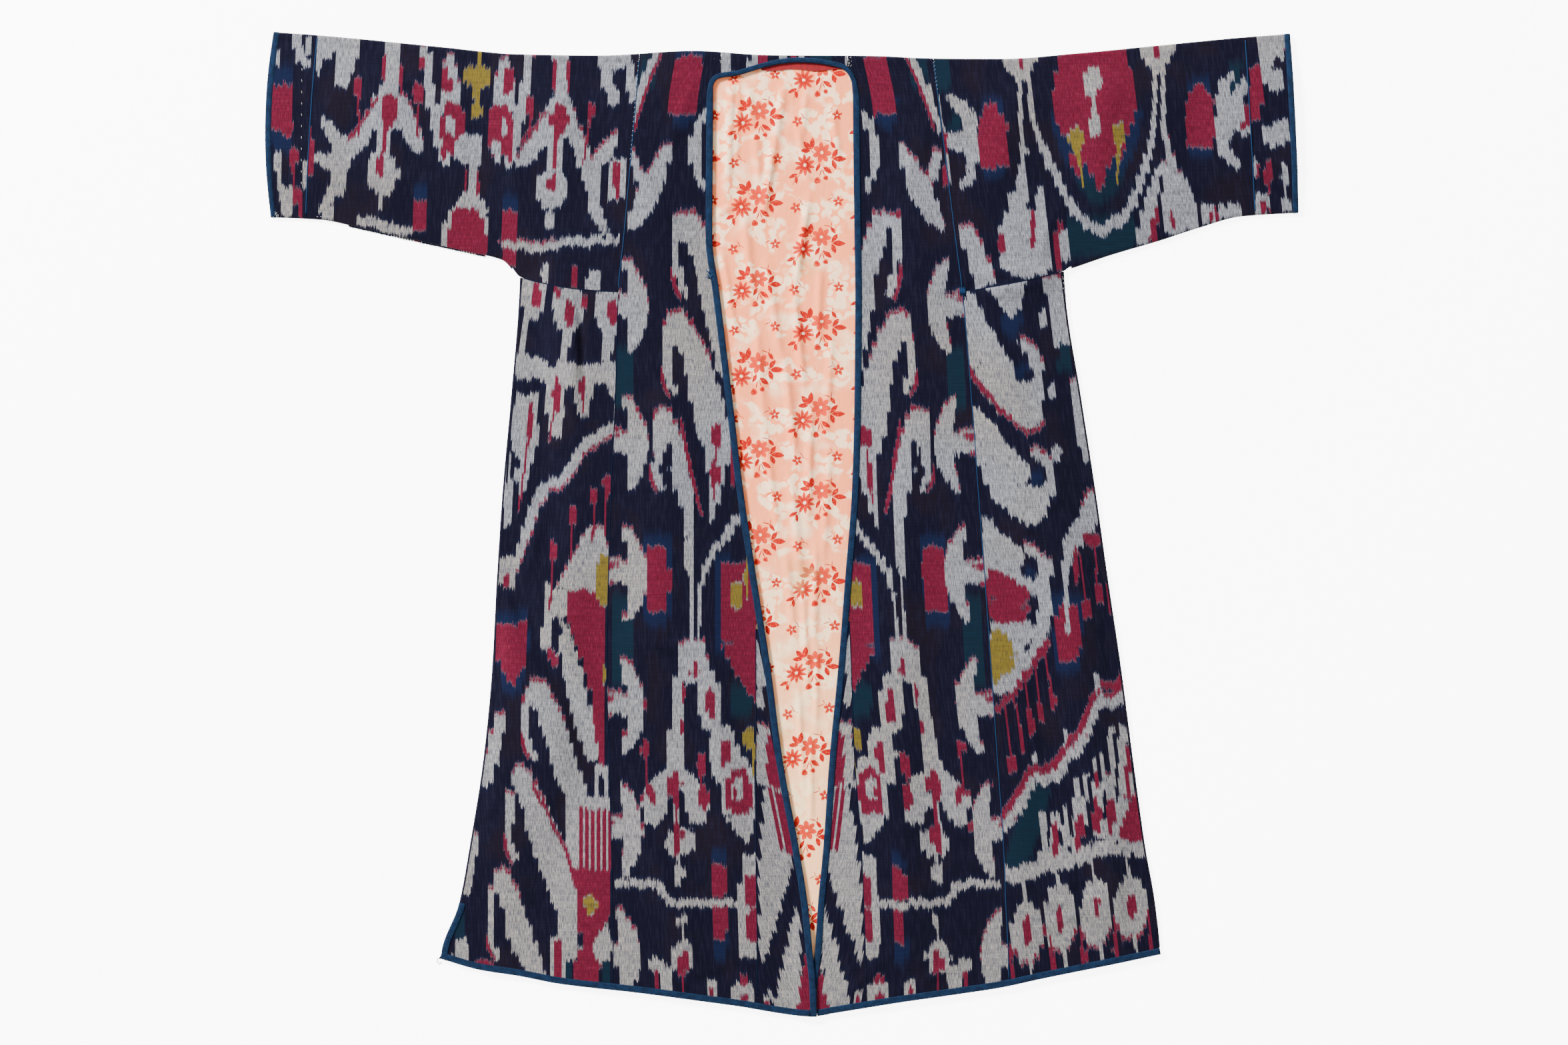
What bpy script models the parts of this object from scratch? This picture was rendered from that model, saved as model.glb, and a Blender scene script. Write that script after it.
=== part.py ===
"""Ikat robe laid flat: body, gores, flattened sleeves, cuff bands, back lining and bound edges.

Metres, +Z up.  The robe lies on its back with the collar towards +Y and the hem towards -Y;
left and right are as seen from above.  The origin is on the floor, at the middle of the outline.
Every cloth is a closed wall.  The lower layer rests flat on the floor, and the upper layer lies
over it on one height field, which carries the crown of the cloth and its largest soft folds.
"""
import math

import bmesh
import bpy
from mathutils import Vector

for stale in list(bpy.data.objects):
    bpy.data.objects.remove(stale, do_unlink=True)

MM = 0.001

# ---------------------------------------------------------------- driving dimensions
WALL = 1.2 * MM            # ikat cotton with the cotton sewn behind it
LINING_WALL = 1.0 * MM     # cloth of the back lining and of the neck facing
PARTING = 0.3 * MM         # gap between sewn or stacked pieces
HALF_PARTING = PARTING / 2
UPPER_LIFT = 4.2 * MM      # underside of the upper layer where it lies lowest
CROWN = 4.5 * MM           # how far the upper layer stands up inside a folded edge
CROWN_REACH = 70 * MM      # width over which the crown rises from a folded edge
FRONT_FLAT = 90 * MM       # width over which it sinks again towards the front edges
HEM_FLAT = 140 * MM        # the same towards the hem
FOLD_REACH = 18 * MM       # soft folds die out this close to a folded edge
BINDING_WIDTH = 7.5 * MM
NECK_BINDING_WIDTH = 5.4 * MM
BINDING_DEPTH = 2.2 * MM
CUFF_BINDING_PROUD = 0.5 * MM   # the cuff binding stands this far above the cuff band
CUFF_BINDING_WALL = 1.9 * MM
BACK_SEAM = 208 * MM       # half of one loom width of cloth, the back of the body
BACK_HEM_RISE = 4 * MM     # the back hem lies this far inside the front hem
NECK_STRIP_BACK = 9 * MM   # where the neck strip meets the back, below the shoulder line
NECK_SEAM_LEFT = -80 * MM  # ends of the neck strip on the shoulder
NECK_SEAM_RIGHT = 83.5 * MM
WRAP_LIFT = 2.8 * MM       # the left front lies over the right one near the hem
SLIT_TOP = -490 * MM       # the left side is open from here to the hem
SLIT_TURN = 1.5 * MM       # height over which the folded side ends at the slit
SLIT_BINDING_REACH = 8.6 * MM   # from the slanting slit edge, across its binding, to the cloth
SLIT_INSET = 1.5 * MM      # the back's slit edge lies this far inside the front's
GORE_TOP_LEFT = -135 * MM  # where the front gores begin at the front edges
GORE_TOP_RIGHT = -125 * MM
FACING_LEFT = -28 * MM
FACING_RIGHT = 78 * MM
FACING_LOW = 586 * MM

# ---------------------------------------------------------------- tables, in millimetres
LEVEL_COLUMNS = ("y", "side_l", "seam_l", "gore_l", "front_l", "front_r", "gore_r", "seam_r", "side_r")
LEVELS = [dict(zip(LEVEL_COLUMNS, row)) for row in (
    (606, -338, -185, -35, -90, 90, 83, 193, 360),
    (565, -338, -188, -35, -90, 90, 83, 198, 360),
    (370, -338, -205, -35, -91, 92, 83, 222, 361),
    (300, -340, -212, -35, -82, 93, 83, 231, 364),
    (160, -351, -216, -35, -65, 92, 83, 243, 385),
    (50, -361, -221, -35, -52, 89, 83, 251, 402),
    (-70, -369, -225, -35, -34, 80, 84, 260, 419),
    (-185, -375, -227, -35, -16, 71, 88, 268, 436),
    (-300, -386, -224, -35, -1, 60, 92, 276, 451),
    (-415, -404, -221, -35, 20, 52, 101, 284, 467),
    (-490, -418, -220, -34, 32, 45, 104, 287, 480),
    (-550, -440, -219, -33, 38, 41, 106, 290, 486),
    (-590, -443, -219, -33, 42, 36, 107, 291, 487),
    (-640, -445, -218, -32, 44, 34, 109, 293, 487),
)]

PLACE_COLUMNS = ("x", "y")
SHOULDER = [dict(zip(PLACE_COLUMNS, row)) for row in (
    (-656, 635), (-598, 631), (-442, 616), (-340, 606.5), (-236, 605), (-115, 611), (-20, 605.5),
    (110, 604.5), (200, 601), (280, 600.5), (383, 608), (486, 618), (590, 628), (655, 633),
)]

UNDERARM = [dict(zip(PLACE_COLUMNS, row)) for row in (
    (-660, 396), (-597, 393), (-545, 382.5), (-494, 371), (-403, 351), (-362, 341), (-340, 320),
    (-310, 311), (-263, 303), (-212, 300), (231, 301), (278, 307.5), (314, 314.5), (362, 327),
    (425, 348), (486, 366), (538, 383), (590, 397), (665, 402),
)]

HEM = [dict(zip(PLACE_COLUMNS, row)) for row in (
    (-444, -559), (-391, -574), (-340, -582), (-288, -592), (-184, -604), (-64, -620), (40, -634),
    (65, -630), (151, -616), (228, -605), (280, -597), (331, -586), (435, -565), (487, -554),
)]

NECK = [dict(zip(PLACE_COLUMNS, row)) for row in (
    (-90, 566), (-86, 573), (-78, 576), (-62, 578), (-31, 587), (0, 594), (18, 595.5), (40, 594.5),
    (62, 591), (76, 587.5), (84, 580), (88.5, 570),
)]

# station across a sleeve or cuff: where its line meets the shoulder and the underarm edge
STATION_COLUMNS = ("name", "x_top", "x_under", "bow")
STATIONS_LEFT = [dict(zip(STATION_COLUMNS, row)) for row in (
    ("armhole", -185, -212, 0), ("corner", -326, -340, 0), ("elbow", -460, -466, 0),
    ("cuff_seam", -600, -615, -1.5), ("cuff_end", -656.5, -660, -8.5),
)]
STATIONS_RIGHT = [dict(zip(STATION_COLUMNS, row)) for row in (
    ("armhole", 193, 231, 0), ("corner", 336, 362, 0), ("elbow", 470, 480, 0),
    ("cuff_seam", 595.5, 608.5, 0), ("cuff_end", 653.5, 664.5, 1),
)]

# soft folds of the upper layer: a ridge, or a trough where the rise is negative
FOLD_COLUMNS = ("x0", "y0", "x1", "y1", "rise", "half_width")
FOLDS = [dict(zip(FOLD_COLUMNS, row)) for row in (
    (-300, 330, -262, 120, 2.6, 24), (-322, 250, -300, -60, -2.0, 20), (-262, 60, -300, -330, 2.4, 30),
    (-345, -120, -372, -430, 2.2, 26), (-250, -300, -330, -560, -1.8, 28), (-190, 500, -150, 300, 1.8, 26),
    (-150, 120, -175, -220, 2.0, 34), (-95, -60, -70, -420, 1.6, 26), (-175, -330, -120, -610, 2.6, 30),
    (150, 470, 190, 250, 2.0, 28), (165, 160, 140, -160, 1.8, 30), (205, -120, 190, -420, -1.6, 26),
    (150, -330, 175, -590, 2.4, 30), (262, 300, 350, 322, 3.2, 15), (270, 240, 320, -20, 2.4, 28),
    (340, 120, 388, -180, 2.2, 26), (330, -180, 350, -400, -1.8, 26), (345, -470, 420, -500, 2.8, 18),
    (400, -260, 430, -520, 2.4, 24), (300, -360, 310, -570, 2.0, 26), (-520, 580, -500, 420, 1.8, 28),
    (-400, 575, -380, 400, -1.6, 24), (-300, 560, -270, 430, 2.2, 26), (-580, 560, -590, 440, 1.4, 20),
    (300, 560, 270, 430, 2.0, 26), (420, 575, 400, 420, 2.2, 24), (540, 590, 520, 430, -1.4, 24),
)]

# wrinkles of the back lining inside the opening
WRINKLES = [dict(zip(FOLD_COLUMNS, row)) for row in (
    (-40, 540, -30, 350, 1.0, 14), (25, 560, 10, 420, -0.4, 16), (48, 520, 55, 330, 0.8, 14),
    (-20, 330, 5, 120, 0.9, 15), (40, 260, 30, 60, 0.8, 13), (10, 60, 35, -130, 0.9, 14),
)]

# ---------------------------------------------------------------- lines through the tables


def smooth_line(rows, place, value):
    """A function through the rows' points, eased from one to the next without overshoot."""
    points = sorted((row[place] * MM, row[value] * MM) for row in rows)
    xs = [p[0] for p in points]
    ys = [p[1] for p in points]
    slopes = [(ys[k + 1] - ys[k]) / (xs[k + 1] - xs[k]) for k in range(len(xs) - 1)]
    tangents = [slopes[0]]
    for before, after in zip(slopes, slopes[1:]):
        same_way = before * after > 0
        tangents.append(2 * before * after / (before + after) if same_way else 0.0)
    tangents.append(slopes[-1])

    def line(t):
        if t <= xs[0]:
            return ys[0] + tangents[0] * (t - xs[0])
        if t >= xs[-1]:
            return ys[-1] + tangents[-1] * (t - xs[-1])
        k = max(i for i in range(len(xs) - 1) if xs[i] <= t)
        span = xs[k + 1] - xs[k]
        u = (t - xs[k]) / span
        return ((2 * u ** 3 - 3 * u ** 2 + 1) * ys[k] + (u ** 3 - 2 * u ** 2 + u) * span * tangents[k]
                + (3 * u ** 2 - 2 * u ** 3) * ys[k + 1] + (u ** 3 - u ** 2) * span * tangents[k + 1])

    return line


side_l, seam_l, gore_l, front_l, front_r, gore_r, seam_r, side_r = (
    smooth_line(LEVELS, "y", column) for column in LEVEL_COLUMNS[1:])
shoulder = smooth_line(SHOULDER, "x", "y")
under = smooth_line(UNDERARM, "x", "y")
hem = smooth_line(HEM, "x", "y")
neck = smooth_line(NECK, "x", "y")
UNDERARM_LEVEL = under(0)
HEM_LEVEL = hem(0)




def mix(a, b, t):
    return a + (b - a) * t


def ease(t):
    t = min(1.0, max(0.0, t))
    return t * t * (3 - 2 * t)


def armhole_share(y):
    """0 at the underarm and below, 1 at the shoulder."""
    return min(1.0, max(0.0, (y - UNDERARM_LEVEL) / (shoulder(0) - UNDERARM_LEVEL)))


def back_seam_l(y):
    """Back seam, left: drawn in along the armhole, then half a loom width from the middle."""
    return mix(-BACK_SEAM, seam_l(shoulder(0)), armhole_share(y))


def back_seam_r(y):
    return mix(BACK_SEAM, seam_r(shoulder(0)), armhole_share(y))


# ---------------------------------------------------------------- height of the upper layer
FOLD_TOP = UPPER_LIFT + WALL         # top of the layers along a folded edge
FOLD_RADIUS = FOLD_TOP / 2


def ridge_height(folds, x, y):
    """Sum of soft ridges and troughs, each fading along its length and across it."""
    total = 0.0
    for fold in folds:
        start = Vector((fold["x0"], fold["y0"])) * MM
        run = Vector((fold["x1"], fold["y1"])) * MM - start
        offset = Vector((x, y)) - start
        along = offset.dot(run) / run.length_squared
        across = abs(offset.x * run.y - offset.y * run.x) / run.length / (fold["half_width"] * MM)
        if across < 3 and -0.25 < along < 1.25:
            fade = ease((along + 0.25) / 0.5) * ease((1.25 - along) / 0.5)
            total += fold["rise"] * MM * fade * math.exp(-across * across)
    return total


def folded_edge_distance(x, y):
    """Distance in from the edges where the robe is folded double, never under zero."""
    sleeve = min(shoulder(x) - y, y - under(x))
    body = min(x - side_l(y), side_r(y) - x, shoulder(x) - y)
    return max(0.0, sleeve, body)


def upper(x, y):
    """Underside of the upper layer."""
    inside = folded_edge_distance(x, y)
    beside_front = max(front_l(y) - x, x - front_r(y), 0.0) if y < neck(0) else FRONT_FLAT
    flat = (0.15 + 0.85 * ease(beside_front / FRONT_FLAT)) * (0.3 + 0.7 * ease((y - hem(x)) / HEM_FLAT))
    crown = CROWN * ease(inside / CROWN_REACH) * flat
    folds = ridge_height(FOLDS, x, y) * ease(inside / FOLD_REACH) * flat
    return UPPER_LIFT + max(0.0, crown + folds)


def upper_left_front(x, y):
    """The left front climbs over the right one near the hem."""
    over = ease((SLIT_TOP - y) / (50 * MM)) * ease((x - 5 * MM) / (20 * MM))
    return upper(x, y) + WRAP_LIFT * over


# ---------------------------------------------------------------- making solids
def material(name, colour, roughness):
    made = bpy.data.materials.new(name)
    made.use_nodes = True
    shader = made.node_tree.nodes["Principled BSDF"]
    shader.inputs["Base Color"].default_value = (*colour, 1.0)
    shader.inputs["Roughness"].default_value = roughness
    shader.inputs["Metallic"].default_value = 0.0
    return made


def add_object(name, bm, colour, roughness=0.85):
    bmesh.ops.recalc_face_normals(bm, faces=bm.faces)
    mesh = bpy.data.meshes.new(name)
    bm.to_mesh(mesh)
    bm.free()
    mesh.shade_smooth()
    mesh.set_sharp_from_angle(angle=math.radians(40))
    mesh.materials.append(material(name, colour, roughness))
    made = bpy.data.objects.new(name, mesh)
    bpy.context.scene.collection.objects.link(made)
    return made


def cloth(name, rows, colour, wrap_from=None):
    """Closed wall from rows of (outer, inner) point pairs; None leaves the cloth open there.

    With wrap_from, rows from that one on are rings: the last column meets the first again."""
    bm = bmesh.new()
    pairs = [[None if pair is None else (bm.verts.new(pair[0]), bm.verts.new(pair[1])) for pair in row]
             for row in rows]
    edge_uses = {}
    for i in range(len(pairs) - 1):
        columns = len(pairs[i]) if wrap_from is not None and i >= wrap_from else len(pairs[i]) - 1
        for j in range(columns):
            following = (j + 1) % len(pairs[i])
            corners = [pairs[i][j], pairs[i][following], pairs[i + 1][following], pairs[i + 1][j]]
            if None in corners:
                continue
            bm.faces.new([corner[0] for corner in corners])
            bm.faces.new([corner[1] for corner in reversed(corners)])
            for a, b in zip(corners, corners[1:] + corners[:1]):
                key = frozenset((a, b))
                edge_uses.setdefault(key, []).append((a, b))
    for uses in edge_uses.values():
        if len(uses) == 1:
            a, b = uses[0]
            bm.faces.new((b[0], a[0], a[1], b[1]))
    loose = [vert for vert in bm.verts if not vert.link_faces]
    bmesh.ops.delete(bm, geom=loose, context="VERTS")
    return add_object(name, bm, colour)


def upper_pair(x, y, height=upper, wall=WALL):
    z = height(x, y)
    return Vector((x, y, z + wall)), Vector((x, y, z))


def lower_pair(x, y):
    return Vector((x, y, 0.0)), Vector((x, y, WALL))


def turn_pairs(x, y, outward, proud=0.0, wall=WALL, steps=3):
    """Points round a folded edge whose outermost line passes (x, y), upper side first."""
    radius = FOLD_RADIUS + proud / 2
    centre = Vector((x, y, radius)) - Vector((*outward, 0.0)) * FOLD_RADIUS
    pairs = []
    for step in range(steps + 1):
        angle = math.pi / 2 - math.pi * step / steps
        spoke = Vector((outward[0] * math.cos(angle), outward[1] * math.cos(angle), math.sin(angle)))
        pairs.append((centre + spoke * radius, centre + spoke * (radius - wall)))
    return pairs


def panel_plan(left, right, top, bottom, across, shares):
    """Plan points of a panel between two long lines, a row for each share of its length."""
    rows = []
    for share in shares:
        row = []
        for j in range(across + 1):
            y = mix(top(0), bottom(0), share)
            for _ in range(4):
                x = mix(left(y), right(y), j / across)
                y = mix(top(x), bottom(x), share)
            row.append((x, y))
        rows.append(row)
    return rows


def even_shares(count):
    return [k / count for k in range(count + 1)]


def band(name, path, colour):
    """Rounded binding along a path of (edge point, width); its width lies left of the path."""
    section = ((0.0, 0.5), (0.12, 0.0), (1.0, 0.0), (1.0, 0.8), (0.88, 1.0), (0.12, 1.0))
    points = [point for point, _ in path]
    bm = bmesh.new()
    rings = []
    for k, (point, width) in enumerate(path):
        into = (point - points[max(0, k - 1)]).to_2d()
        out = (points[min(len(points) - 1, k + 1)] - point).to_2d()
        into = (into if k > 0 else out).normalized()
        out = (out if k < len(points) - 1 else into).normalized()
        middle = (into + out).normalized()
        side = Vector((-middle.y, middle.x)) / max(0.5, middle.dot(into)) * width
        rings.append([bm.verts.new((point.x + side.x * u, point.y + side.y * u,
                                    point.z + v * BINDING_DEPTH)) for u, v in section])
    count = len(section)
    for ring, following in zip(rings, rings[1:]):
        for j in range(count):
            bm.faces.new((ring[j], ring[(j + 1) % count], following[(j + 1) % count], following[j]))
    bm.faces.new(rings[0])
    bm.faces.new(rings[-1])
    return add_object(name, bm, colour, roughness=0.8)


# ---------------------------------------------------------------- the pieces
IKAT = (0.06, 0.06, 0.12)
IKAT_GREY = (0.42, 0.42, 0.43)
CRIMSON = (0.36, 0.03, 0.07)
LINING_CREAM = (0.87, 0.70, 0.55)
FACING_RED = (0.19, 0.01, 0.015)
BINDING_BLUE = (0.02, 0.08, 0.17)


def front_edge_left(y):
    """Cut edge of the left front, beside its binding."""
    return front_l(y) - BINDING_WIDTH - PARTING


def front_edge_right(y):
    return front_r(y) + BINDING_WIDTH + PARTING


def body_inner_left(y):
    """Inner edge of the left front: neck strip, then front binding, then front gore."""
    edge = min(front_edge_left(y), gore_l(y) - HALF_PARTING)
    return mix(edge, NECK_SEAM_LEFT, ease((y - 571 * MM) / (14 * MM)))


def body_inner_right(y):
    edge = max(front_edge_right(y), gore_r(y) + HALF_PARTING)
    return mix(edge, NECK_SEAM_RIGHT, ease((y - 569 * MM) / (26 * MM)))


def body_outer_left(y):
    return seam_l(y) + HALF_PARTING


def body_outer_right(y):
    return seam_r(y) - HALF_PARTING


def hem_cloth(x):
    """Lower edge of the upper cloth, above the hem binding."""
    return hem(x) + BINDING_WIDTH + 2 * PARTING


def back_hem(x):
    """The back's hem is plainer than the front's: the same line, evened out."""
    reach = 60 * MM
    return (hem(x - reach) + 2 * hem(x) + hem(x + reach)) / 4 + BACK_HEM_RISE


def back_hem_cloth(x):
    return back_hem(x) + BINDING_WIDTH + 2 * PARTING


def shoulder_turn(x):
    """Where the upper side of a folded shoulder begins."""
    return shoulder(x) - FOLD_RADIUS


FRONT_COLUMNS_LEFT, NECK_COLUMNS, FRONT_COLUMNS_RIGHT = 6, 5, 5
GORE_ROWS = 16


def body_shares():
    """Shares of the front's length at its rows: close together round the neck, then even."""
    neck_rows, neck_pitch, even_rows = 6, 6.5 * MM, 30
    length = shoulder(0) - hem_cloth(0)
    near_neck = [k * neck_pitch / length for k in range(neck_rows)]
    start = neck_rows * neck_pitch / length
    return near_neck + [mix(start, 1.0, k / even_rows) for k in range(even_rows + 1)]


def body_plan_left():
    return panel_plan(body_outer_left, body_inner_left, shoulder_turn, hem_cloth,
                      FRONT_COLUMNS_LEFT, body_shares())


def body_plan_right():
    return panel_plan(body_inner_right, body_outer_right, shoulder_turn, hem_cloth,
                      FRONT_COLUMNS_RIGHT, body_shares())


def gore_plan_left():
    return panel_plan(lambda y: gore_l(y) + HALF_PARTING, front_edge_left,
                      lambda x: GORE_TOP_LEFT, hem_cloth, 2, even_shares(GORE_ROWS))


def gore_plan_right():
    return panel_plan(front_edge_right, lambda y: gore_r(y) - HALF_PARTING,
                      lambda x: GORE_TOP_RIGHT, hem_cloth, 2, even_shares(GORE_ROWS))


def make_body_panel():
    """One length of cloth up the back, over both shoulders and down each front."""
    low_rows, armhole_rows = 6, 3
    top = shoulder(0)
    neck_end = FRONT_COLUMNS_LEFT + NECK_COLUMNS

    def across(j):
        if j <= FRONT_COLUMNS_LEFT:
            return mix(body_outer_left(top), NECK_SEAM_LEFT, j / FRONT_COLUMNS_LEFT)
        if j <= neck_end:
            return mix(NECK_SEAM_LEFT, NECK_SEAM_RIGHT, (j - FRONT_COLUMNS_LEFT) / NECK_COLUMNS)
        return mix(NECK_SEAM_RIGHT, body_outer_right(top), (j - neck_end) / FRONT_COLUMNS_RIGHT)

    def back_point(j, low_share, armhole):
        share = (across(j) - body_outer_left(top)) / (body_outer_right(top) - body_outer_left(top))
        x_low = mix(-BACK_SEAM, BACK_SEAM, share)
        y = mix(back_hem_cloth(x_low), UNDERARM_LEVEL, low_share)
        y = mix(y, shoulder(across(j)) - NECK_STRIP_BACK, armhole)
        return lower_pair(mix(back_seam_l(y) + HALF_PARTING, back_seam_r(y) - HALF_PARTING, share), y)

    columns = range(neck_end + FRONT_COLUMNS_RIGHT + 1)
    rows = [[back_point(j, k / low_rows, 0.0) for j in columns] for k in range(low_rows + 1)]
    rows += [[back_point(j, 1.0, k / armhole_rows) for j in columns] for k in range(1, armhole_rows + 1)]
    turns = [turn_pairs(across(j), shoulder(across(j)), (0, 1))[::-1] for j in columns]
    for step in range(len(turns[0])):
        rows.append([None if FRONT_COLUMNS_LEFT < j < neck_end else turns[j][step] for j in columns])
    for row_l, row_r in zip(body_plan_left()[1:], body_plan_right()[1:]):
        left = [upper_pair(x, y, upper_left_front) for x, y in row_l]
        right = [upper_pair(x, y) for x, y in row_r]
        rows.append(left + [None] * (NECK_COLUMNS - 1) + right)
    cloth("body_panel", rows, IKAT)


def neck_places():
    """Places across the neck where the strip and its binding have their points."""
    columns = 12
    return [mix(NECK_SEAM_LEFT + PARTING, NECK_SEAM_RIGHT - PARTING, j / columns)
            for j in range(columns + 1)]


def make_neck_strip():
    """The strip that turns over the shoulder line behind the neck, down to the neck binding."""
    rows = []
    for x in neck_places():
        slope = (neck(x + MM) - neck(x - MM)) / (2 * MM)
        edge = neck(x) + NECK_BINDING_WIDTH * math.hypot(1.0, slope) + 2 * PARTING
        pairs = [lower_pair(x, shoulder(x) - NECK_STRIP_BACK + PARTING)]
        pairs += turn_pairs(x, shoulder(x), (0, 1))[::-1]
        pairs.append(upper_pair(x, edge))
        rows.append(pairs)
    cloth("neck_strip", rows, IKAT_GREY)


def make_lining():
    """Printed cotton over the inside of the back, wrinkled where the open fronts show it."""
    floor = WALL + PARTING
    edge_l, edge_r = back_seam_l(0) + 4 * MM, back_seam_r(0) - 4 * MM

    def left(y):
        return max(edge_l, back_seam_l(y) + 4 * MM)

    def right(y):
        return min(edge_r, back_seam_r(y) - 4 * MM)

    plan = panel_plan(left, right, lambda x: shoulder(x) - 6 * MM,
                      lambda x: back_hem_cloth(x) + 3 * MM, 14, even_shares(20))
    rows = []
    for plan_row in plan:
        row = []
        for x, y in plan_row:
            inside = min(x - front_l(y), front_r(y) - x, neck(x) - y)
            wrinkle = max(0.0, ridge_height(WRINKLES, x, y)) * ease(inside / (22 * MM))
            row.append((Vector((x, y, floor + LINING_WALL + wrinkle)), Vector((x, y, floor))))
        rows.append(row)
    cloth("back_lining", rows, LINING_CREAM)


def make_neck_facing():
    """Red facing that shows between the neck binding and the lining."""
    floor = WALL + PARTING + LINING_WALL + PARTING
    columns = 8
    rows = []
    for j in range(columns + 1):
        x = mix(FACING_LEFT, FACING_RIGHT, j / columns)
        rows.append([(Vector((x, y, floor + LINING_WALL)), Vector((x, y, floor)))
                     for y in (FACING_LOW, neck(x) + 5 * MM)])
    cloth("neck_facing", rows, FACING_RED)


def make_front_gores():
    """Narrow wedges that widen each front towards the hem, inside the front bindings."""
    left = [[upper_pair(x, y, upper_left_front) for x, y in row] for row in gore_plan_left()]
    right = [[upper_pair(x, y) for x, y in row] for row in gore_plan_right()]
    cloth("front_gore_left", left, IKAT_GREY)
    cloth("front_gore_right", right, IKAT_GREY)


def make_side_gore(name, side, front_seam, back_seam, outward, slit):
    """A wide wedge folded round the side, from the underarm to the hem."""
    front_columns, back_columns = 6, 6
    upper_rows, lower_rows = 22, 3
    rows = []
    heights = [(0, k / upper_rows) for k in range(upper_rows + 1)]
    heights += [(1, k / lower_rows) for k in range(lower_rows + 1)]

    def row_height(x, part, share, bottom):
        if part == 0:
            parting = PARTING if bottom is hem_cloth else 3 * PARTING
            return mix(under(x) - parting, SLIT_TOP, share)
        return mix(SLIT_TOP - SLIT_TURN, bottom(x), share)

    def column(part, share, u, outer, seam, bottom, gap):
        y = mix(0.3, -0.6, share) if part == 0 else SLIT_TOP
        for _ in range(4):
            x = mix(outer(y), seam(y) + outward * gap, u)
            y = row_height(x, part, share, bottom)
        return x, y

    for part, share in heights:
        open_here = slit and part == 1
        reach = SLIT_BINDING_REACH if open_here else FOLD_RADIUS

        def outer(y):
            return side(y) - outward * reach

        def back_outer(y):
            return outer(y) - (outward * SLIT_INSET if open_here else 0.0)

        front = [column(part, share, j / front_columns, outer, front_seam, hem_cloth, HALF_PARTING)
                 for j in range(front_columns + 1)][::-1]
        back = [column(part, share, j / back_columns, back_outer, back_seam, back_hem_cloth, HALF_PARTING)
                for j in range(back_columns + 1)]
        turn = [None, None]
        if not open_here:
            x, y = column(part, share, 0.0, side, front_seam, hem_cloth, HALF_PARTING)
            turn = turn_pairs(x, y, (outward, 0))[1:-1]
        rows.append([upper_pair(x, y) for x, y in front] + turn + [lower_pair(x, y) for x, y in back])
    cloth(name, rows, IKAT)


def sleeve_ring(front_line, back_line, y_under, proud=0.0, wall=WALL, closed=True):
    """One ring round a flattened sleeve: up its front, over the top and down its back."""
    front_steps, back_steps = 8, 4
    x_top, x_under = front_line(1.0), front_line(0.0)
    y_top = shoulder(x_top) - FOLD_RADIUS
    y_low = y_under + FOLD_RADIUS if closed else y_under
    ring = []
    for k in range(front_steps + 1):
        y = mix(y_low, y_top, k / front_steps)
        x = front_line(k / front_steps)
        z = upper(x, y)
        ring.append((Vector((x, y, z + WALL + proud)), Vector((x, y, z + WALL + proud - wall))))
    ring += turn_pairs(x_top, shoulder(x_top), (0, 1), proud, wall)[1:-1]
    for k in range(back_steps, -1, -1):
        y = mix(y_low, y_top, k / back_steps)
        x = back_line(k / back_steps)
        ring.append((Vector((x, y, 0.0)), Vector((x, y, wall))))
    turn = turn_pairs(x_under, y_under, (0, -1), proud, wall)[1:-1][::-1]
    return ring + (turn if closed else [None, None])


def station_line(station, shift=0.0):
    """The station's x from underarm (0) to shoulder (1)."""
    def line(s):
        bow = 4 * s * (1 - s) * station["bow"] * MM
        return mix(station["x_under"] * MM, station["x_top"] * MM, s) + bow + shift
    return line


def between(first, second, share):
    return {key: mix(first[key], second[key], share) for key in ("x_top", "x_under", "bow")}


def make_sleeve(side_name, stations, front_seam, back_seam, outward):
    """One loom width from armhole to cuff band, flattened; open below only at the underarm."""
    armhole, corner, elbow, cuff = stations[:4]
    steps = 6
    rows = []
    open_rows = steps
    y_top, y_low = shoulder(armhole["x_top"] * MM) - FOLD_RADIUS, under(armhole["x_under"] * MM)

    def seam_line(seam):
        return lambda s: seam(mix(y_low, y_top, s)) + outward * HALF_PARTING

    rows.append(sleeve_ring(seam_line(front_seam), seam_line(back_seam), y_low, closed=False))
    for first, second in ((armhole, corner), (corner, elbow), (elbow, cuff)):
        for k in range(1, steps + 1):
            station = between(first, second, k / steps)
            at_cuff = second is cuff and k == steps
            line = station_line(station, -outward * HALF_PARTING if at_cuff else 0.0)
            rows.append(sleeve_ring(line, line, under(line(0.0)), closed=len(rows) >= open_rows))
    cloth("sleeve_" + side_name, rows, IKAT, wrap_from=open_rows)


def make_cuff(side_name, stations, outward):
    """Cuff band and the binding round its opening."""
    seam, end = stations[3:]
    band_length = abs(end["x_top"] - seam["x_top"]) * MM
    binding_start = 1 - (BINDING_WIDTH + PARTING) / band_length
    rows = []
    for share in (0.0, 0.5 * binding_start, binding_start):
        shift = outward * HALF_PARTING if share == 0.0 else 0.0
        line = station_line(between(seam, end, share), shift)
        rows.append(sleeve_ring(line, line, under(line(0.0))))
    cloth("cuff_band_" + side_name, rows, IKAT_GREY, wrap_from=0)
    rows = []
    for share, proud, wall in ((0.0, CUFF_BINDING_PROUD, CUFF_BINDING_WALL),
                               (0.75, CUFF_BINDING_PROUD, CUFF_BINDING_WALL), (1.0, 0.0, WALL)):
        start = between(seam, end, binding_start)
        line = station_line(between(start, end, share), outward * PARTING if share == 0.0 else 0.0)
        rows.append(sleeve_ring(line, line, under(line(0.0)), proud, wall))
    cloth("binding_cuff_" + side_name, rows, BINDING_BLUE, wrap_from=0)


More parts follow.
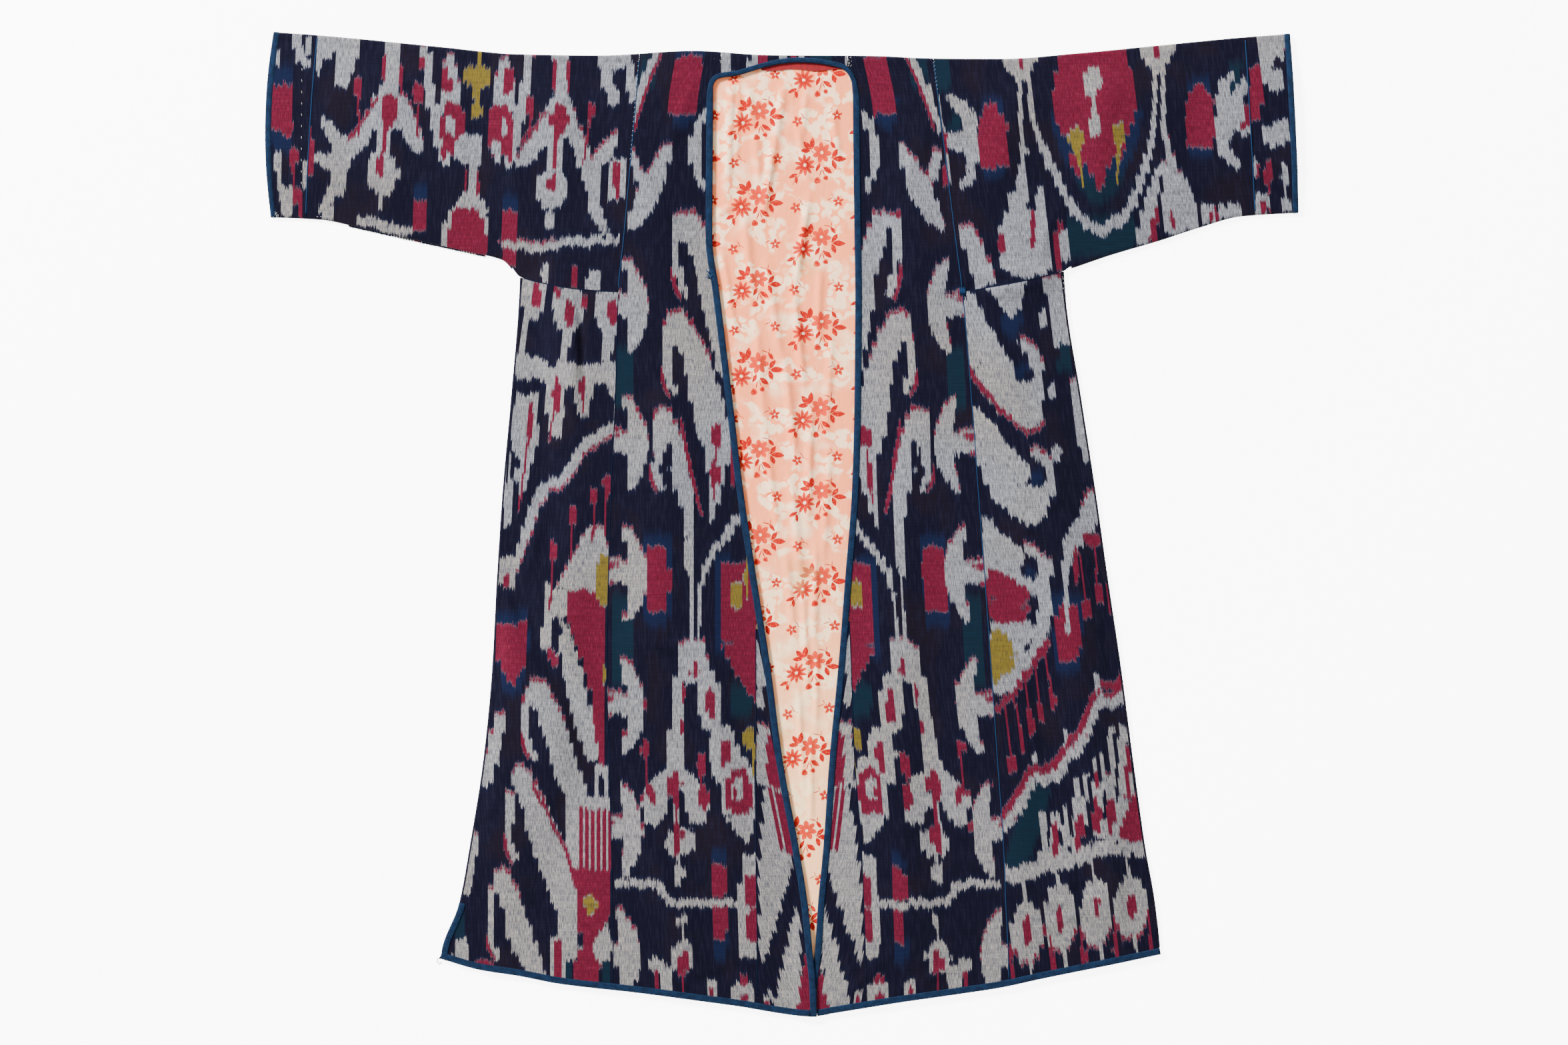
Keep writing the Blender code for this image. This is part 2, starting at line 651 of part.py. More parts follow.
def edge_point(x, y, height=upper):
    return Vector((x, y, height(x, y)))


def opening_path():
    """Edge of the opening: up the left front, round the neck and down the right front."""
    reach = BINDING_WIDTH + PARTING
    corner_low = 552 * MM

    def edge_rows(body, gore, column, shift, gore_top, height):
        rows = [row[column] for row in body if gore_top < row[column][1] < corner_low]
        rows += [row[column] for row in gore]
        points = [(x + shift, y) for x, y in rows]
        x_end = points[-1][0]
        points.append((x_end, hem(x_end)))
        return [(Vector((x, y, height(x, y))), BINDING_WIDTH) for x, y in points]

    left = edge_rows(body_plan_left(), gore_plan_left(), -1, reach, GORE_TOP_LEFT, upper_left_front)
    right = edge_rows(body_plan_right(), gore_plan_right(), 0, -reach, GORE_TOP_RIGHT, upper)
    neck_ends = [row["x"] * MM for row in NECK]
    places = [x for x in neck_ends if x < NECK_SEAM_LEFT] + neck_places()
    places += [x for x in neck_ends if x > NECK_SEAM_RIGHT]
    middle = [(edge_point(x, neck(x)), NECK_BINDING_WIDTH) for x in places]
    return left[::-1] + middle + right


def make_bindings():
    """Blue tape round the opening, the front hems, the left slit and the back hem."""
    pitch = 22 * MM
    band("binding_opening", opening_path(), BINDING_BLUE)

    def hem_points(x_start, x_end, hem_line):
        steps = round((x_end - x_start) / pitch)
        return [(x, hem_line(x)) for x in (mix(x_start, x_end, k / steps) for k in range(steps + 1))]

    def slit_points(inset, y_low):
        steps = 3
        heights = [mix(SLIT_TOP - 4 * SLIT_TURN, y_low, k / steps) for k in range(steps)]
        return [(side_l(y) + inset, y) for y in heights]

    def lay(points, height):
        return [(Vector((x, y, height(x, y))), BINDING_WIDTH) for x, y in points]

    low_l, low_r = hem(front_l(HEM_LEVEL)), hem(front_r(HEM_LEVEL))
    start_l, end_r = HEM[0]["x"] * MM, HEM[-1]["x"] * MM
    end_l = front_l(low_l) - BINDING_WIDTH - 3 * PARTING
    start_r = front_r(low_r) + BINDING_WIDTH + 8 * PARTING
    front = slit_points(0.0, hem(start_l)) + hem_points(start_l, end_l, hem)
    band("binding_hem_front_left", lay(front, upper_left_front), BINDING_BLUE)
    band("binding_hem_front_right", lay(hem_points(start_r, end_r, hem), upper), BINDING_BLUE)
    start_back = start_l + SLIT_INSET
    back = slit_points(SLIT_INSET, back_hem(start_back))
    back += hem_points(start_back, end_r - 2 * FOLD_RADIUS, back_hem)
    band("binding_hem_back", lay(back, lambda x, y: 0.0), BINDING_BLUE)


make_body_panel()
make_neck_strip()
make_lining()
make_neck_facing()
make_front_gores()
make_side_gore("side_gore_left", side_l, seam_l, back_seam_l, -1, slit=True)
make_side_gore("side_gore_right", side_r, seam_r, back_seam_r, 1, slit=False)
make_sleeve("left", STATIONS_LEFT, seam_l, back_seam_l, -1)
make_sleeve("right", STATIONS_RIGHT, seam_r, back_seam_r, 1)
make_cuff("left", STATIONS_LEFT, -1)
make_cuff("right", STATIONS_RIGHT, 1)
make_bindings()
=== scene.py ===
# %% [markdown]
# # An ikat robe laid flat
# The robe lies on its back with the fronts apart, so that the printed lining of the back shows.
# Everything below is in metres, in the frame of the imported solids: +Y towards the collar, +Z up.
# The solids give each piece its place. The cells replace them by thin shells with a finer form,
# whose pattern is dyed bundle by bundle of warp threads, as a real ikat is.

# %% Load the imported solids
import math

import bmesh
import bpy
import numpy as np
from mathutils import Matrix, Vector


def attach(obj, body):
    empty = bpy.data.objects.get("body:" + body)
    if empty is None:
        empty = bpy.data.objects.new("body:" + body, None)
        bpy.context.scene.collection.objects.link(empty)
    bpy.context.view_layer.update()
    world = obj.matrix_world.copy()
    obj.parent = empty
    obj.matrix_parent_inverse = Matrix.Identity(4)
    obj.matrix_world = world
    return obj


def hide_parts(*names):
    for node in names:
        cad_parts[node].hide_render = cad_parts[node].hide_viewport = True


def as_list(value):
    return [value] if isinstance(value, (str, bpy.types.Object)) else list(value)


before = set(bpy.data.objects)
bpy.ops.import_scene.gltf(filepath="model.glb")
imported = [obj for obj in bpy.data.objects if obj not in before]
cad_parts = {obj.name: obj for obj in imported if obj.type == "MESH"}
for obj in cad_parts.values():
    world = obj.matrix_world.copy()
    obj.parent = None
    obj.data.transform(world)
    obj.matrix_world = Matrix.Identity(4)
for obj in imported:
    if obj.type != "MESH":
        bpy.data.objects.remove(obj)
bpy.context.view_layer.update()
MM = 0.001

# %% [markdown]
# ## Camera, floor and light
# A flat garment is shown best from straight above. A long lens keeps its outline true.
# The light is one big soft panel a little to the upper left, which models the folds gently,
# and a dim, even world that fills their shadows. A point light would draw hard edges instead.

# %% Camera
LENS = 85
FILM = 36
VIEW_WIDTH = 2.0227
VIEW_CENTRE = (0.0013, 0.0026)


def add_object(name, data):
    """An object in the scene, with its data."""
    made = bpy.data.objects.new(name, data)
    bpy.context.scene.collection.objects.link(made)
    return made


camera_data = bpy.data.cameras.new("view_from_above")
camera_data.lens = LENS
camera_data.sensor_width = FILM
camera = add_object("view_from_above", camera_data)
camera.location = (*VIEW_CENTRE, VIEW_WIDTH * LENS / FILM)
bpy.context.scene.camera = camera
print("camera height", round(camera.location.z, 2), "m")

# %% Floor and light
FLOOR_REACH = 8.0
FLOOR_DROP = 0.4 * MM
FLOOR_COLOUR = (0.93, 0.93, 0.93, 1)
FLOOR_ROUGHNESS = 0.9
FLOOR_GLOW = 7.0
WHITE = (1.0, 1.0, 1.0, 1)
WORLD_STRENGTH = 1.1
PANEL_PLACE = (-6.4, 5.5, 5.0)
PANEL_SIZE = 2.2
PANEL_POWER = 4300

corners = ((-1, -1, 0), (1, -1, 0), (1, 1, 0), (-1, 1, 0))
floor_mesh = bpy.data.meshes.new("floor")
floor_mesh.from_pydata(corners, [], [(0, 1, 2, 3)])
floor = add_object("floor", floor_mesh)
floor.scale = (FLOOR_REACH, FLOOR_REACH, 1)
floor.location.z = -FLOOR_DROP
floor_paint = bpy.data.materials.new("pale_floor")
floor_paint.use_nodes = True
floor_inputs = floor_paint.node_tree.nodes["Principled BSDF"].inputs
floor_inputs["Base Color"].default_value = FLOOR_COLOUR
floor_inputs["Roughness"].default_value = FLOOR_ROUGHNESS
floor_inputs["Emission Color"].default_value = WHITE
floor_inputs["Emission Strength"].default_value = FLOOR_GLOW
floor_mesh.materials.append(floor_paint)

world = bpy.data.worlds.new("studio")
world.use_nodes = True
world_inputs = world.node_tree.nodes["Background"].inputs
world_inputs["Color"].default_value = WHITE
world_inputs["Strength"].default_value = WORLD_STRENGTH
bpy.context.scene.world = world

panel_data = bpy.data.lights.new("soft_panel", "AREA")
panel_data.shape = "DISK"
panel_data.size = PANEL_SIZE
panel_data.energy = PANEL_POWER
panel = add_object("soft_panel", panel_data)
panel.location = PANEL_PLACE
panel.rotation_euler = (-Vector(PANEL_PLACE)).to_track_quat("-Z", "Y").to_euler()
print("panel", round(Vector(PANEL_PLACE).length, 1), "m away")

# %% [markdown]
# ## The outline
# The edges of the pieces are lines through short tables of measured places, in millimetres.
# A cubic that never overshoots joins the rows, so that a seam has no false waves.
# numpy reads whole arrays of points through one line at once, which keeps fine cloth quick.

# %% Tables of the outline
LEVEL_COLUMNS = (
    "y", "side_l", "seam_l", "gore_l", "front_l", "front_r", "gore_r", "seam_r", "side_r",
)


def table(columns, *rows):
    """One dictionary for each row, with the columns' names as its keys."""
    return [dict(zip(columns, row)) for row in rows]


LEVELS = table(
    LEVEL_COLUMNS,
    (606, -338, -185, -35, -90, 90, 83, 193, 360),
    (565, -338, -188, -35, -90, 90, 83, 198, 360),
    (370, -338, -205, -35, -91, 92, 83, 222, 361),
    (300, -340, -212, -35, -82, 93, 83, 231, 364),
    (160, -351, -216, -35, -65, 92, 83, 243, 385),
    (50, -361, -221, -35, -52, 89, 83, 251, 402),
    (-70, -369, -225, -35, -34, 80, 84, 260, 419),
    (-185, -375, -227, -35, -16, 71, 88, 268, 436),
    (-300, -386, -224, -35, -1, 60, 92, 276, 451),
    (-415, -404, -221, -35, 20, 52, 101, 284, 467),
    (-490, -418, -220, -34, 32, 45, 104, 287, 480),
    (-550, -440, -219, -33, 38, 41, 106, 290, 486),
    (-590, -443, -219, -33, 42, 36, 107, 291, 487),
    (-640, -445, -218, -32, 44, 34, 109, 293, 487),
)

PLACE_COLUMNS = ("x", "y")
SHOULDER = table(
    PLACE_COLUMNS,
    (-656, 635), (-598, 631), (-442, 616), (-340, 606.5), (-236, 605), (-115, 611), (-20, 605.5),
    (110, 604.5), (200, 601), (280, 600.5), (383, 608), (486, 618), (590, 628), (655, 633),
)
UNDERARM = table(
    PLACE_COLUMNS,
    (-660, 396), (-597, 393), (-545, 382.5), (-494, 371), (-403, 351), (-362, 341), (-340, 320),
    (-310, 311), (-263, 303), (-212, 300), (231, 301), (278, 307.5), (314, 314.5), (362, 327),
    (425, 348), (486, 366), (538, 383), (590, 397), (665, 402),
)
HEM = table(
    PLACE_COLUMNS,
    (-444, -559), (-391, -574), (-340, -582), (-288, -592), (-184, -604), (-64, -620), (40, -634),
    (65, -630), (151, -616), (228, -605), (280, -597), (331, -586), (435, -565), (487, -554),
)
NECK = table(
    PLACE_COLUMNS,
    (-90, 566), (-86, 573), (-78, 576), (-62, 578), (-31, 587), (0, 594), (18, 595.5), (40, 594.5),
    (62, 591), (76, 587.5), (84, 580), (88.5, 570),
)
# where a line across a sleeve meets the shoulder and the underarm edge
STATION_COLUMNS = ("x_top", "x_under", "bow")
CORNER_L, CUFF_SEAM_L, CUFF_END_L, CORNER_R, CUFF_SEAM_R, CUFF_END_R = table(
    STATION_COLUMNS,
    (-326, -340, 0), (-600, -615, -1.5), (-656.5, -660, -8.5),
    (336, 362, 0), (595.5, 608.5, 0), (653.5, 664.5, 1),
)
edge_places = [place for edge in (SHOULDER, UNDERARM, HEM, NECK) for place in edge]
print(len(LEVELS), "levels and", len(edge_places), "edge places")

# %% Lines through the tables


def smooth_line(rows, place, value):
    """A function of arrays through the rows' points, eased without overshoot."""
    xs, ys = np.array(sorted((row[place] * MM, row[value] * MM) for row in rows)).T
    slopes = np.diff(ys) / np.diff(xs)
    before, after = slopes[:-1], slopes[1:]
    total = np.where(before * after > 0, before + after, 1.0)
    inner = np.where(before * after > 0, 2 * before * after / total, 0.0)
    tangents = np.concatenate([slopes[:1], inner, slopes[-1:]])

    def line(t):
        t = np.asarray(t, float)
        k = np.clip(np.searchsorted(xs, t, side="right") - 1, 0, len(xs) - 2)
        span = xs[k + 1] - xs[k]
        u = (t - xs[k]) / span
        curve = ((2 * u ** 3 - 3 * u ** 2 + 1) * ys[k]
                 + (u ** 3 - 2 * u ** 2 + u) * span * tangents[k]
                 + (3 * u ** 2 - 2 * u ** 3) * ys[k + 1]
                 + (u ** 3 - u ** 2) * span * tangents[k + 1])
        low = ys[0] + tangents[0] * (t - xs[0])
        high = ys[-1] + tangents[-1] * (t - xs[-1])
        return np.where(t <= xs[0], low, np.where(t >= xs[-1], high, curve))

    return line


side_l, seam_l, gore_l, front_l, front_r, gore_r, seam_r, side_r = (
    smooth_line(LEVELS, "y", column) for column in LEVEL_COLUMNS[1:])
shoulder = smooth_line(SHOULDER, "x", "y")
under = smooth_line(UNDERARM, "x", "y")
hem = smooth_line(HEM, "x", "y")
neck = smooth_line(NECK, "x", "y")

WALL = 1.2 * MM
LINING_WALL = 1.0 * MM
PARTING = 0.3 * MM
HALF_PARTING = PARTING / 2
BINDING_WIDTH = 7.5 * MM
NECK_BINDING_WIDTH = 5.4 * MM
BACK_SEAM = 208 * MM
BACK_HEM_RISE = 4 * MM
HEM_SMOOTHING = 60 * MM
NECK_STRIP_BACK = 9 * MM
NECK_SEAM_LEFT, NECK_SEAM_RIGHT = -80 * MM, 83.5 * MM
SLIT_TOP = -490 * MM
GORE_TOP_LEFT, GORE_TOP_RIGHT = -135 * MM, -125 * MM


def mix(a, b, t):
    return a + (b - a) * t


def ease(t):
    t = np.clip(t, 0.0, 1.0)
    return t * t * (3 - 2 * t)


def back_seam(y, side):
    """The back's seam: drawn in along the armhole, then half a loom width from the middle."""
    share = np.clip((y - under(0)) / (shoulder(0) - under(0)), 0, 1)
    top = seam_l(shoulder(0)) if side < 0 else seam_r(shoulder(0))
    return mix(side * BACK_SEAM, top, share)


def front_edge(y, side):
    """Cut edge of a front, beside its binding."""
    edge = front_l(y) if side < 0 else front_r(y)
    return edge + side * (BINDING_WIDTH + PARTING)


def hem_cloth(x):
    return hem(x) + BINDING_WIDTH + 2 * PARTING


def back_hem(x):
    """The front's hem line, smoothed and a little higher."""
    smooth = (hem(x - HEM_SMOOTHING) + 2 * hem(x) + hem(x + HEM_SMOOTHING)) / 4
    return smooth + BACK_HEM_RISE


def back_hem_cloth(x):
    return back_hem(x) + BINDING_WIDTH + 2 * PARTING


def station(row, y):
    """x of a line across a sleeve, at the height y."""
    x_top, x_under = row["x_top"] * MM, row["x_under"] * MM
    s = np.clip((y - under(x_under)) / (shoulder(x_top) - under(x_under)), 0, 1)
    return mix(x_under, x_top, s) + 4 * s * (1 - s) * row["bow"] * MM


print("length", round((shoulder(0) - hem(40 * MM)) / MM), "mm at the middle")

# %% [markdown]
# ## How the cloth lies
# Where two layers lie on each other, the upper one stands up a little inside a folded edge, and
# it carries soft folds. Each fold or crease is a row of a table: where it starts and ends, how far
# it rises, or sinks where that is negative, and how wide it is. A simulation would also drape it,
# but rows put each fold where it belongs.

# %% Folds and creases
UPPER_LIFT = 4.2 * MM
CROWN = 4.5 * MM
CROWN_REACH = 70 * MM
FRONT_FLAT = 90 * MM
HEM_FLAT = 140 * MM
FOLD_REACH = 18 * MM
FOLD_STRENGTH = 1.5
CREASE_STRENGTH = 1.3
WRAP_LIFT = 2.8 * MM
WRAP_RISE = 50 * MM
WRAP_FROM, WRAP_ACROSS = 5 * MM, 20 * MM
CREASE_SETBACK = 12 * MM
FOLD_TOP = UPPER_LIFT + WALL
FOLD_RADIUS = FOLD_TOP / 2

FOLD_COLUMNS = ("x0", "y0", "x1", "y1", "rise", "half_width")
FOLDS = table(
    FOLD_COLUMNS,
    (-300, 330, -262, 120, 2.6, 24), (-322, 250, -300, -60, -2.0, 20),
    (-262, 60, -300, -330, 2.4, 30), (-338, -105, -246, -290, -2.6, 13),
    (-318, -85, -232, -250, 1.8, 14), (-352, -170, -275, -330, 1.6, 16),
    (-345, -120, -372, -430, 2.2, 26), (-250, -300, -330, -560, -1.8, 28),
    (-190, 500, -150, 300, 1.8, 26), (-150, 120, -175, -220, 2.0, 34),
    (-95, -60, -70, -420, 1.6, 26), (-175, -330, -120, -610, 2.6, 30),
    (150, 470, 190, 250, 2.0, 28), (165, 160, 140, -160, 1.8, 30), (205, -120, 190, -420, -1.6, 26),
    (150, -330, 175, -590, 2.4, 30), (262, 300, 350, 322, 3.2, 15), (270, 240, 320, -20, 2.4, 28),
    (340, 120, 388, -180, 2.2, 26), (330, -180, 350, -400, -1.8, 26),
    (345, -470, 420, -500, 2.8, 18), (400, -260, 430, -520, 2.4, 24),
    (300, -360, 310, -570, 2.0, 26), (-520, 580, -500, 420, 1.8, 28),
    (-400, 575, -380, 400, -1.6, 24), (-300, 560, -270, 430, 2.2, 26),
    (-580, 560, -590, 440, 1.4, 20), (300, 560, 270, 430, 2.0, 26), (420, 575, 400, 420, 2.2, 24),
    (540, 590, 520, 430, -1.4, 24),
)
CREASES = table(
    FOLD_COLUMNS,
    (-500, 562, -425, 558, -1.4, 3), (-440, 566, -380, 556, -0.9, 4),
    (-262, 278, -256, 196, -2.1, 5), (-268, 262, -270, 150, 1.4, 7), (-300, 40, -330, -60, 1.2, 8),
    (-355, -20, -330, -160, -1.0, 8), (-310, -476, -240, -480, -0.9, 4),
    (-300, -508, -250, -520, -0.9, 5), (-345, -555, -290, -572, -1.2, 5),
    (-120, 562, -150, 470, 1.2, 9), (-170, 430, -130, 330, 1.0, 9), (-190, 250, -150, 150, 0.9, 10),
    (-200, -150, -90, -160, 1.0, 6), (-210, -395, -170, -405, 0.9, 5),
    (-150, -585, -95, -600, 1.4, 5), (-120, -596, -60, -575, -1.0, 6),
    (-110, -430, -60, -500, 1.0, 9), (-35, -300, -25, -520, 0.9, 8), (233, 302, 262, 309, -2.4, 4),
    (262, 309, 330, 318, -1.5, 5), (250, 320, 320, 335, 1.5, 7), (262, 270, 300, 200, 1.4, 8),
    (300, 160, 330, 60, 1.0, 9), (400, 200, 392, 60, 1.2, 8), (350, -478, 406, -465, -1.8, 4),
    (330, -520, 385, -500, 1.4, 6), (420, -420, 440, -540, 1.2, 8), (360, 40, 300, -20, 0.9, 7),
    (310, -250, 340, -330, 1.0, 8), (415, -120, 430, -240, -1.2, 7), (100, 540, 140, 450, 1.0, 9),
    (190, 520, 150, 430, 0.9, 9), (170, 330, 120, 260, 0.9, 9), (230, -560, 180, -590, 1.2, 6),
    (130, -560, 90, -600, 1.0, 6), (60, -520, 100, -600, 0.9, 8), (-640, 600, -610, 560, 0.9, 7),
    (-560, 470, -520, 440, 1.0, 8), (-470, 420, -430, 380, 1.0, 7), (-350, 540, -340, 440, 1.2, 8),
    (-250, 400, -215, 350, 1.0, 8), (480, 470, 520, 430, 1.0, 8), (360, 420, 330, 350, 1.4, 8),
    (250, 520, 300, 470, 1.0, 8), (600, 570, 612, 470, -0.9, 6),
)
print(len(FOLDS), "folds and", len(CREASES), "creases")

# %% Height of the upper layer


def ridge_height(folds, x, y):
    """Sum of soft ridges and troughs, each fading along its length and across it."""
    total = np.zeros_like(x)
    for fold in folds:
        run = np.array([fold["x1"] - fold["x0"], fold["y1"] - fold["y0"]]) * MM
        dx, dy = x - fold["x0"] * MM, y - fold["y0"] * MM
        along = (dx * run[0] + dy * run[1]) / (run @ run)
        across = (dx * run[1] - dy * run[0]) / np.sqrt(run @ run) / (fold["half_width"] * MM)
        fade = ease((along + 0.25) / 0.5) * ease((1.25 - along) / 0.5)
        total += fold["rise"] * MM * fade * np.exp(-np.minimum(across * across, 40.0))
    return total


def upper(x, y):
    """Underside of the upper layer."""
    sleeve = np.minimum(shoulder(x) - y, y - under(x))
    body = np.minimum(np.minimum(x - side_l(y), side_r(y) - x), shoulder(x) - y)
    inside = np.maximum(0.0, np.maximum(sleeve, body))
    beside = np.maximum(np.maximum(front_l(y) - x, x - front_r(y)), 0.0)
    beside = np.where(y < neck(0), beside, FRONT_FLAT)
    flat = (0.15 + 0.85 * ease(beside / FRONT_FLAT)) * (0.3 + 0.7 * ease((y - hem(x)) / HEM_FLAT))
    crown = CROWN * ease(inside / CROWN_REACH) * flat
    folds = FOLD_STRENGTH * ridge_height(FOLDS, x, y) * ease(inside / FOLD_REACH) * flat
    creases = CREASE_STRENGTH * ridge_height(CREASES, x, y) * ease(inside / FOLD_REACH)
    creases = creases * ease(beside / CREASE_SETBACK)
    return UPPER_LIFT + np.maximum(0.0, crown + folds + creases)


def upper_left_front(x, y):
    """The left front climbs over the right one near the hem."""
    over = ease((SLIT_TOP - y) / WRAP_RISE) * ease((x - WRAP_FROM) / WRAP_ACROSS)
    return upper(x, y) + WRAP_LIFT * over


chest_height = float(upper(np.array(-0.15), np.array(0.2)))
print("upper layer at the chest", round(chest_height / MM, 1), "mm up")

# %% [markdown]
# ## Cutting the cloth
# Ikat warp runs the length of every piece, whatever way its edges slant. So a piece is a grid
# of upright columns that stop at the piece's edges, and not a grid stretched between them.
# The warp leans a little where the cloth was pulled as it was laid out.
# Each column is a few threads wide. Columns that were tied together make a bundle, and a bundle's
# dyed places slip along the warp as one, which gives ikat its stepped, feathered edges.

# %% Columns and bundles
COLUMN = 2.5 * MM
ROW = 5.0 * MM
BACK_ROW = 30.0 * MM
WARP_LOW, WARP_HIGH = -660, 660
WARP_PLACES = np.arange(WARP_LOW, WARP_HIGH + 1) * MM
BUNDLE_SIZES = (1, 2, 2, 3)


def column_lines(low, high):
    first, last = math.floor(low / COLUMN), math.ceil(high / COLUMN)
    return np.arange(first, last + 1) * COLUMN


def tie_bundles(lines, rng):
    """Centre and slip of the bundle that each column belongs to."""
    count = len(lines) - 1
    centres, slips = np.empty(count), np.empty(count)
    drift, start = 0.0, 0
    while start < count:
        size = min(int(rng.choice(BUNDLE_SIZES)), count - start)
        drift = 0.6 * drift + rng.normal(0, 1.1)
        centres[start:start + size] = (lines[start] + lines[start + size]) / 2
        slips[start:start + size] = (drift + rng.normal(0, 1.5)) * MM
        start += size
    return centres, slips


def no_lean(lines, y):
    return np.zeros(np.broadcast(lines, y).shape)


def lay_columns(lines, lean, left, right, row_y, shares):
    """x and y of a grid whose columns stop at the left and the right edge."""
    xs, ys = [], []
    for share in shares:
        x = lines.copy()
        y = row_y(x, share)
        for _ in range(6):
            low, high = left(y), right(y)
            leaning = lines + lean(lines, y)
            x = np.minimum(np.maximum(leaning, low), high)
            y = row_y(x, share)
        cut_low, cut_high = leaning <= low, leaning >= high
        if cut_low.any():
            edge = np.nonzero(cut_low)[0][-1]
            x[:edge], y[:edge] = x[edge], y[edge]
        if cut_high.any():
            edge = np.nonzero(cut_high)[0][0]
            x[edge + 1:], y[edge + 1:] = x[edge], y[edge]
        xs.append(x)
        ys.append(y)
    return np.array(xs), np.array(ys)


def even_shares(length, pitch):
    return np.linspace(0.0, 1.0, max(2, round(length / pitch)) + 1)


print("column", COLUMN / MM, "mm, row", ROW / MM, "mm")

# %% [markdown]
# ## Dyeing the warp
# A motif is a stroke: a line that may bow to one side, with a width at its start, middle and end.
# Its dye is a letter: w stays undyed, r is crimson, g mustard, b and t a blue and a teal haze, and
# n gives the place back to the dark ground. A rim is a crimson fringe above or below a stroke.
# Blades, almonds, hooks, bars and combs are all strokes. They are painted on a raster with one
# column for each bundle, and then every bundle keeps, for each dye, how far along the warp the
# nearest edge of that dye is. A material can feather such a distance thread by thread, which it
# couldn't do with a painted colour.

# %% Strokes
STROKE_COLUMNS = (
    "dye", "x0", "y0", "x1", "y1", "bow", "w0", "wm", "w1", "rim", "times", "dx", "dy",
)
FULL_ROW = 9
STROKE_DEFAULTS = {"rim": 0, "times": 1, "dx": 0, "dy": 0}
DYES = {"n": 0, "w": 1, "r": 2, "g": 3}
HAZES = ("b", "t")
FEATHER_REACH = 16 * MM
CURVE_STEPS = 12
FAR_AWAY = 1e9
THIN = 7.0


def strokes(*rows):
    """Strokes from full rows, or from short ones for upright strokes, with no x1 and no bow."""
    full = [row if len(row) >= FULL_ROW else (*row[:3], row[1], row[3], 0, *row[4:])
            for row in rows]
    return [{**STROKE_DEFAULTS, **row} for row in table(STROKE_COLUMNS, *full)]


def mirrored(rows, axis):
    """The same strokes turned over about an upright line."""
    return [{**row, "x0": 2 * axis - row["x0"], "x1": 2 * axis - row["x1"],
             "bow": -row["bow"], "dx": -row["dx"]} for row in rows]


def shifted(rows, dx, dy):
    return [{**row, "x0": row["x0"] + dx, "x1": row["x1"] + dx,
             "y0": row["y0"] + dy, "y1": row["y1"] + dy} for row in rows]


def chain(dye, width, rim, *points):
    """One bent line of even width."""
    return strokes(*((dye, *start, *end, 0, width, width, width, rim)
                     for start, end in zip(points, points[1:])))


def clubs(*rows):
    """Crimson stems, each ending in a drop: stem start, drop start, drop end and drop width."""
    made = []
    for x0, y0, x1, y1, x2, y2, width in rows:
        made += strokes(("r", x0, y0, x1, y1, 0, 2.5, 2.5, 2.5),
                        ("r", x1, y1, x2, y2, 0, 4, width, 5))
    return made


print(len(DYES) + len(HAZES), "dyes")

# %% Painting the bundles


def stroke_cover(row, x, y, grow=0.0):
    """True where a stroke covers the points; it bows to its right where the bow is positive."""
    start = np.array([row["x0"], row["y0"]]) * MM
    end = np.array([row["x1"], row["y1"]]) * MM
    run = end - start
    bend = (start + end) / 2 + 2 * row["bow"] * MM * np.array([run[1], -run[0]]) / np.hypot(*run)
    t = np.linspace(0, 1, (CURVE_STEPS if row["bow"] else 1) + 1)[:, None]
    path = (1 - t) ** 2 * start + 2 * t * (1 - t) * bend + t ** 2 * end
    nearest = np.full(x.shape, FAR_AWAY)
    share = np.zeros(x.shape)
    for k in range(len(path) - 1):
        step = path[k + 1] - path[k]
        s = ((x - path[k, 0]) * step[0] + (y - path[k, 1]) * step[1]) / (step @ step)
        held = np.clip(s, 0, 1)
        gap = np.hypot(x - path[k, 0] - held * step[0], y - path[k, 1] - held * step[1])
        past_end = (s < 0) & (k == 0) | (s > 1) & (k == len(path) - 2)
        gap = np.where(past_end & (gap > 1.5 * MM), FAR_AWAY, gap)
        closer = gap < nearest
        nearest = np.where(closer, gap, nearest)
        share = np.where(closer, (k + held) / (len(path) - 1), share)
    bulge = row["wm"] - (row["w0"] + row["w1"]) / 2
    width = mix(row["w0"], row["w1"], share) + bulge * np.sin(np.pi * share) ** 0.8
    return nearest < np.maximum(width * MM, 1.04 * COLUMN) / 2 + grow


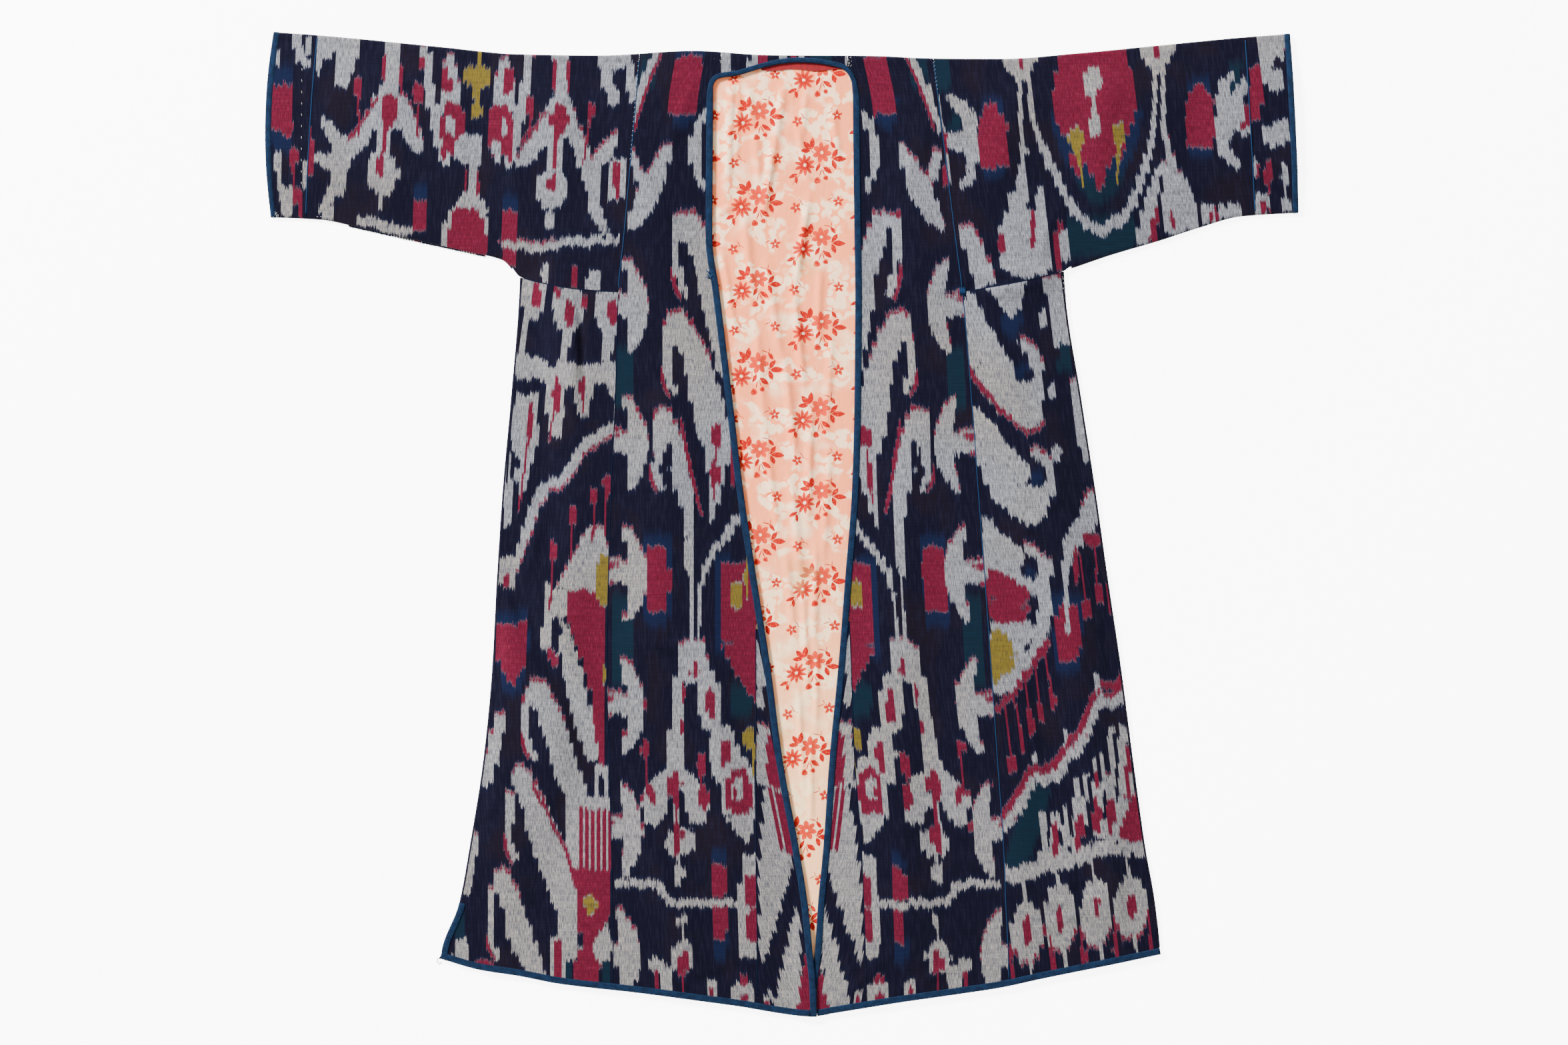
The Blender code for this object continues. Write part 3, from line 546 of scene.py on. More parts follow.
def paint(rows, bundle_centres, column_centres, lean, turned=None):
    """Dyed places of each bundle along the warp, as label and haze rasters.

    A stroke as thin as a stem was tied on single columns. turned gives, for a height, the sum of
    two mirrored places; the strokes are then turned over."""
    y = np.broadcast_to(WARP_PLACES, (len(bundle_centres), len(WARP_PLACES)))
    tied = []
    for centres in (bundle_centres, column_centres):
        x = centres[:, None] + lean(centres[:, None], y)
        tied.append(x if turned is None else turned(y) - x)
    label = np.zeros(x.shape, int)
    haze = {dye: np.zeros(x.shape, bool) for dye in HAZES}
    placed = [stroke for row in rows for k in range(row["times"])
              for stroke in shifted([row], k * row["dx"], k * row["dy"])]
    for row in placed:
        widest = max(row["w0"], row["wm"], row["w1"])
        reach = widest + 2 * abs(row["bow"]) + abs(row["rim"]) + 4
        low, high = min(row["y0"], row["y1"]) - reach, max(row["y0"], row["y1"]) + reach
        x = tied[widest <= THIN]
        span = slice(*np.clip([int(low) - WARP_LOW, int(high) - WARP_LOW + 1], 0, x.shape[1]))
        x_low = (min(row["x0"], row["x1"]) - reach) * MM
        x_high = (max(row["x0"], row["x1"]) + reach) * MM
        bundles = ((x[:, span] > x_low) & (x[:, span] < x_high)).any(1)
        if not bundles.any():
            continue
        hit = np.ix_(bundles, np.arange(x.shape[1])[span])
        cover = stroke_cover(row, x[hit], y[hit])
        if row["dye"] in haze:
            haze[row["dye"]][hit] |= cover
            continue
        if row["rim"]:
            fringe = stroke_cover(row, x[hit], y[hit] - 0.8 * row["rim"] * MM, grow=0.3 * MM)
            label[hit] = np.where(fringe & (label[hit] == DYES["n"]), DYES["r"], label[hit])
        label[hit] = np.where(cover, DYES[row["dye"]], label[hit])
    return label, haze


print("warp places", len(WARP_PLACES))

# %% Distances along the warp


def along_warp(inside):
    """Signed distance along the warp to the edge of a dyed place, positive inside it."""
    places = np.arange(inside.shape[1])
    far = 10 ** 6

    def nearest(mask):
        before = np.maximum.accumulate(np.where(mask, places, -far), axis=1)
        after = np.minimum.accumulate(np.where(mask, places, far)[:, ::-1], axis=1)[:, ::-1]
        return np.minimum(places - before, after - places) - 0.5

    signed = np.where(inside, nearest(~inside), -nearest(inside)) * MM
    return np.clip(signed, -FEATHER_REACH, FEATHER_REACH)


DYE_CHANNELS = ("undyed", "crimson", "mustard", "blue_haze", "teal_haze")


def dye_columns(rows, lines, lean, seed, turned=None):
    """Function from grid rows' y to the dye distances of each column."""
    centres, slips = tie_bundles(lines, np.random.default_rng(seed))
    label, haze = paint(rows, centres, (lines[:-1] + lines[1:]) / 2, lean, turned)
    masks = (label > 0, label == DYES["r"], label == DYES["g"], haze["b"], haze["t"])
    rasters = np.array([along_warp(mask) for mask in masks])
    columns = np.arange(len(centres))

    def read(y):
        place = np.clip((y + slips) / MM - WARP_LOW, 0, len(WARP_PLACES) - 1.001)
        k = place.astype(int)
        return mix(rasters[:, columns, k], rasters[:, columns, k + 1], place - k)

    return read


print(len(DYE_CHANNELS), "dye channels")

# %% [markdown]
# ## From grids to closed shells
# Each grid gives an outer and an inner point for every crossing. Points that fall together at an
# edge are welded, squares that have no width are dropped, and the open edges are walled, so the
# cloth is one closed shell. The dyes are stored on face corners: each column keeps its own values,
# so neighbouring bundles stay sharp against each other while the form stays smooth.

# %% Grids of a shell
UV_INNER = 0.07
UV_WALL = (0.074, 0.078)
UV_OUTER = 0.085
WELD = 0.02 * MM
SHARP_EDGE = math.radians(50)


def grid_patch(outer, inner, dyes, warp, uv, keep=None):
    """One grid of a shell. dyes has a value for each row and column strip, uv for each point."""
    shape = (outer.shape[0] - 1, outer.shape[1] - 1)
    return {"outer": outer, "inner": inner, "dyes": dyes, "warp": warp, "uv": uv,
            "keep": np.ones(shape, bool) if keep is None else keep}


def undyed(points):
    """Dye distances of a grid that has no motifs."""
    return np.full((len(DYE_CHANNELS), points.shape[0], points.shape[1] - 1), -FEATHER_REACH)


def store(mesh, channel, numbers, domain="POINT"):
    """Numbers that a material can read by the channel's name."""
    numbers = np.asarray(numbers, np.float32).ravel()
    mesh.attributes.new(channel, "FLOAT", domain).data.foreach_set("value", numbers)


print("a weld joins points within", WELD / MM, "mm")

# %% Shell builder


def shell(name, patches, materials):
    """Closed thin shell of welded grids, with dyes on its face corners."""
    outer = np.concatenate([p["outer"].reshape(-1, 3) for p in patches])
    inner = np.concatenate([p["inner"].reshape(-1, 3) for p in patches])
    keys = np.round(outer / WELD).astype(np.int64)
    _, first, index = np.unique(keys, axis=0, return_index=True, return_inverse=True)
    index = index.ravel()
    count = len(first)
    corners, values, warps, uvs = [], [], [], []
    offset = 0
    for p in patches:
        rows, columns = p["outer"].shape[:2]
        ids = index[offset:offset + rows * columns].reshape(rows, columns)
        offset += rows * columns
        i, j = np.nonzero(p["keep"])
        around = ((i, j), (i, j + 1), (i + 1, j + 1), (i + 1, j))
        corners.append(np.stack([ids[a] for a in around], 1))
        uvs.append(np.stack([p["uv"][a] for a in around], 1))
        warps.append(np.stack([p["warp"][a] for a in around], 1))
        values.append(np.stack([p["dyes"][:, a[0], j].T for a in around], 1))
    corners, uvs = np.concatenate(corners), np.concatenate(uvs)
    warps, values = np.concatenate(warps), np.concatenate(values)
    same = corners == np.roll(corners, -1, axis=1)
    opposite = (corners[:, 0] == corners[:, 2]) | (corners[:, 1] == corners[:, 3])
    kept = (same.sum(1) <= 1) & ~opposite
    corners, uvs, warps, values, same = (a[kept] for a in (corners, uvs, warps, values, same))
    use = ~same
    totals = use.sum(1)
    loops = corners[use]
    loop_uv, loop_warp, loop_dyes = uvs[use], warps[use], values[use]
    starts = np.concatenate([[0], np.cumsum(totals)[:-1]])

    following = np.arange(len(loops)) + 1
    following[starts + totals - 1] = starts
    ends = loops[following]
    pair = np.minimum(loops, ends).astype(np.int64) * count + np.maximum(loops, ends)
    _, inverse, uses = np.unique(pair, return_inverse=True, return_counts=True)
    rim = np.nonzero(uses[inverse.ravel()] == 1)[0]
    wall = np.stack([ends[rim], loops[rim], loops[rim] + count, ends[rim] + count], 1).ravel()
    wall_u = (np.arange(len(rim)) / len(rim))[:, None] + np.array([0.9, 0.1, 0.1, 0.9]) / len(rim)
    wall_v = np.broadcast_to([UV_WALL[1], UV_WALL[1], UV_WALL[0], UV_WALL[0]], wall_u.shape)

    backwards = np.concatenate([np.arange(s + t - 1, s - 1, -1) for s, t in zip(starts, totals)])
    outer_uv = np.stack([loop_uv[:, 0], mix(UV_OUTER, 1.0, loop_uv[:, 1])], 1)
    inner_uv = np.stack([loop_uv[:, 0], UV_INNER * loop_uv[:, 1]], 1)[backwards]
    wall_uv = np.stack([wall_u.ravel(), wall_v.ravel()], 1)
    all_loops = np.concatenate([loops, loops[backwards] + count, wall])
    all_uv = np.concatenate([outer_uv, inner_uv, wall_uv])
    all_totals = np.concatenate([totals, totals, np.full(len(rim), 4)])
    all_starts = np.concatenate([[0], np.cumsum(all_totals)[:-1]])
    wall_loops = np.stack([following[rim], rim, rim, following[rim]], 1).ravel()
    source = np.concatenate([np.arange(len(loops)), backwards, wall_loops])
    slots = np.repeat([0, 1, 0], [len(totals), len(totals), len(rim)])

    mesh = bpy.data.meshes.new(name)
    places = np.concatenate([outer[first], inner[first]])
    mesh.vertices.add(len(places))
    mesh.vertices.foreach_set("co", places.astype(np.float32).ravel())
    mesh.loops.add(len(all_loops))
    mesh.loops.foreach_set("vertex_index", all_loops.astype(np.int32))
    mesh.polygons.add(len(all_totals))
    for key, numbers in (("loop_start", all_starts), ("loop_total", all_totals),
                         ("material_index", slots)):
        mesh.polygons.foreach_set(key, numbers.astype(np.int32))
    mesh.update(calc_edges=True)
    mesh.uv_layers.new(name="OFBake")
    mesh.uv_layers["OFBake"].data.foreach_set("uv", all_uv.astype(np.float32).ravel())
    channels = dict(zip(DYE_CHANNELS, (loop_dyes[source] / MM).T))
    channels["warp_place"] = loop_warp[source] / MM
    for channel, numbers in channels.items():
        store(mesh, channel, numbers, "CORNER")
    for made in materials:
        mesh.materials.append(made)
    bm = bmesh.new()
    bm.from_mesh(mesh)
    open_edges = sum(1 for edge in bm.edges if len(edge.link_faces) != 2)
    bmesh.ops.recalc_face_normals(bm, faces=bm.faces)
    bm.to_mesh(mesh)
    bm.free()
    mesh.shade_smooth()
    mesh.set_sharp_from_angle(angle=SHARP_EDGE)
    piece = add_object(name, mesh)
    triangles = int((all_totals - 2).sum())
    print(name, triangles, "triangles,", open_edges, "edges that don't have two faces")
    return piece


# %% [markdown]
# ## Layers and turns
# The lower layer is flat on the floor. The upper one lies on the height field above, and a folded
# edge is a half circle between the two.

# %% Points of a layer
TURN_STEPS = 6


def upper_points(x, y, height=upper):
    z = height(x, y)
    return np.stack([x, y, z + WALL], -1), np.stack([x, y, z], -1)


def lower_points(x, y):
    return np.stack([x, y, 0 * x], -1), np.stack([x, y, 0 * x + WALL], -1)


def turn_points(x, y, outward, proud=0.0, wall=WALL):
    """Rows of points round a folded edge whose outermost line is x, y, upper side first."""
    radius = FOLD_RADIUS + proud / 2
    rows = []
    for step in range(1, TURN_STEPS):
        angle = math.pi / 2 - math.pi * step / TURN_STEPS
        pair = []
        for reach in (radius, radius - wall):
            out = reach * math.cos(angle) - FOLD_RADIUS
            pair.append(np.stack([x + outward[0] * out, y + outward[1] * out,
                                  0 * x + radius + reach * math.sin(angle)], -1))
        rows.append(pair)
    return [row[0] for row in rows], [row[1] for row in rows]


def stack_rows(parts, axis=0):
    """The outer and the inner points of several parts, one after the other."""
    return tuple(np.concatenate([np.asarray(part[k]) for part in parts], axis) for k in (0, 1))


def spread(values, low, high):
    """Numbers scaled so that they run from low to high."""
    values = np.asarray(values, float)
    return low + (high - low) * (values - values.min()) / max(1e-9, values.max() - values.min())


print("fold radius", round(FOLD_RADIUS / MM, 2), "mm")

# %% [markdown]
# ## Thread shading
# Every cloth here is plain-woven cotton, so one node group serves them all. It turns a place on
# the cloth into thread-sized noise: long and thin along the warp, short and wide along the weft.
# A picture of cloth could do this too, but noise has no edges and no repeat.

# %% Node helpers


def feed(tree, socket, value):
    """Links a socket's output to another socket, or stores a plain value in it."""
    if isinstance(value, bpy.types.NodeSocket):
        tree.links.new(value, socket)
    else:
        socket.default_value = value


def add_node(tree, kind, settings=None, **links):
    """A node with settings, whose inputs are given by name (spaces as _) as values or sockets."""
    made = tree.nodes.new(kind)
    for key, value in (settings or {}).items():
        setattr(made, key, value)
    for key, value in links.items():
        place = int(key[1:]) if key[0] == "i" and key[1:].isdigit() else key.replace("_", " ")
        feed(tree, made.inputs[place], value)
    return made


def tree_of(*values):
    """The node tree of the first socket among some values."""
    return next(value.id_data for value in values if isinstance(value, bpy.types.NodeSocket))


def calculate(operation, *values):
    made = add_node(tree_of(*values), "ShaderNodeMath", {"operation": operation},
                    **{f"i{k}": value for k, value in enumerate(values)})
    return made.outputs[0]


def plus(first, second):
    return calculate("ADD", first, second)


def minus(first, second):
    return calculate("SUBTRACT", first, second)


def times(first, second):
    return calculate("MULTIPLY", first, second)


def highest(first, *others):
    for other in others:
        first = calculate("MAXIMUM", first, other)
    return first


def soften(value, low, high):
    """0 below low, 1 above high, eased between them."""
    made = add_node(tree_of(value), "ShaderNodeMapRange", {"interpolation_type": "SMOOTHSTEP"},
                    Value=value, From_Min=low, From_Max=high)
    return made.outputs["Result"]


def blend_colours(factor, first, second):
    tree = tree_of(factor)
    made = add_node(tree, "ShaderNodeMix", {"data_type": "RGBA", "clamp_factor": True},
                    Factor=factor)
    for name, value in (("A", first), ("B", second)):
        socket = [s for s in made.inputs if s.name == name and s.type == "RGBA"][0]
        feed(tree, socket, (*value, 1.0) if isinstance(value, tuple) else value)
    return [s for s in made.outputs if s.type == "RGBA"][0]


def tint(base, colour, share, value, low, high):
    """The base with a share of a colour, which grows as the value goes from low to high."""
    return blend_colours(times(soften(value, low, high), share), base, colour)


print("value helpers ready")

# %% Groups and materials
COTTON_GLOSS = 0.05
SHEEN_ROUGHNESS = 0.6


def group_inputs(tree, defaults):
    for name, default in defaults.items():
        socket = tree.interface.new_socket(name, in_out="INPUT", socket_type="NodeSocketFloat")
        socket.default_value = default
    return tree.nodes.new("NodeGroupInput").outputs


def group_outputs(tree, values):
    end = tree.nodes.new("NodeGroupOutput")
    for name, value in values.items():
        tree.interface.new_socket(name, in_out="OUTPUT", socket_type="NodeSocketFloat")
        tree.links.new(value, end.inputs[name])


def place_group(tree, group, **links):
    return add_node(tree, "ShaderNodeGroup", {"node_tree": group}, **links).outputs


def new_material(name, roughness, sheen=0.0):
    made = bpy.data.materials.new(name)
    made.use_nodes = True
    shader = made.node_tree.nodes["Principled BSDF"]
    shader.inputs["Roughness"].default_value = roughness
    shader.inputs["Specular IOR Level"].default_value = COTTON_GLOSS
    shader.inputs["Sheen Weight"].default_value = sheen
    shader.inputs["Sheen Roughness"].default_value = SHEEN_ROUGHNESS
    return made, made.node_tree, shader.inputs


def add_bump(inputs, height, strength, reach):
    """The shader's normal, from a height in units of the reach."""
    tree = tree_of(height)
    bump = add_node(tree, "ShaderNodeBump", Height=height, Strength=strength, Distance=reach * MM)
    tree.links.new(bump.outputs["Normal"], inputs["Normal"])


print("group and material helpers ready")

# %% Group: threads
PER_MM = 1 / MM


def noise(x, y, size, seed, detail=0.0):
    """Soft noise whose spots have about this size, in millimetres."""
    tree = tree_of(x, y)
    place = add_node(tree, "ShaderNodeCombineXYZ", X=x, Y=y, Z=seed * size)
    made = add_node(tree, "ShaderNodeTexNoise", Vector=place.outputs[0], Scale=1 / size,
                    Detail=detail)
    return made.outputs["Fac"]


def make_thread_group():
    """Noise along and across the threads; Warp and Along are places on the cloth."""
    tree = bpy.data.node_groups.new("cloth_threads", "ShaderNodeTree")
    start = group_inputs(tree, {"Warp": 0.0, "Along": 0.0})

    def stretched(across_warp, along_warp, seed, detail=0.0):
        x = times(start["Warp"], 1 / across_warp)
        y = times(start["Along"], 1 / along_warp)
        return noise(x, y, 1.0, seed, detail)

    group_outputs(tree, {
        "Thread": stretched(0.55, 9.0, 3.1),
        "Strand": stretched(1.7, 19.0, 7.7),
        "Weft": stretched(3.6, 0.6, 12.3),
        "Slub": stretched(26.0, 1.9, 17.9),
        "Dash": stretched(6.0, 0.55, 41.9, detail=1.0),
        "Speck": stretched(0.55, 0.5, 23.5),
        "Tone": stretched(60.0, 90.0, 31.1, detail=2.0),
    })
    return tree


thread_group = make_thread_group()
thread_kinds = [s.name for s in thread_group.interface.items_tree if s.in_out == "OUTPUT"]
print("thread outputs:", thread_kinds)

# %% [markdown]
# ## Ikat cotton
# The dye distances meet the thread noise here. Adding noise to a distance before it is cut off
# moves each thread's colour along the warp, so that the ends of every motif are feathered while
# its sides stay on the threads. Indigo that crept past its tie shows as a blue haze.

# %% Ikat material
INK = (0.0018, 0.0016, 0.0078)
INK_WORN = (0.0060, 0.0052, 0.0150)
PLUM = (0.0044, 0.0024, 0.0068)
UNDYED_LIGHT = (0.225, 0.228, 0.250)
UNDYED_DARK = (0.080, 0.082, 0.095)
UNDYED_AGED = (0.255, 0.222, 0.185)
CRIMSON = (0.070, 0.0028, 0.0120)
CRIMSON_WORN = (0.110, 0.0075, 0.0230)
MUSTARD = (0.108, 0.078, 0.0120)
HAZE_BLUE = (0.0030, 0.0066, 0.026)
HAZE_TEAL = (0.0016, 0.0095, 0.018)
DYE_EDGE = 1.4
HAZE_EDGE = 10.0


def attribute(tree, name):
    return add_node(tree, "ShaderNodeAttribute", {"attribute_name": name}).outputs["Fac"]


def flat_place(tree):
    """x and y on the flat cloth, in millimetres."""
    geometry = add_node(tree, "ShaderNodeNewGeometry")
    parts = add_node(tree, "ShaderNodeSeparateXYZ", Vector=geometry.outputs["Position"])
    return tuple(times(parts.outputs[axis], PER_MM) for axis in ("X", "Y"))


def woven_threads(tree):
    """The threads of a cloth whose warp places are stored on it."""
    return place_group(tree, thread_group, Warp=attribute(tree, "warp_place"),
                       Along=flat_place(tree)[1])


def shade_colour(inputs, colour, darkest, speck, reach):
    """Sends a colour to the shader, darkened a little by one kind of thread noise."""
    tree = tree_of(colour)
    shade = plus(darkest, times(speck, reach))
    shaded = add_node(tree, "ShaderNodeVectorMath", {"operation": "SCALE"}, i0=colour, Scale=shade)
    tree.links.new(shaded.outputs[0], inputs["Base Color"])


def make_ikat():
    made, tree, inputs = new_material("ikat_cotton", 0.86, sheen=0.01)
    threads = woven_threads(tree)
    thread, strand, weft, slub, speck, tone, dash = (threads[name] for name in (
        "Thread", "Strand", "Weft", "Slub", "Speck", "Tone", "Dash"))

    def off_centre(value, reach):
        return times(minus(value, 0.5), reach)

    feather = plus(off_centre(thread, 11.0), off_centre(strand, 8.0))

    def feathered(name, shift=0.0):
        return plus(plus(attribute(tree, name), feather), shift)

    def dyed(base, colour, name):
        edge = soften(feathered(name), -DYE_EDGE, DYE_EDGE)
        return blend_colours(edge, base, colour)

    ground = blend_colours(soften(tone, 0.50, 0.66), INK, PLUM)
    ground = tint(ground, INK_WORN, 0.55, strand, 0.45, 0.75)
    ground = tint(ground, HAZE_TEAL, 0.85, feathered("teal_haze"), -HAZE_EDGE, HAZE_EDGE)
    ground = tint(ground, HAZE_BLUE, 0.8, feathered("blue_haze"), -HAZE_EDGE, HAZE_EDGE)
    ground = tint(ground, UNDYED_LIGHT, 0.35, dash, 0.80, 0.90)
    ground = tint(ground, HAZE_BLUE, 0.42, feathered("undyed", shift=4.0), -4.5, 4.5)

    x, y = flat_place(tree)
    slow = soften(noise(x, y, 240.0, 3.1, detail=1.0), 0.42, 0.66)
    low = soften(y, 0.0, -620.0)
    aged = times(highest(slow, low), 0.75)
    fresh = blend_colours(aged, UNDYED_LIGHT, UNDYED_AGED)
    light = blend_colours(soften(thread, 0.34, 0.60), UNDYED_DARK, fresh)
    light = tint(light, UNDYED_DARK, 0.35, strand, 0.47, 0.30)
    light = tint(light, UNDYED_DARK, 0.45, weft, 0.50, 0.36)
    light = tint(light, INK_WORN, 0.42, speck, 0.42, 0.30)
    red = blend_colours(soften(thread, 0.42, 0.72), CRIMSON, CRIMSON_WORN)
    red = tint(red, INK_WORN, 0.35, weft, 0.45, 0.30)
    gold = tint(MUSTARD, INK_WORN, 0.5, thread, 0.50, 0.30)

    colour = dyed(ground, light, "undyed")
    colour = dyed(colour, red, "crimson")
    colour = dyed(colour, gold, "mustard")
    shade_colour(inputs, colour, 0.70, slub, 0.38)
    height = plus(times(thread, 0.6), plus(weft, slub))
    add_bump(inputs, height, 0.35, 0.35)
    return made


ikat_cotton = make_ikat()
print("ikat material has", len(ikat_cotton.node_tree.nodes), "nodes")

# %% Cotton behind the ikat
BACKING_DARK, BACKING_LIGHT = (0.42, 0.36, 0.30), (0.62, 0.54, 0.45)


def make_backing():
    """Plain cotton inside the sleeves and between the layers."""
    made, tree, inputs = new_material("backing_cotton", 0.9)
    colour = blend_colours(woven_threads(tree)["Strand"], BACKING_DARK, BACKING_LIGHT)
    tree.links.new(colour, inputs["Base Color"])
    return made


backing_cotton = make_backing()
print(backing_cotton.name)

# %% [markdown]
# ## The body
# One loom width runs up the back, over both shoulders and down the two fronts.
# The two fronts are dyed as mirror images, because the cloth's pattern turns over about its
# middle warp. The table below gives the left half, and the right half is turned over from it.

# %% Motifs of the body
HOOK = strokes(
    ("w", -19, 57, -16, -61, -16, 6, 24, 7, 4), ("w", 0, -3, -46, 3, 0, 24, 26, 34, 4),
    ("r", -46, 10, -27, 8, 0, 10, 9, 4), ("r", -46, -12, -34, -12, 0, 8, 6, 3),
)
FRONT = strokes(
    ("t", -175, 602, 563, 20, 20, 20), ("w", -163, 608, -198, 505, 3, 8, 10, 7),
    ("r", -157, 606, -191, 508, 3, 3, 4, 3), ("w", -146, 487, -168, 430, 2, 10, 20, 26, 5),
    ("w", -168, 442, -198, 380, -3, 30, 26, 8, 5), ("w", -196, 478, -185, 445, 0, 10, 12, 14, 5),
    ("n", -190, 436, -206, 385, 0, 6, 10, 6), ("r", -203, 462, 438, 6, 8, 6),
    ("b", -119, 614, 598, 36, 36, 36), ("b", -129, 548, 510, 34, 30, 12),
    ("r", -119, 603, -130, 528, 0, 30, 36, 34), ("w", -100, 532, -102, 432, 13, 5, 13, 5),
    ("w", -121, 394, -98, 316, -2, 20, 31, 32, 6), ("w", -97, 319, -78, 190, -2, 30, 24, 6, 0),
    ("w", -134, 398, -139, 340, 0, 14, 12, 8, 5), ("r", -142, 332, -132, 290, 3, 4, 6, 4),
    ("w", -137, 345, -124, 292, 3, 7, 9, 6), ("n", -130, 362, -112, 310, 0, 6, 12, 4),
    ("w", -141, 267, -110, 200, -2, 22, 32, 38, 6), ("w", -110, 206, -88, 115, 0, 34, 40, 44),
    ("w", -86, 120, -94, 3, -4, 42, 22, 4), ("r", -86, 130, 100, 5, 12, 5),
    ("r", -88, 80, 50, 5, 12, 5), ("r", -87, 100, -89, 30, 0, 2.5, 2.5, 2),
    ("r", -64, 112, 50, 4, 7, 4), ("w", -146, 264, -151, 205, 0, 12, 11, 9, 5),
    ("w", -150, 206, -138, 170, 3, 8, 10, 8), ("r", -156, 200, -146, 166, 3, 3, 5, 3),
    ("n", -142, 232, -128, 190, 0, 6, 12, 4), ("w", -155, 142, -138, 90, -1, 20, 24, 26, 6),
    ("w", -139, 96, -124, 30, 0, 26, 24, 18), ("w", -124, 36, -120, -20, 0, 18, 14, 8),
    ("r", -131, 132, -104, 10, 2, 3, 5, 3), ("w", -161, 142, 78, 10, 11, 9, 5),
    ("w", -165, 80, -154, 45, 3, 8, 9, 7), ("r", -171, 74, -161, 42, 3, 3, 5, 3),
    ("n", -150, 110, -142, 66, 0, 4, 8, 4), ("w", -120, -18, -66, 9, 12, 8),
    ("w", -118, -62, -157, 4, 4, 4), ("w", -60, 12, -85, -30, -3, 10, 9, 8),
    ("w", -85, -28, -107, -92, 4, 8, 7, 5), ("w", -107, -88, -109, -157, 0, 5, 4, 4),
    ("b", -162, -14, -132, 32, 34, 30), ("r", -162, -30, -112, 28, 32, 28),
    ("b", -76, -40, -170, 20, 24, 14), ("r", -56, -50, -54, -152, 0, 46, 50, 52),
    ("r", -53, -150, -32, -225, 0, 54, 36, 8), ("g", -59, -75, -106, 10, 18, 10),
    ("g", -48, -60, -75, 5, 7, 5), ("g", -47, -40, -92, 3, 3, 3),
    ("t", -54, -205, -247, 32, 32, 20), ("w", -116, -153, -204, 28, 38, 40, 5),
    ("r", -113, -178, -198, 6, 11, 11), ("w", -132, -195, -139, -300, 0, 15, 18, 22),
    ("w", -139, -298, -140, -342, 0, 22, 26, 30), ("r", -128, -205, -230, 2, 4, 2),
    ("r", -130.5, -255, -270, 4, 5, 4), ("w", -99, -190, -91, -266, 0, 20, 31, 20),
    ("r", -94, -211, -92, -252, 0, 5, 11, 6), ("w", -79, -262, -72, -330, 0, 22, 38, 28),
    ("r", -74, -280, -72, -318, 0, 6, 14, 7), ("w", -57, -300, -56, -376, 0, 22, 42, 40),
    ("w", -54, -374, -47, -406, 0, 38, 24, 6), ("r", -57, -314, -56, -372, 0, 16, 34, 24),
    ("w", -57, -326, -59, -354, 0, 8, 16, 10), ("r", -62, -338, -350, 2, 5, 3),
    ("r", -139, -322, -346, 10, 18, 14), ("w", -148, -322, -164, -352, 0, 14, 28, 34),
    ("w", -130, -322, -111, -352, 0, 12, 24, 32), ("w", -164, -350, -168, -386, 0, 34, 30, 18, 6),
    ("w", -111, -350, -109, -386, 0, 32, 28, 18, 6), ("w", -137, -346, -396, 13, 12, 13),
    ("r", -137, -346, -396, 5, 4, 5), ("w", -132, -394, -426, 20, 38, 18),
    ("r", -135.5, -394, -426, 3, 11, 3), ("w", -134, -424, -446, 6, 4, 5),
    ("w", -134, -438, -463, 5, 13, 4), ("w", -216, -464, -155, -466, -3, 7, 9, 8),
    ("w", -158, -469, -146, -484, 0, 9, 9, 9), ("w", -150, -484, -64, -486, 4, 8, 9, 8),
    ("w", -68, -488, -28, -490, 0, 8, 8, 8), ("b", -83, -418, -440, 16, 18, 18),
    ("r", -83, -438, -480, 16, 18, 18), ("r", -81, -493, -535, 18, 18, 15),
    ("b", -81, -533, -562, 18, 18, 12), ("w", -44, -425, -556, 18, 24, 18),
    ("r", -40.5, -452, -490, 13, 15, 13), ("r", -38.5, -495, -535, 13, 15, 12),
    ("w", -130, -504, -516, 6, 10, 5), ("w", -129, -515, -545, 3.5, 3.5, 4),
    ("w", -129, -538, -577, 12, 32, 12), ("r", -128.5, -548, -581, 4, 11, 5),
    ("r", -128, -580, -607, 2.5, 2.5, 2.5), ("w", -163.5, -559, -576, 10, 17, 10),
    ("r", -163, -575, -606, 6, 5, 4), ("w", -149, -570, -604, 18, 18, 14),
    ("w", -92, -589, -611, 10, 15, 10), ("r", -92, -600, -612, 5, 5, 4),
    ("w", -51, -590, -616, 22, 27, 24), ("r", -51, -581, -592, 10, 12, 10),
    ("r", -51, -606, -616, 10, 12, 8), ("g", -44, -261, -286, 6, 15, 8),
    ("g", -38, -284, -323, 4, 4, 2), ("t", -206, 228, 150, 24, 24, 24),
    ("t", -206, -92, -208, 26, 26, 26),
) + clubs(
    (-176, -346, -177, -300, -177.5, -278, 11), (-106, -351, -105, -326, -105, -296, 12),
)
for hook_x, hook_y in ((-184, 282), (-184, 105), (-185, -62), (-188, -232), (-191, -392),
                       (-194, -555)):
    FRONT += shifted(HOOK, hook_x, hook_y)
FRONT += strokes(
    ("r", -139, -318, -358, 8, 17, 5), ("r", -135, -384, -422, 5, 12, 4),
    ("r", -172, -336, -166, -360, 0, 5, 10, 5), ("r", -103, -338, -101, -370, 0, 5, 12, 5),
)
print(len(FRONT), "strokes on a front")

# %% Lean and turn of the fronts
TURN_DRAW = 9 * MM
TURN_DRAW_FROM, TURN_DRAW_REACH = -150 * MM, 350 * MM
MIDDLE = (seam_l(0.3) + seam_r(0.3)) / 2
INNER_EASE_LEFT = (552 * MM, 34 * MM)
INNER_EASE_RIGHT = (555 * MM, 36 * MM)


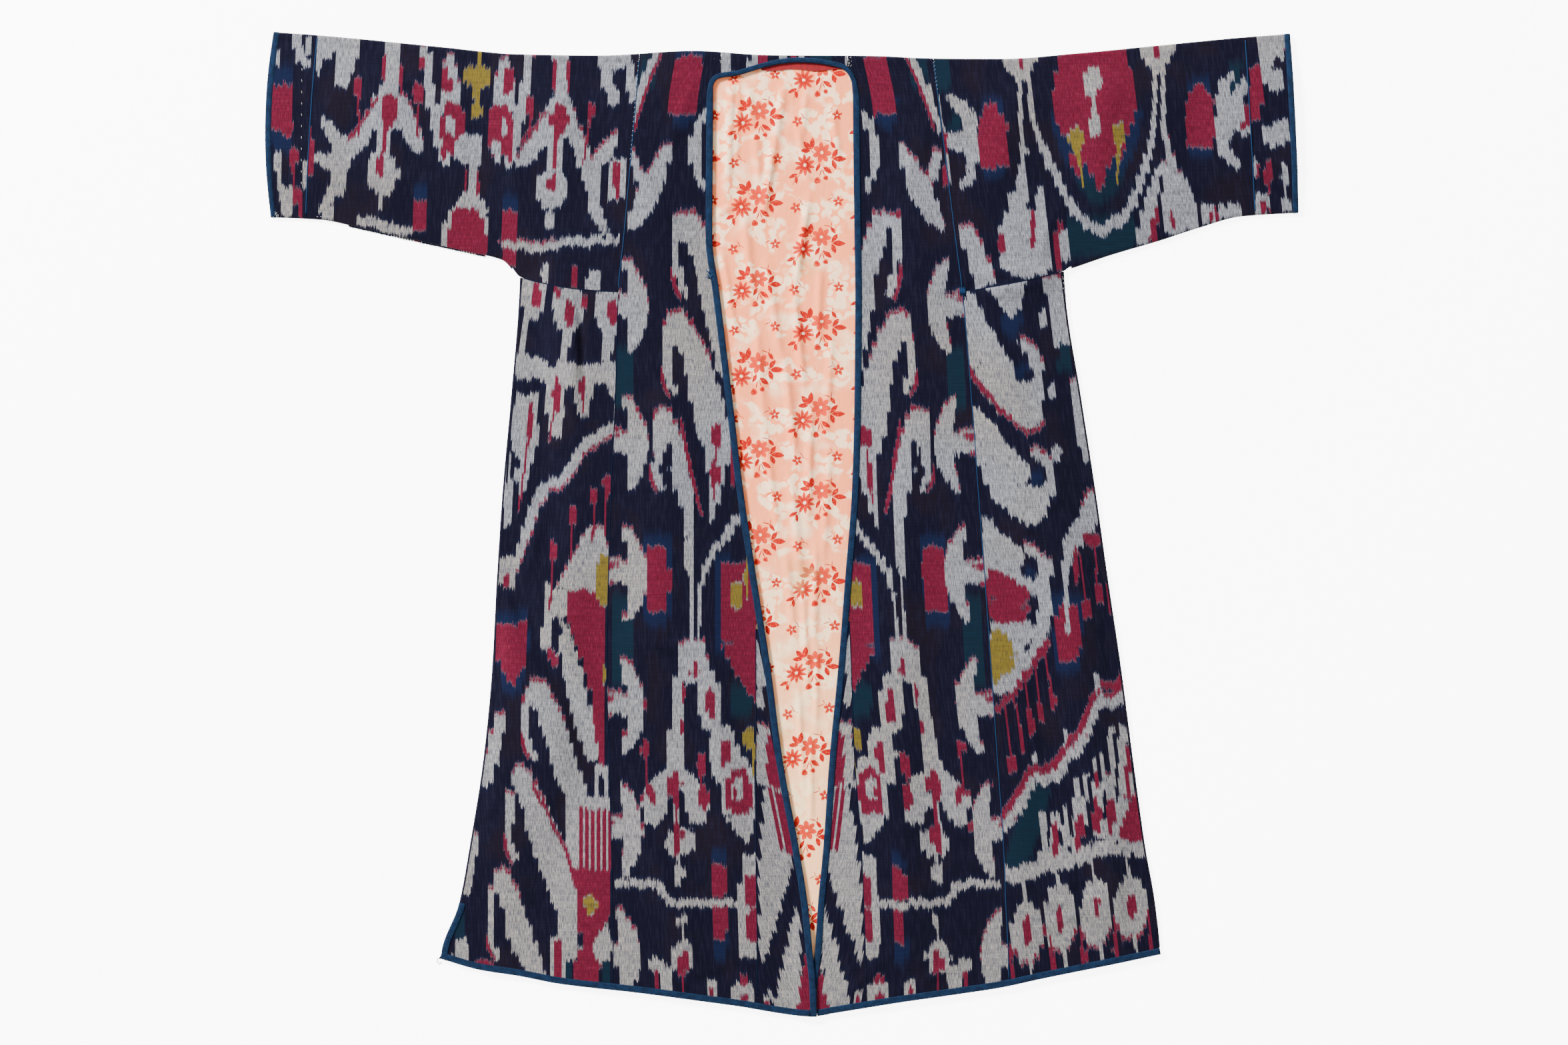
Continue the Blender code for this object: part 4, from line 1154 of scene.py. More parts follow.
def front_turn(y):
    """Sum of two mirrored places on the fronts. The right one is drawn in above the waist."""
    drawn = TURN_DRAW * ease((y - TURN_DRAW_FROM) / TURN_DRAW_REACH)
    return seam_l(y) + seam_r(y) - drawn


LEAN_COLUMNS = ("y", "shift")
FRONT_LEAN = table(
    LEAN_COLUMNS,
    (640, 17), (600, 11), (540, 2), (500, 0), (-250, 0), (-450, 3), (-640, 9),
)
front_lean_line = smooth_line(FRONT_LEAN, "y", "shift")


def lean_left(lines, y):
    return front_lean_line(y) + 0 * lines


def lean_right(lines, y):
    """The right front slants a little, because the left one's mirror line does."""
    return seam_l(y) + seam_r(y) - 2 * MIDDLE - front_lean_line(y) + 0 * lines


def body_inner(y, side):
    """Inner edge of a front: its gore or its binding, eased to the neck strip's seam above."""
    if side < 0:
        edge = np.minimum(front_edge(y, side), gore_l(y) - HALF_PARTING)
        seam, (start, reach) = NECK_SEAM_LEFT, INNER_EASE_LEFT
    else:
        edge = np.maximum(front_edge(y, side), gore_r(y) + HALF_PARTING)
        seam, (start, reach) = NECK_SEAM_RIGHT, INNER_EASE_RIGHT
    return mix(edge, seam, ease((y - start) / reach))


print("middle", round(float(MIDDLE) / MM, 1), "mm")

# %% Patches of dyed cloth


def between(first, second, side):
    """Left and right edge functions, whichever side the first edge lies on."""
    return (first, second) if side < 0 else (second, first)


def centre_y(points):
    return (points[:, 1:, 1] + points[:, :-1, 1]) / 2


def constant(value):
    return lambda y: value + 0 * y


def grid_uv(x, v_rows, u_low=0.0, u_high=1.0):
    v = np.broadcast_to(np.asarray(v_rows)[:, None], x.shape)
    return np.stack([spread(x, u_low, u_high), v], -1)


def warp_of(points, lines, lean):
    return points[..., 0] - lean(lines, points[..., 1])


def ikat_patch(outer, inner, motifs, lines, lean, uv, seed, turned=None, keep=None):
    """A grid whose columns carry the motifs' dyes."""
    dyes = dye_columns(motifs, lines, lean, seed, turned)(centre_y(outer))
    return grid_patch(outer, inner, dyes, warp_of(outer, lines, lean), uv, keep)


print("a patch keeps", len(DYE_CHANNELS) + 1, "numbers on each corner")

# %% Body cloth


def make_body_cloth():
    back_shares = even_shares(1.24, BACK_ROW)
    front_shares = even_shares(1.235, ROW)

    def back_y(x, share):
        return mix(back_hem_cloth(x), shoulder(x) - NECK_STRIP_BACK, share)

    def front_y(x, share):
        return mix(shoulder(x) - FOLD_RADIUS, hem_cloth(x), share)

    patches = []
    for side, low, high, u_low, u_high in ((-1, -240, 50, 0.0, 0.46), (1, -20, 305, 0.54, 1.0)):
        lines = column_lines(low * MM, high * MM)
        lean, turned = (lean_left, None) if side < 0 else (lean_right, front_turn)
        seam = NECK_SEAM_LEFT if side < 0 else NECK_SEAM_RIGHT
        outer_line = seam_l if side < 0 else seam_r
        back_edges = between(lambda y: back_seam(y, side) - side * HALF_PARTING,
                             constant(seam), side)
        front_edges = between(lambda y: outer_line(y) - side * HALF_PARTING,
                              lambda y: body_inner(y, side), side)
        x_back, y_back = lay_columns(lines, lean, *back_edges, back_y, back_shares)
        x_front, y_front = lay_columns(lines, lean, *front_edges, front_y, front_shares)
        x_top = x_front[0]
        floor_row = lower_points(x_top[None], (shoulder(x_top) - FOLD_RADIUS)[None])
        over, under_side = turn_points(x_top, shoulder(x_top), (0, 1))
        height = upper_left_front if side < 0 else upper
        outer, inner = stack_rows([
            lower_points(x_back, y_back), floor_row, (over[::-1], under_side[::-1]),
            upper_points(x_front, y_front, height)])
        v = np.concatenate([spread(back_shares, 0.0, 0.10),
                            np.linspace(0.105, 0.115, len(over) + 1),
                            spread(front_shares, 0.12, 1.0)])
        uv = grid_uv(outer[..., 0], v, u_low, u_high)
        patches.append(ikat_patch(outer, inner, FRONT, lines, lean, uv, 11 + side, turned))
    lines = column_lines(NECK_SEAM_LEFT, NECK_SEAM_RIGHT)
    edges = constant(NECK_SEAM_LEFT), constant(NECK_SEAM_RIGHT)
    x, y = lay_columns(lines, no_lean, *edges, back_y, back_shares)
    uv = grid_uv(x, back_shares, 0.465, 0.535)
    patches.append(ikat_patch(*lower_points(x, y), FRONT, lines, no_lean, uv, 17))
    return shell("body_cloth", patches, [ikat_cotton, backing_cotton])


body_cloth = make_body_cloth()
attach(body_cloth, "root")
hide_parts("body_panel")

# %% [markdown]
# ## The front gores
# A narrow wedge widens each front below the waist. It is cut so that its warp runs beside the
# slanting edge of the opening.

# %% Motifs of the front gores
FRONT_GORE = strokes(
    ("w", -34, -146, -29, -231, 0, 6, 10, 9), ("w", -26, -257, -20, -336, 0, 12, 24, 28, 3),
    ("r", -19, -268, -8, -344, 0, 6, 15, 20), ("w", -13, -336, -9, -432, 0, 20, 32, 42),
    ("w", -9, -430, -17, -496, 0, 42, 36, 26), ("w", -17, -494, -27, -566, 0, 26, 16, 5),
    ("r", -18, -340, -2, -420, 0, 5, 5, 5, 0, 3, 7.5, -1), ("w", 18.5, -496, 5, -629, 0, 5, 22, 32),
    ("r", 31, -554, 28, -636, 0, 4, 14, 22), ("w", -21, -604, -624, 10, 13, 10),
    ("r", -21, -610, -624, 6, 7, 5),
)

# %% Front gores
GORE_SLANT = -0.20
GORE_LEAN_FROM = -400 * MM
STRIPE_SHIFT = 1.2 * MM


def slant(rate, level=GORE_LEAN_FROM):
    return lambda lines, y: rate * (y - level) + 0 * lines


def gore_turn(y):
    """Sum of two mirrored places on the front gores."""
    return gore_l(y) + gore_r(y)


def slant_right(lines, y):
    """The left slant turned over, so that the stripes of both gores follow their own warps."""
    turned = gore_turn(y) - gore_turn(GORE_LEAN_FROM)
    return turned - slant(GORE_SLANT)(lines, y) + STRIPE_SHIFT


def make_front_gore(name, side, top_level):
    lines = column_lines(-90 * MM, 90 * MM) if side < 0 else column_lines(0.0, 170 * MM)
    lean, turned = (slant(GORE_SLANT), None) if side < 0 else (slant_right, gore_turn)
    seam, height = (gore_l, upper_left_front) if side < 0 else (gore_r, upper)
    edges = between(lambda y: seam(y) - side * HALF_PARTING, lambda y: front_edge(y, side), side)
    shares = even_shares(0.5, ROW)

    def row_y(x, share):
        return mix(top_level, hem_cloth(x), share)

    x, y = lay_columns(lines, lean, *edges, row_y, shares)
    patch = ikat_patch(*upper_points(x, y, height), FRONT_GORE, lines, lean, grid_uv(x, shares),
                       23 + side, turned)
    made = shell(name + "_cloth", [patch], [ikat_cotton, backing_cotton])
    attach(made, "root")
    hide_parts(name)
    return made


gore_cloth_left = make_front_gore("front_gore_left", -1, GORE_TOP_LEFT)
gore_cloth_right = make_front_gore("front_gore_right", 1, GORE_TOP_RIGHT)

# %% [markdown]
# ## The side gores
# A wide wedge at each side is folded round it, so that it lies on the front and on the back.
# On the left it is open below as a short slit.

# %% Motifs of the left side gore
LEFT_GORE = strokes(
    ("w", -321.5, 320, 268, 20, 33, 14), ("r", -317.5, 313, 282, 5, 13, 5),
    ("w", -276, 306, 250, 26, 42, 16), ("r", -275, 289, 257, 5, 14, 5),
    ("w", -223, 301, 250, 26, 40, 16), ("r", -219.5, 291, 261, 5, 15, 5),
    ("w", -329, 272, -337, 223, 0, 8, 8, 8), ("w", -278, 252, -283, 205, 0, 11, 11, 11),
    ("w", -224, 252, -227, 212, 0, 12, 12, 11), ("r", -290, 305, 294, 7, 10, 6),
    ("r", -255, 295, 280, 8, 10, 7), ("w", -347, 208, -330, 206, 0, 26, 32, 28),
    ("w", -332, 206, -305, 196, 0, 28, 24, 26), ("w", -305, 194, -276, 190, 0, 28, 34, 34),
    ("w", -280, 194, -214, 198, 0, 30, 26, 28), ("w", -332, 92, -338, 38, 0, 22, 16, 8),
    ("w", -291, 192, -293, 112, 0, 30, 26, 9), ("w", -257, 192, 138, 26, 22, 8),
    ("w", -220, 192, -216, 168, 0, 16, 14, 8), ("w", -328, 168, -335, 82, 0, 26, 38, 16),
    ("w", -347, 100, -353, 4, 0, 16, 12, 8), ("n", -308, 176, -313, 122, 0, 5, 8, 5),
    ("n", -279, 178, -280, 112, 0, 3, 4, 3), ("n", -301, 284, -307, 240, 0, 8, 22, 38),
    ("n", -307, 242, -297, 203, 0, 40, 26, 8), ("n", -254, 240, 205, 18, 34, 20),
    ("n", -349, 150, -352, 96, 0, 3, 3, 3), ("r", -291.5, 187, 143, 5, 11, 4),
    ("r", -295, 146, -301, 111, 0, 3, 3, 3), ("r", -257, 189, 160, 5, 10, 4),
    ("r", -257, 162, -258, 144, 0, 3, 3, 3), ("r", -326, 156, 109, 4, 8, 4),
    ("r", -328, 110, -340, 24, 0, 3, 3, 3), ("n", -344, 98, -348, 56, 0, 5, 8, 5),
    ("w", -358, 100, 0, 4, 4, 4), ("w", -211, 150, 80, 10, 12, 10), ("r", -215, 120, 95, 4, 5, 4),
    ("w", -238, -3, -244, -32, 0, 16, 30, 38, 4), ("w", -243, -30, -258, -88, 0, 36, 54, 68, 4),
    ("w", -284, -84, -300, -125, 0, 44, 34, 18), ("w", -300, -120, -307, -152, 0, 18, 14, 12),
    ("r", -254, -86, -112, 42, 50, 52), ("r", -254, -108, -238, -212, 0, 52, 36, 18),
    ("r", -238, -208, -234, -312, 0, 18, 14, 10), ("w", -284, -128, -265, -220, 0, 12, 21, 24),
    ("w", -265, -218, -245, -302, 0, 24, 24, 14), ("g", -231, -38, -101, 10, 18, 12),
    ("g", -230.5, -179, -201, 3, 5, 3), ("w", -308, -148, -291, -172, 2, 12, 12, 8),
    ("r", -300, -160, -293, -180, 0, 7, 12, 8), ("n", -292, -117, -151, 8, 14, 8),
    ("w", -355, -43, -79, 16, 20, 16), ("r", -355, -55, -79, 8, 12, 8),
    ("b", -348, -112, -217, 38, 40, 20), ("r", -348, -127, -185, 38, 40, 34),
    ("r", -348, -183, -203, 32, 18, 5), ("w", -362, -244, -385, -336, 0, 10, 18, 12, 6),
    ("w", -318, -205, -292, -272, -2, 18, 28, 30, 6), ("w", -292, -268, -275, -330, 0, 30, 30, 30),
    ("w", -275, -328, -256, -361, 0, 30, 26, 18), ("w", -328, -214, -332, -271, 0, 10, 10, 9, 5),
    ("w", -331, -270, -318, -301, 3, 8, 10, 7), ("r", -336, -272, -325, -303, 3, 3, 5, 3),
    ("n", -322, -240, -308, -285, 0, 5, 10, 4), ("w", -234, -309, -351, 16, 18, 16),
    ("n", -233.5, -322, -351, 10, 11, 10), ("w", -250, -350, -452, 56, 60, 56),
    ("r", -260, -365, -260, -446, 0, 5, 5, 5, 0, 6, 7.5, 0),
    ("w", -280, -500, -272, -560, 0, 18, 26, 22), ("w", -235, -512, -558, 12, 30, 26),
    ("r", -247, -444, -508, 50, 52, 44), ("r", -248, -506, -252, -538, 0, 42, 28, 10),
    ("r", -252, -534, -253, -570, 0, 9, 20, 38), ("r", -253, -568, -600, 36, 30, 12),
    ("g", -248, -477, -499, 4, 17, 4), ("w", -341, -320, -320, -370, -2, 20, 28, 32, 6),
    ("w", -320, -366, -300, -420, 0, 32, 38, 40), ("w", -300, -416, -285, -470, 0, 40, 38, 34),
    ("w", -285, -468, -270, -522, 0, 34, 26, 8), ("w", -350, -343, -354, -401, 0, 10, 10, 9, 5),
    ("w", -353, -400, -343, -431, 3, 9, 10, 7), ("r", -358, -400, -349, -433, 3, 3, 5, 3),
    ("n", -341, -358, -333, -402, 0, 6, 11, 4), ("w", -363, -449, -350, -500, -1, 18, 26, 30, 6),
    ("w", -350, -498, -330, -550, 0, 30, 30, 30), ("w", -330, -548, -315, -588, 0, 30, 26, 18),
    ("w", -373, -468, -377, -531, 0, 9, 9, 9, 5), ("w", -376, -530, -366, -556, 3, 8, 9, 7),
    ("r", -381, -530, -372, -556, 3, 3, 5, 3), ("n", -366, -489, -362, -516, 0, 7, 12, 5),
    ("w", -398, -398, -408, -477, 0, 9, 13, 10, 5), ("w", -415, -535, -567, 14, 20, 14),
    ("r", -386, -560, -573, 16, 22, 16), ("w", -290, -530, -587, 20, 20, 20),
    ("r", -290, -535, -587, 10, 10, 9), ("t", -277, -540, -592, 7, 7, 7),
    ("t", -227, -545, -602, 10, 10, 10), ("r", -215, -535, -592, 4, 4, 4),
    ("t", -418, -500, -542, 13, 13, 13),
) + clubs(
    (-245, -21, -243, 30, -242.5, 49, 9), (-229, -11, -227, 42, -227, 66, 10),
    (-273, -46, -271, 0, -270.5, 23, 11), (-300, -111, -297, -45, -296, -21, 12),
) + chain(
    "w", 12, -5, (-213, 132), (-245, 110), (-260, 95), (-272, 75), (-285, 57), (-305, 50),
    (-318, 30), (-325, 5), (-338, -30), (-346, -52), (-366, -60),
) + chain("r", 4.5, 0, (-322, -335), (-303, -372), (-279, -420), (-266, -468))
print(len(LEFT_GORE), "strokes on the left side gore")

# %% Motifs of the right side gore
RIGHT_GORE = strokes(
    ("b", 294, 274, 240, 20, 26, 8), ("w", 287, 312, 297, 270, 0, 56, 34, 12),
    ("w", 237, 302, 248, 254, 0, 8, 20, 30), ("w", 248, 256, 262, 208, 0, 30, 42, 50),
    ("w", 262, 210, 298, 160, 0, 50, 52, 58), ("w", 302, 170, 324, 126, 0, 62, 48, 22),
    ("w", 329, 158, 328, 206, 0, 16, 14, 14), ("w", 328, 203, 306, 236, 3, 16, 14, 8, 5),
    ("n", 309, 214, 307, 184, 0, 10, 20, 12), ("b", 307, 205, 188, 14, 14, 10),
    ("w", 244, 150, 258, 118, 0, 12, 22, 32), ("w", 258, 120, 272, 84, 0, 32, 40, 46),
    ("w", 272, 86, 300, 46, 0, 46, 56, 64), ("w", 308, 48, 324, 2, 0, 80, 58, 22),
    ("w", 344, 36, 343, 70, 0, 13, 12, 12), ("w", 343, 68, 322, 94, 3, 14, 13, 8, 5),
    ("n", 329, 78, 327, 48, 0, 10, 22, 14), ("b", 327, 68, 50, 16, 16, 10),
    ("r", 242, 125, 90, 6, 8, 6), ("w", 335, 275, 255, 6, 12, 5), ("w", 347, 181, 164, 6, 12, 5),
    ("w", 352, 102, 82, 6, 12, 5), ("w", 345, 320, 362, 233, 0, 20, 22, 20, 6),
    ("t", 363, 272, 198, 17, 17, 17), ("w", 380, 190, 396, 84, 0, 16, 26, 18, 3),
    ("w", 402, 42, 396, 8, 0, 18, 25, 25, 6), ("w", 396, 12, 372, -22, 0, 25, 24, 22),
    ("w", 372, -18, 363, -62, 0, 22, 14, 8), ("b", 367, -90, -192, 36, 38, 26),
    ("r", 367, -103, -177, 18, 36, 16), ("w", 363, -60, 367, -142, 0, 6, 6, 6),
    ("r", 377, -28, -77, 3, 7, 4), ("r", 398, -12, -26, 16, 24, 14),
    ("r", 418, -29, 421, -111, 0, 4, 6, 4), ("w", 262, 8, 269, -24, 0, 8, 20, 32),
    ("w", 269, -22, 288, -56, 0, 32, 48, 58), ("w", 290, -54, 318, -96, 0, 58, 60, 40),
    ("w", 337, -48, -130, 16, 18, 16), ("w", 316, -30, 337, -52, 2, 10, 16, 16, 5),
    ("w", 284, -120, 300, -160, 0, 26, 58, 60), ("r", 269, -58, 283, -92, 0, 8, 32, 46),
    ("r", 283, -90, 298, -112, 0, 46, 58, 54), ("r", 295, -110, 297, -131, 0, 50, 36, 14),
    ("n", 318, -42, -72, 12, 20, 14), ("b", 317, -60, -72, 14, 14, 10),
    ("w", 285, -128, -215, 30, 48, 30), ("g", 274, -136, 285, -172, 0, 12, 28, 33),
    ("g", 285, -170, 276, -214, 0, 33, 28, 8), ("w", 337, -58, -102, 12, 14, 14),
    ("w", 337, -98, 330, -162, 0, 14, 16, 14), ("w", 331, -156, 308, -190, 0, 14, 18, 18),
    ("w", 314, -184, 275, -214, 0, 18, 20, 14), ("t", 334, -338, 296, -444, 0, 26, 32, 28),
    ("w", 336, -372, -440, 6, 9, 12), ("w", 350, -376, -440, 12, 14, 16),
    ("w", 364, -364, -436, 6, 8, 12), ("w", 378, -330, 379, -430, 0, 7, 11, 16),
    ("w", 390, -325, 391, -400, 0, 6, 9, 8), ("w", 400, -302, 407, -400, 0, 5, 9, 18),
    ("w", 411, -292, 416, -400, 0, 6, 9, 18), ("w", 422, -262, 426, -400, 0, 8, 10, 18),
    ("w", 437, -258, -400, 10, 13, 18), ("w", 449, -296, 451, -400, 0, 5, 6, 16),
    ("w", 461, -330, 463, -405, 0, 5, 6, 16), ("w", 428, -345, 424, -404, 0, 18, 40, 44),
    ("r", 351, -384, -433, 3, 8, 6), ("r", 381, -374, -427, 4, 10, 6),
    ("r", 402, -320, 404, -366, 0, 3, 4, 8), ("r", 404, -364, -398, 8, 11, 4),
    ("r", 417, -318, 420, -360, 0, 3, 4, 8), ("r", 420, -358, 421, -396, 0, 8, 12, 4),
    ("r", 443.5, -284, 444.5, -352, 0, 3, 6, 8), ("r", 456, -344, 448, -414, 0, 8, 26, 36),
    ("n", 342.5, -374, -404, 3, 5, 4), ("n", 370.5, -352, -394, 3, 4, 4),
    ("n", 394, -356, 395, -415, 0, 4, 8, 12), ("n", 429, -266, 430.5, -356, 0, 3, 4, 4),
    ("n", 414, -340, -380, 3, 4, 3), ("w", 314, -490, -561, 20, 40, 18, -6),
    ("w", 357, -468, -549, 20, 42, 18, -6), ("w", 403, -460, -541, 20, 40, 18, -6),
    ("w", 448, -456, -529, 20, 44, 18, -6), ("r", 315, -505, -540, 5, 14, 5),
    ("r", 356, -492, -525, 5, 12, 5), ("r", 403, -480, -505, 5, 10, 5),
    ("r", 449, -478, -508, 5, 12, 5), ("w", 307, -438, 312, -496, 0, 4, 4, 6),
    ("w", 350, -438, 356, -474, 0, 4, 4, 5), ("w", 396, -430, 402, -466, 0, 4, 4, 5),
    ("w", 441, -425, 447, -462, 0, 4, 4, 5), ("w", 317, -554, 320, -580, 0, 5, 5, 4),
    ("w", 361, -544, 365, -577, 0, 5, 5, 4), ("w", 407, -534, 411, -564, 0, 5, 5, 4),
    ("w", 453, -524, 457, -557, 0, 5, 5, 4),
) + clubs(
    (383, -34, 389, -95, 391, -120, 11), (400, -19, 405, -75, 407.5, -100, 12),
    (285, -235, 293, -298, 295, -321, 10), (298, -225, 305, -263, 308, -291, 10),
    (312, -205, 318, -243, 321, -273, 10), (325, -180, 331, -233, 334, -256, 10),
    (337, -160, 345, -213, 348, -238, 10), (292, -545, 295, -572, 297, -592, 9),
    (345, -530, 348, -556, 350, -577, 9), (383, -520, 386, -546, 388, -567, 9),
    (425, -505, 428, -534, 430, -557, 9), (470, -495, 473, -528, 475, -552, 9),
) + chain(
    "w", 13, 5, (441, -214), (434, -222), (418, -234), (405, -222), (396, -250), (389, -270),
    (379, -292), (364, -299), (357, -320), (344, -331), (323, -329), (312, -345), (297, -376),
    (282, -388),
) + strokes(
    ("w", 403, -192, 404, -224, 0, 3, 5, 8), ("w", 363.5, -268, 364, -300, 0, 3, 5, 8),
    ("w", 323, -302, -332, 3, 5, 8),
) + chain(
    "r", 6, 4, (437, -190), (431, -209), (409, -210), (398, -226), (391, -246), (382, -270),
    (370, -278), (357, -300), (346, -318), (329, -318), (314, -322), (304, -344), (292, -364),
    (280, -374),
) + chain(
    "w", 19, 0, (280, -450), (305, -452), (330, -440), (352, -438), (375, -433), (400, -419),
    (428, -412), (450, -419), (474, -412),
) + chain(
    "r", 6, 0, (238, 206), (248, 187), (264, 165), (282, 143), (300, 128), (319, 117), (338, 131),
) + chain("r", 8, 0, (341, -150), (323, -183), (302, -212), (273, -240))

print(len(RIGHT_GORE), "strokes on the right side gore")

# %% Lean of the left side gore
SLIT_TURN = 4 * MM
SLIT_REACH = 8.6 * MM
SLIT_INSET = 1.5 * MM
BACK_COLUMN = 12 * MM
LEAN_FROM, LEAN_REACH = -230 * MM, 110 * MM
LEFT_GORE_LEAN = table(
    LEAN_COLUMNS,
    (300, 35), (200, 22), (50, 10), (-100, 4), (-300, 0), (-600, 0),
)
left_gore_lean_line = smooth_line(LEFT_GORE_LEAN, "y", "shift")


def lean_left_gore(lines, y):
    """The warp leans more towards the gore's outer edge, and least beside its seam."""
    share = np.clip((LEAN_FROM - lines) / LEAN_REACH, 0, 1)
    return left_gore_lean_line(y) * (0.3 + 0.7 * share)


print("most lean", max(row["shift"] for row in LEFT_GORE_LEAN), "mm")

# %% Side gores


def make_side_gore(name, side, edge, seam, motifs, lean, low, high, slit):
    lines = column_lines(low * MM, high * MM)
    back_lines = np.arange(low * MM, high * MM + BACK_COLUMN, BACK_COLUMN)
    upper_shares, lower_shares = even_shares(0.79, ROW), even_shares(0.085, ROW)

    def rows_of(columns, seam_line, bottom, inset, lean_of):
        """The grid above the slit's top, and then the one below it."""

        def below_sleeve(x, share):
            return mix(under(x) - PARTING, SLIT_TOP + 0 * x, share)

        def beside_slit(x, share):
            return mix(SLIT_TOP - SLIT_TURN + 0 * x, bottom(x), share)

        parts = []
        for shares, row_y, is_slit in ((upper_shares, below_sleeve, False),
                                       (lower_shares, beside_slit, slit)):
            reach = SLIT_REACH + inset if is_slit else FOLD_RADIUS
            edges = between(lambda y: edge(y) - side * reach,
                            lambda y: seam_line(y) + side * HALF_PARTING, side)
            parts.append(lay_columns(columns, lean_of, *edges, row_y, shares))
        return stack_rows(parts)

    x_front, y_front = rows_of(lines, seam, hem_cloth, 0.0, lean)
    x_back, y_back = rows_of(back_lines, lambda y: back_seam(y, side), back_hem_cloth,
                             SLIT_INSET, no_lean)
    front_at, back_at = (0, 0) if side < 0 else (-1, -1)
    y_edge = y_front[:, front_at]
    over, under_side = turn_points(edge(y_edge), y_edge, (side, 0))
    for k, pair in enumerate(zip(over, under_side)):
        for points in pair:
            points[:, 1] = mix(y_edge, y_back[:, back_at], (k + 1) / (len(over) + 1))
    turn = np.stack(over, 1), np.stack(under_side, 1)
    front, back = upper_points(x_front, y_front), lower_points(x_back, y_back)
    back = tuple(points[:, ::-1] for points in back)
    if side < 0:
        turn = tuple(points[:, ::-1] for points in turn)
        outer, inner = stack_rows([back, turn, front], axis=1)
    else:
        outer, inner = stack_rows([front, turn, back], axis=1)
    turns, backs, fronts = len(over), len(back_lines), len(lines)
    keep = np.ones((outer.shape[0] - 1, outer.shape[1] - 1), bool)
    if slit:
        keep[len(upper_shares) - 1:, backs - 1:backs + turns] = False
    dyes = undyed(outer)
    warp = np.broadcast_to(outer[..., 0], outer.shape[:2]).copy()
    first = outer.shape[1] - fronts if side < 0 else 0
    read = dye_columns(motifs, lines, lean, 31 + side)
    dyes[:, :, first:first + fronts - 1] = read(centre_y(front[0]))
    warp[:, first:first + fronts] = warp_of(front[0], lines, lean)
    u = np.concatenate([np.linspace(0, 0.09, backs + turns), spread(lines, 0.1, 1.0)])
    u = u if side < 0 else 1 - u[::-1]
    v = spread(np.arange(outer.shape[0]), 0.0, 1.0)
    uv = np.stack(np.broadcast_arrays(u[None, :], v[:, None]), -1)
    patch = grid_patch(outer, inner, dyes, warp, uv, keep)
    made = shell(name + "_cloth", [patch], [ikat_cotton, backing_cotton])
    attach(made, "root")
    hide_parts(name)
    return made


side_cloth_left = make_side_gore(
    "side_gore_left", -1, side_l, seam_l, LEFT_GORE, lean_left_gore, -450, -195, True)
side_cloth_right = make_side_gore(
    "side_gore_right", 1, side_r, seam_r, RIGHT_GORE, slant(-0.12, -300 * MM), 180, 560, False)

# %% [markdown]
# ## Sleeves and cuffs
# Each sleeve is one loom width, sewn into a tube and pressed flat. A grid runs up its front, over
# the fold, down its back and round the underarm. The last row lies on the first, so that the
# tube closes.

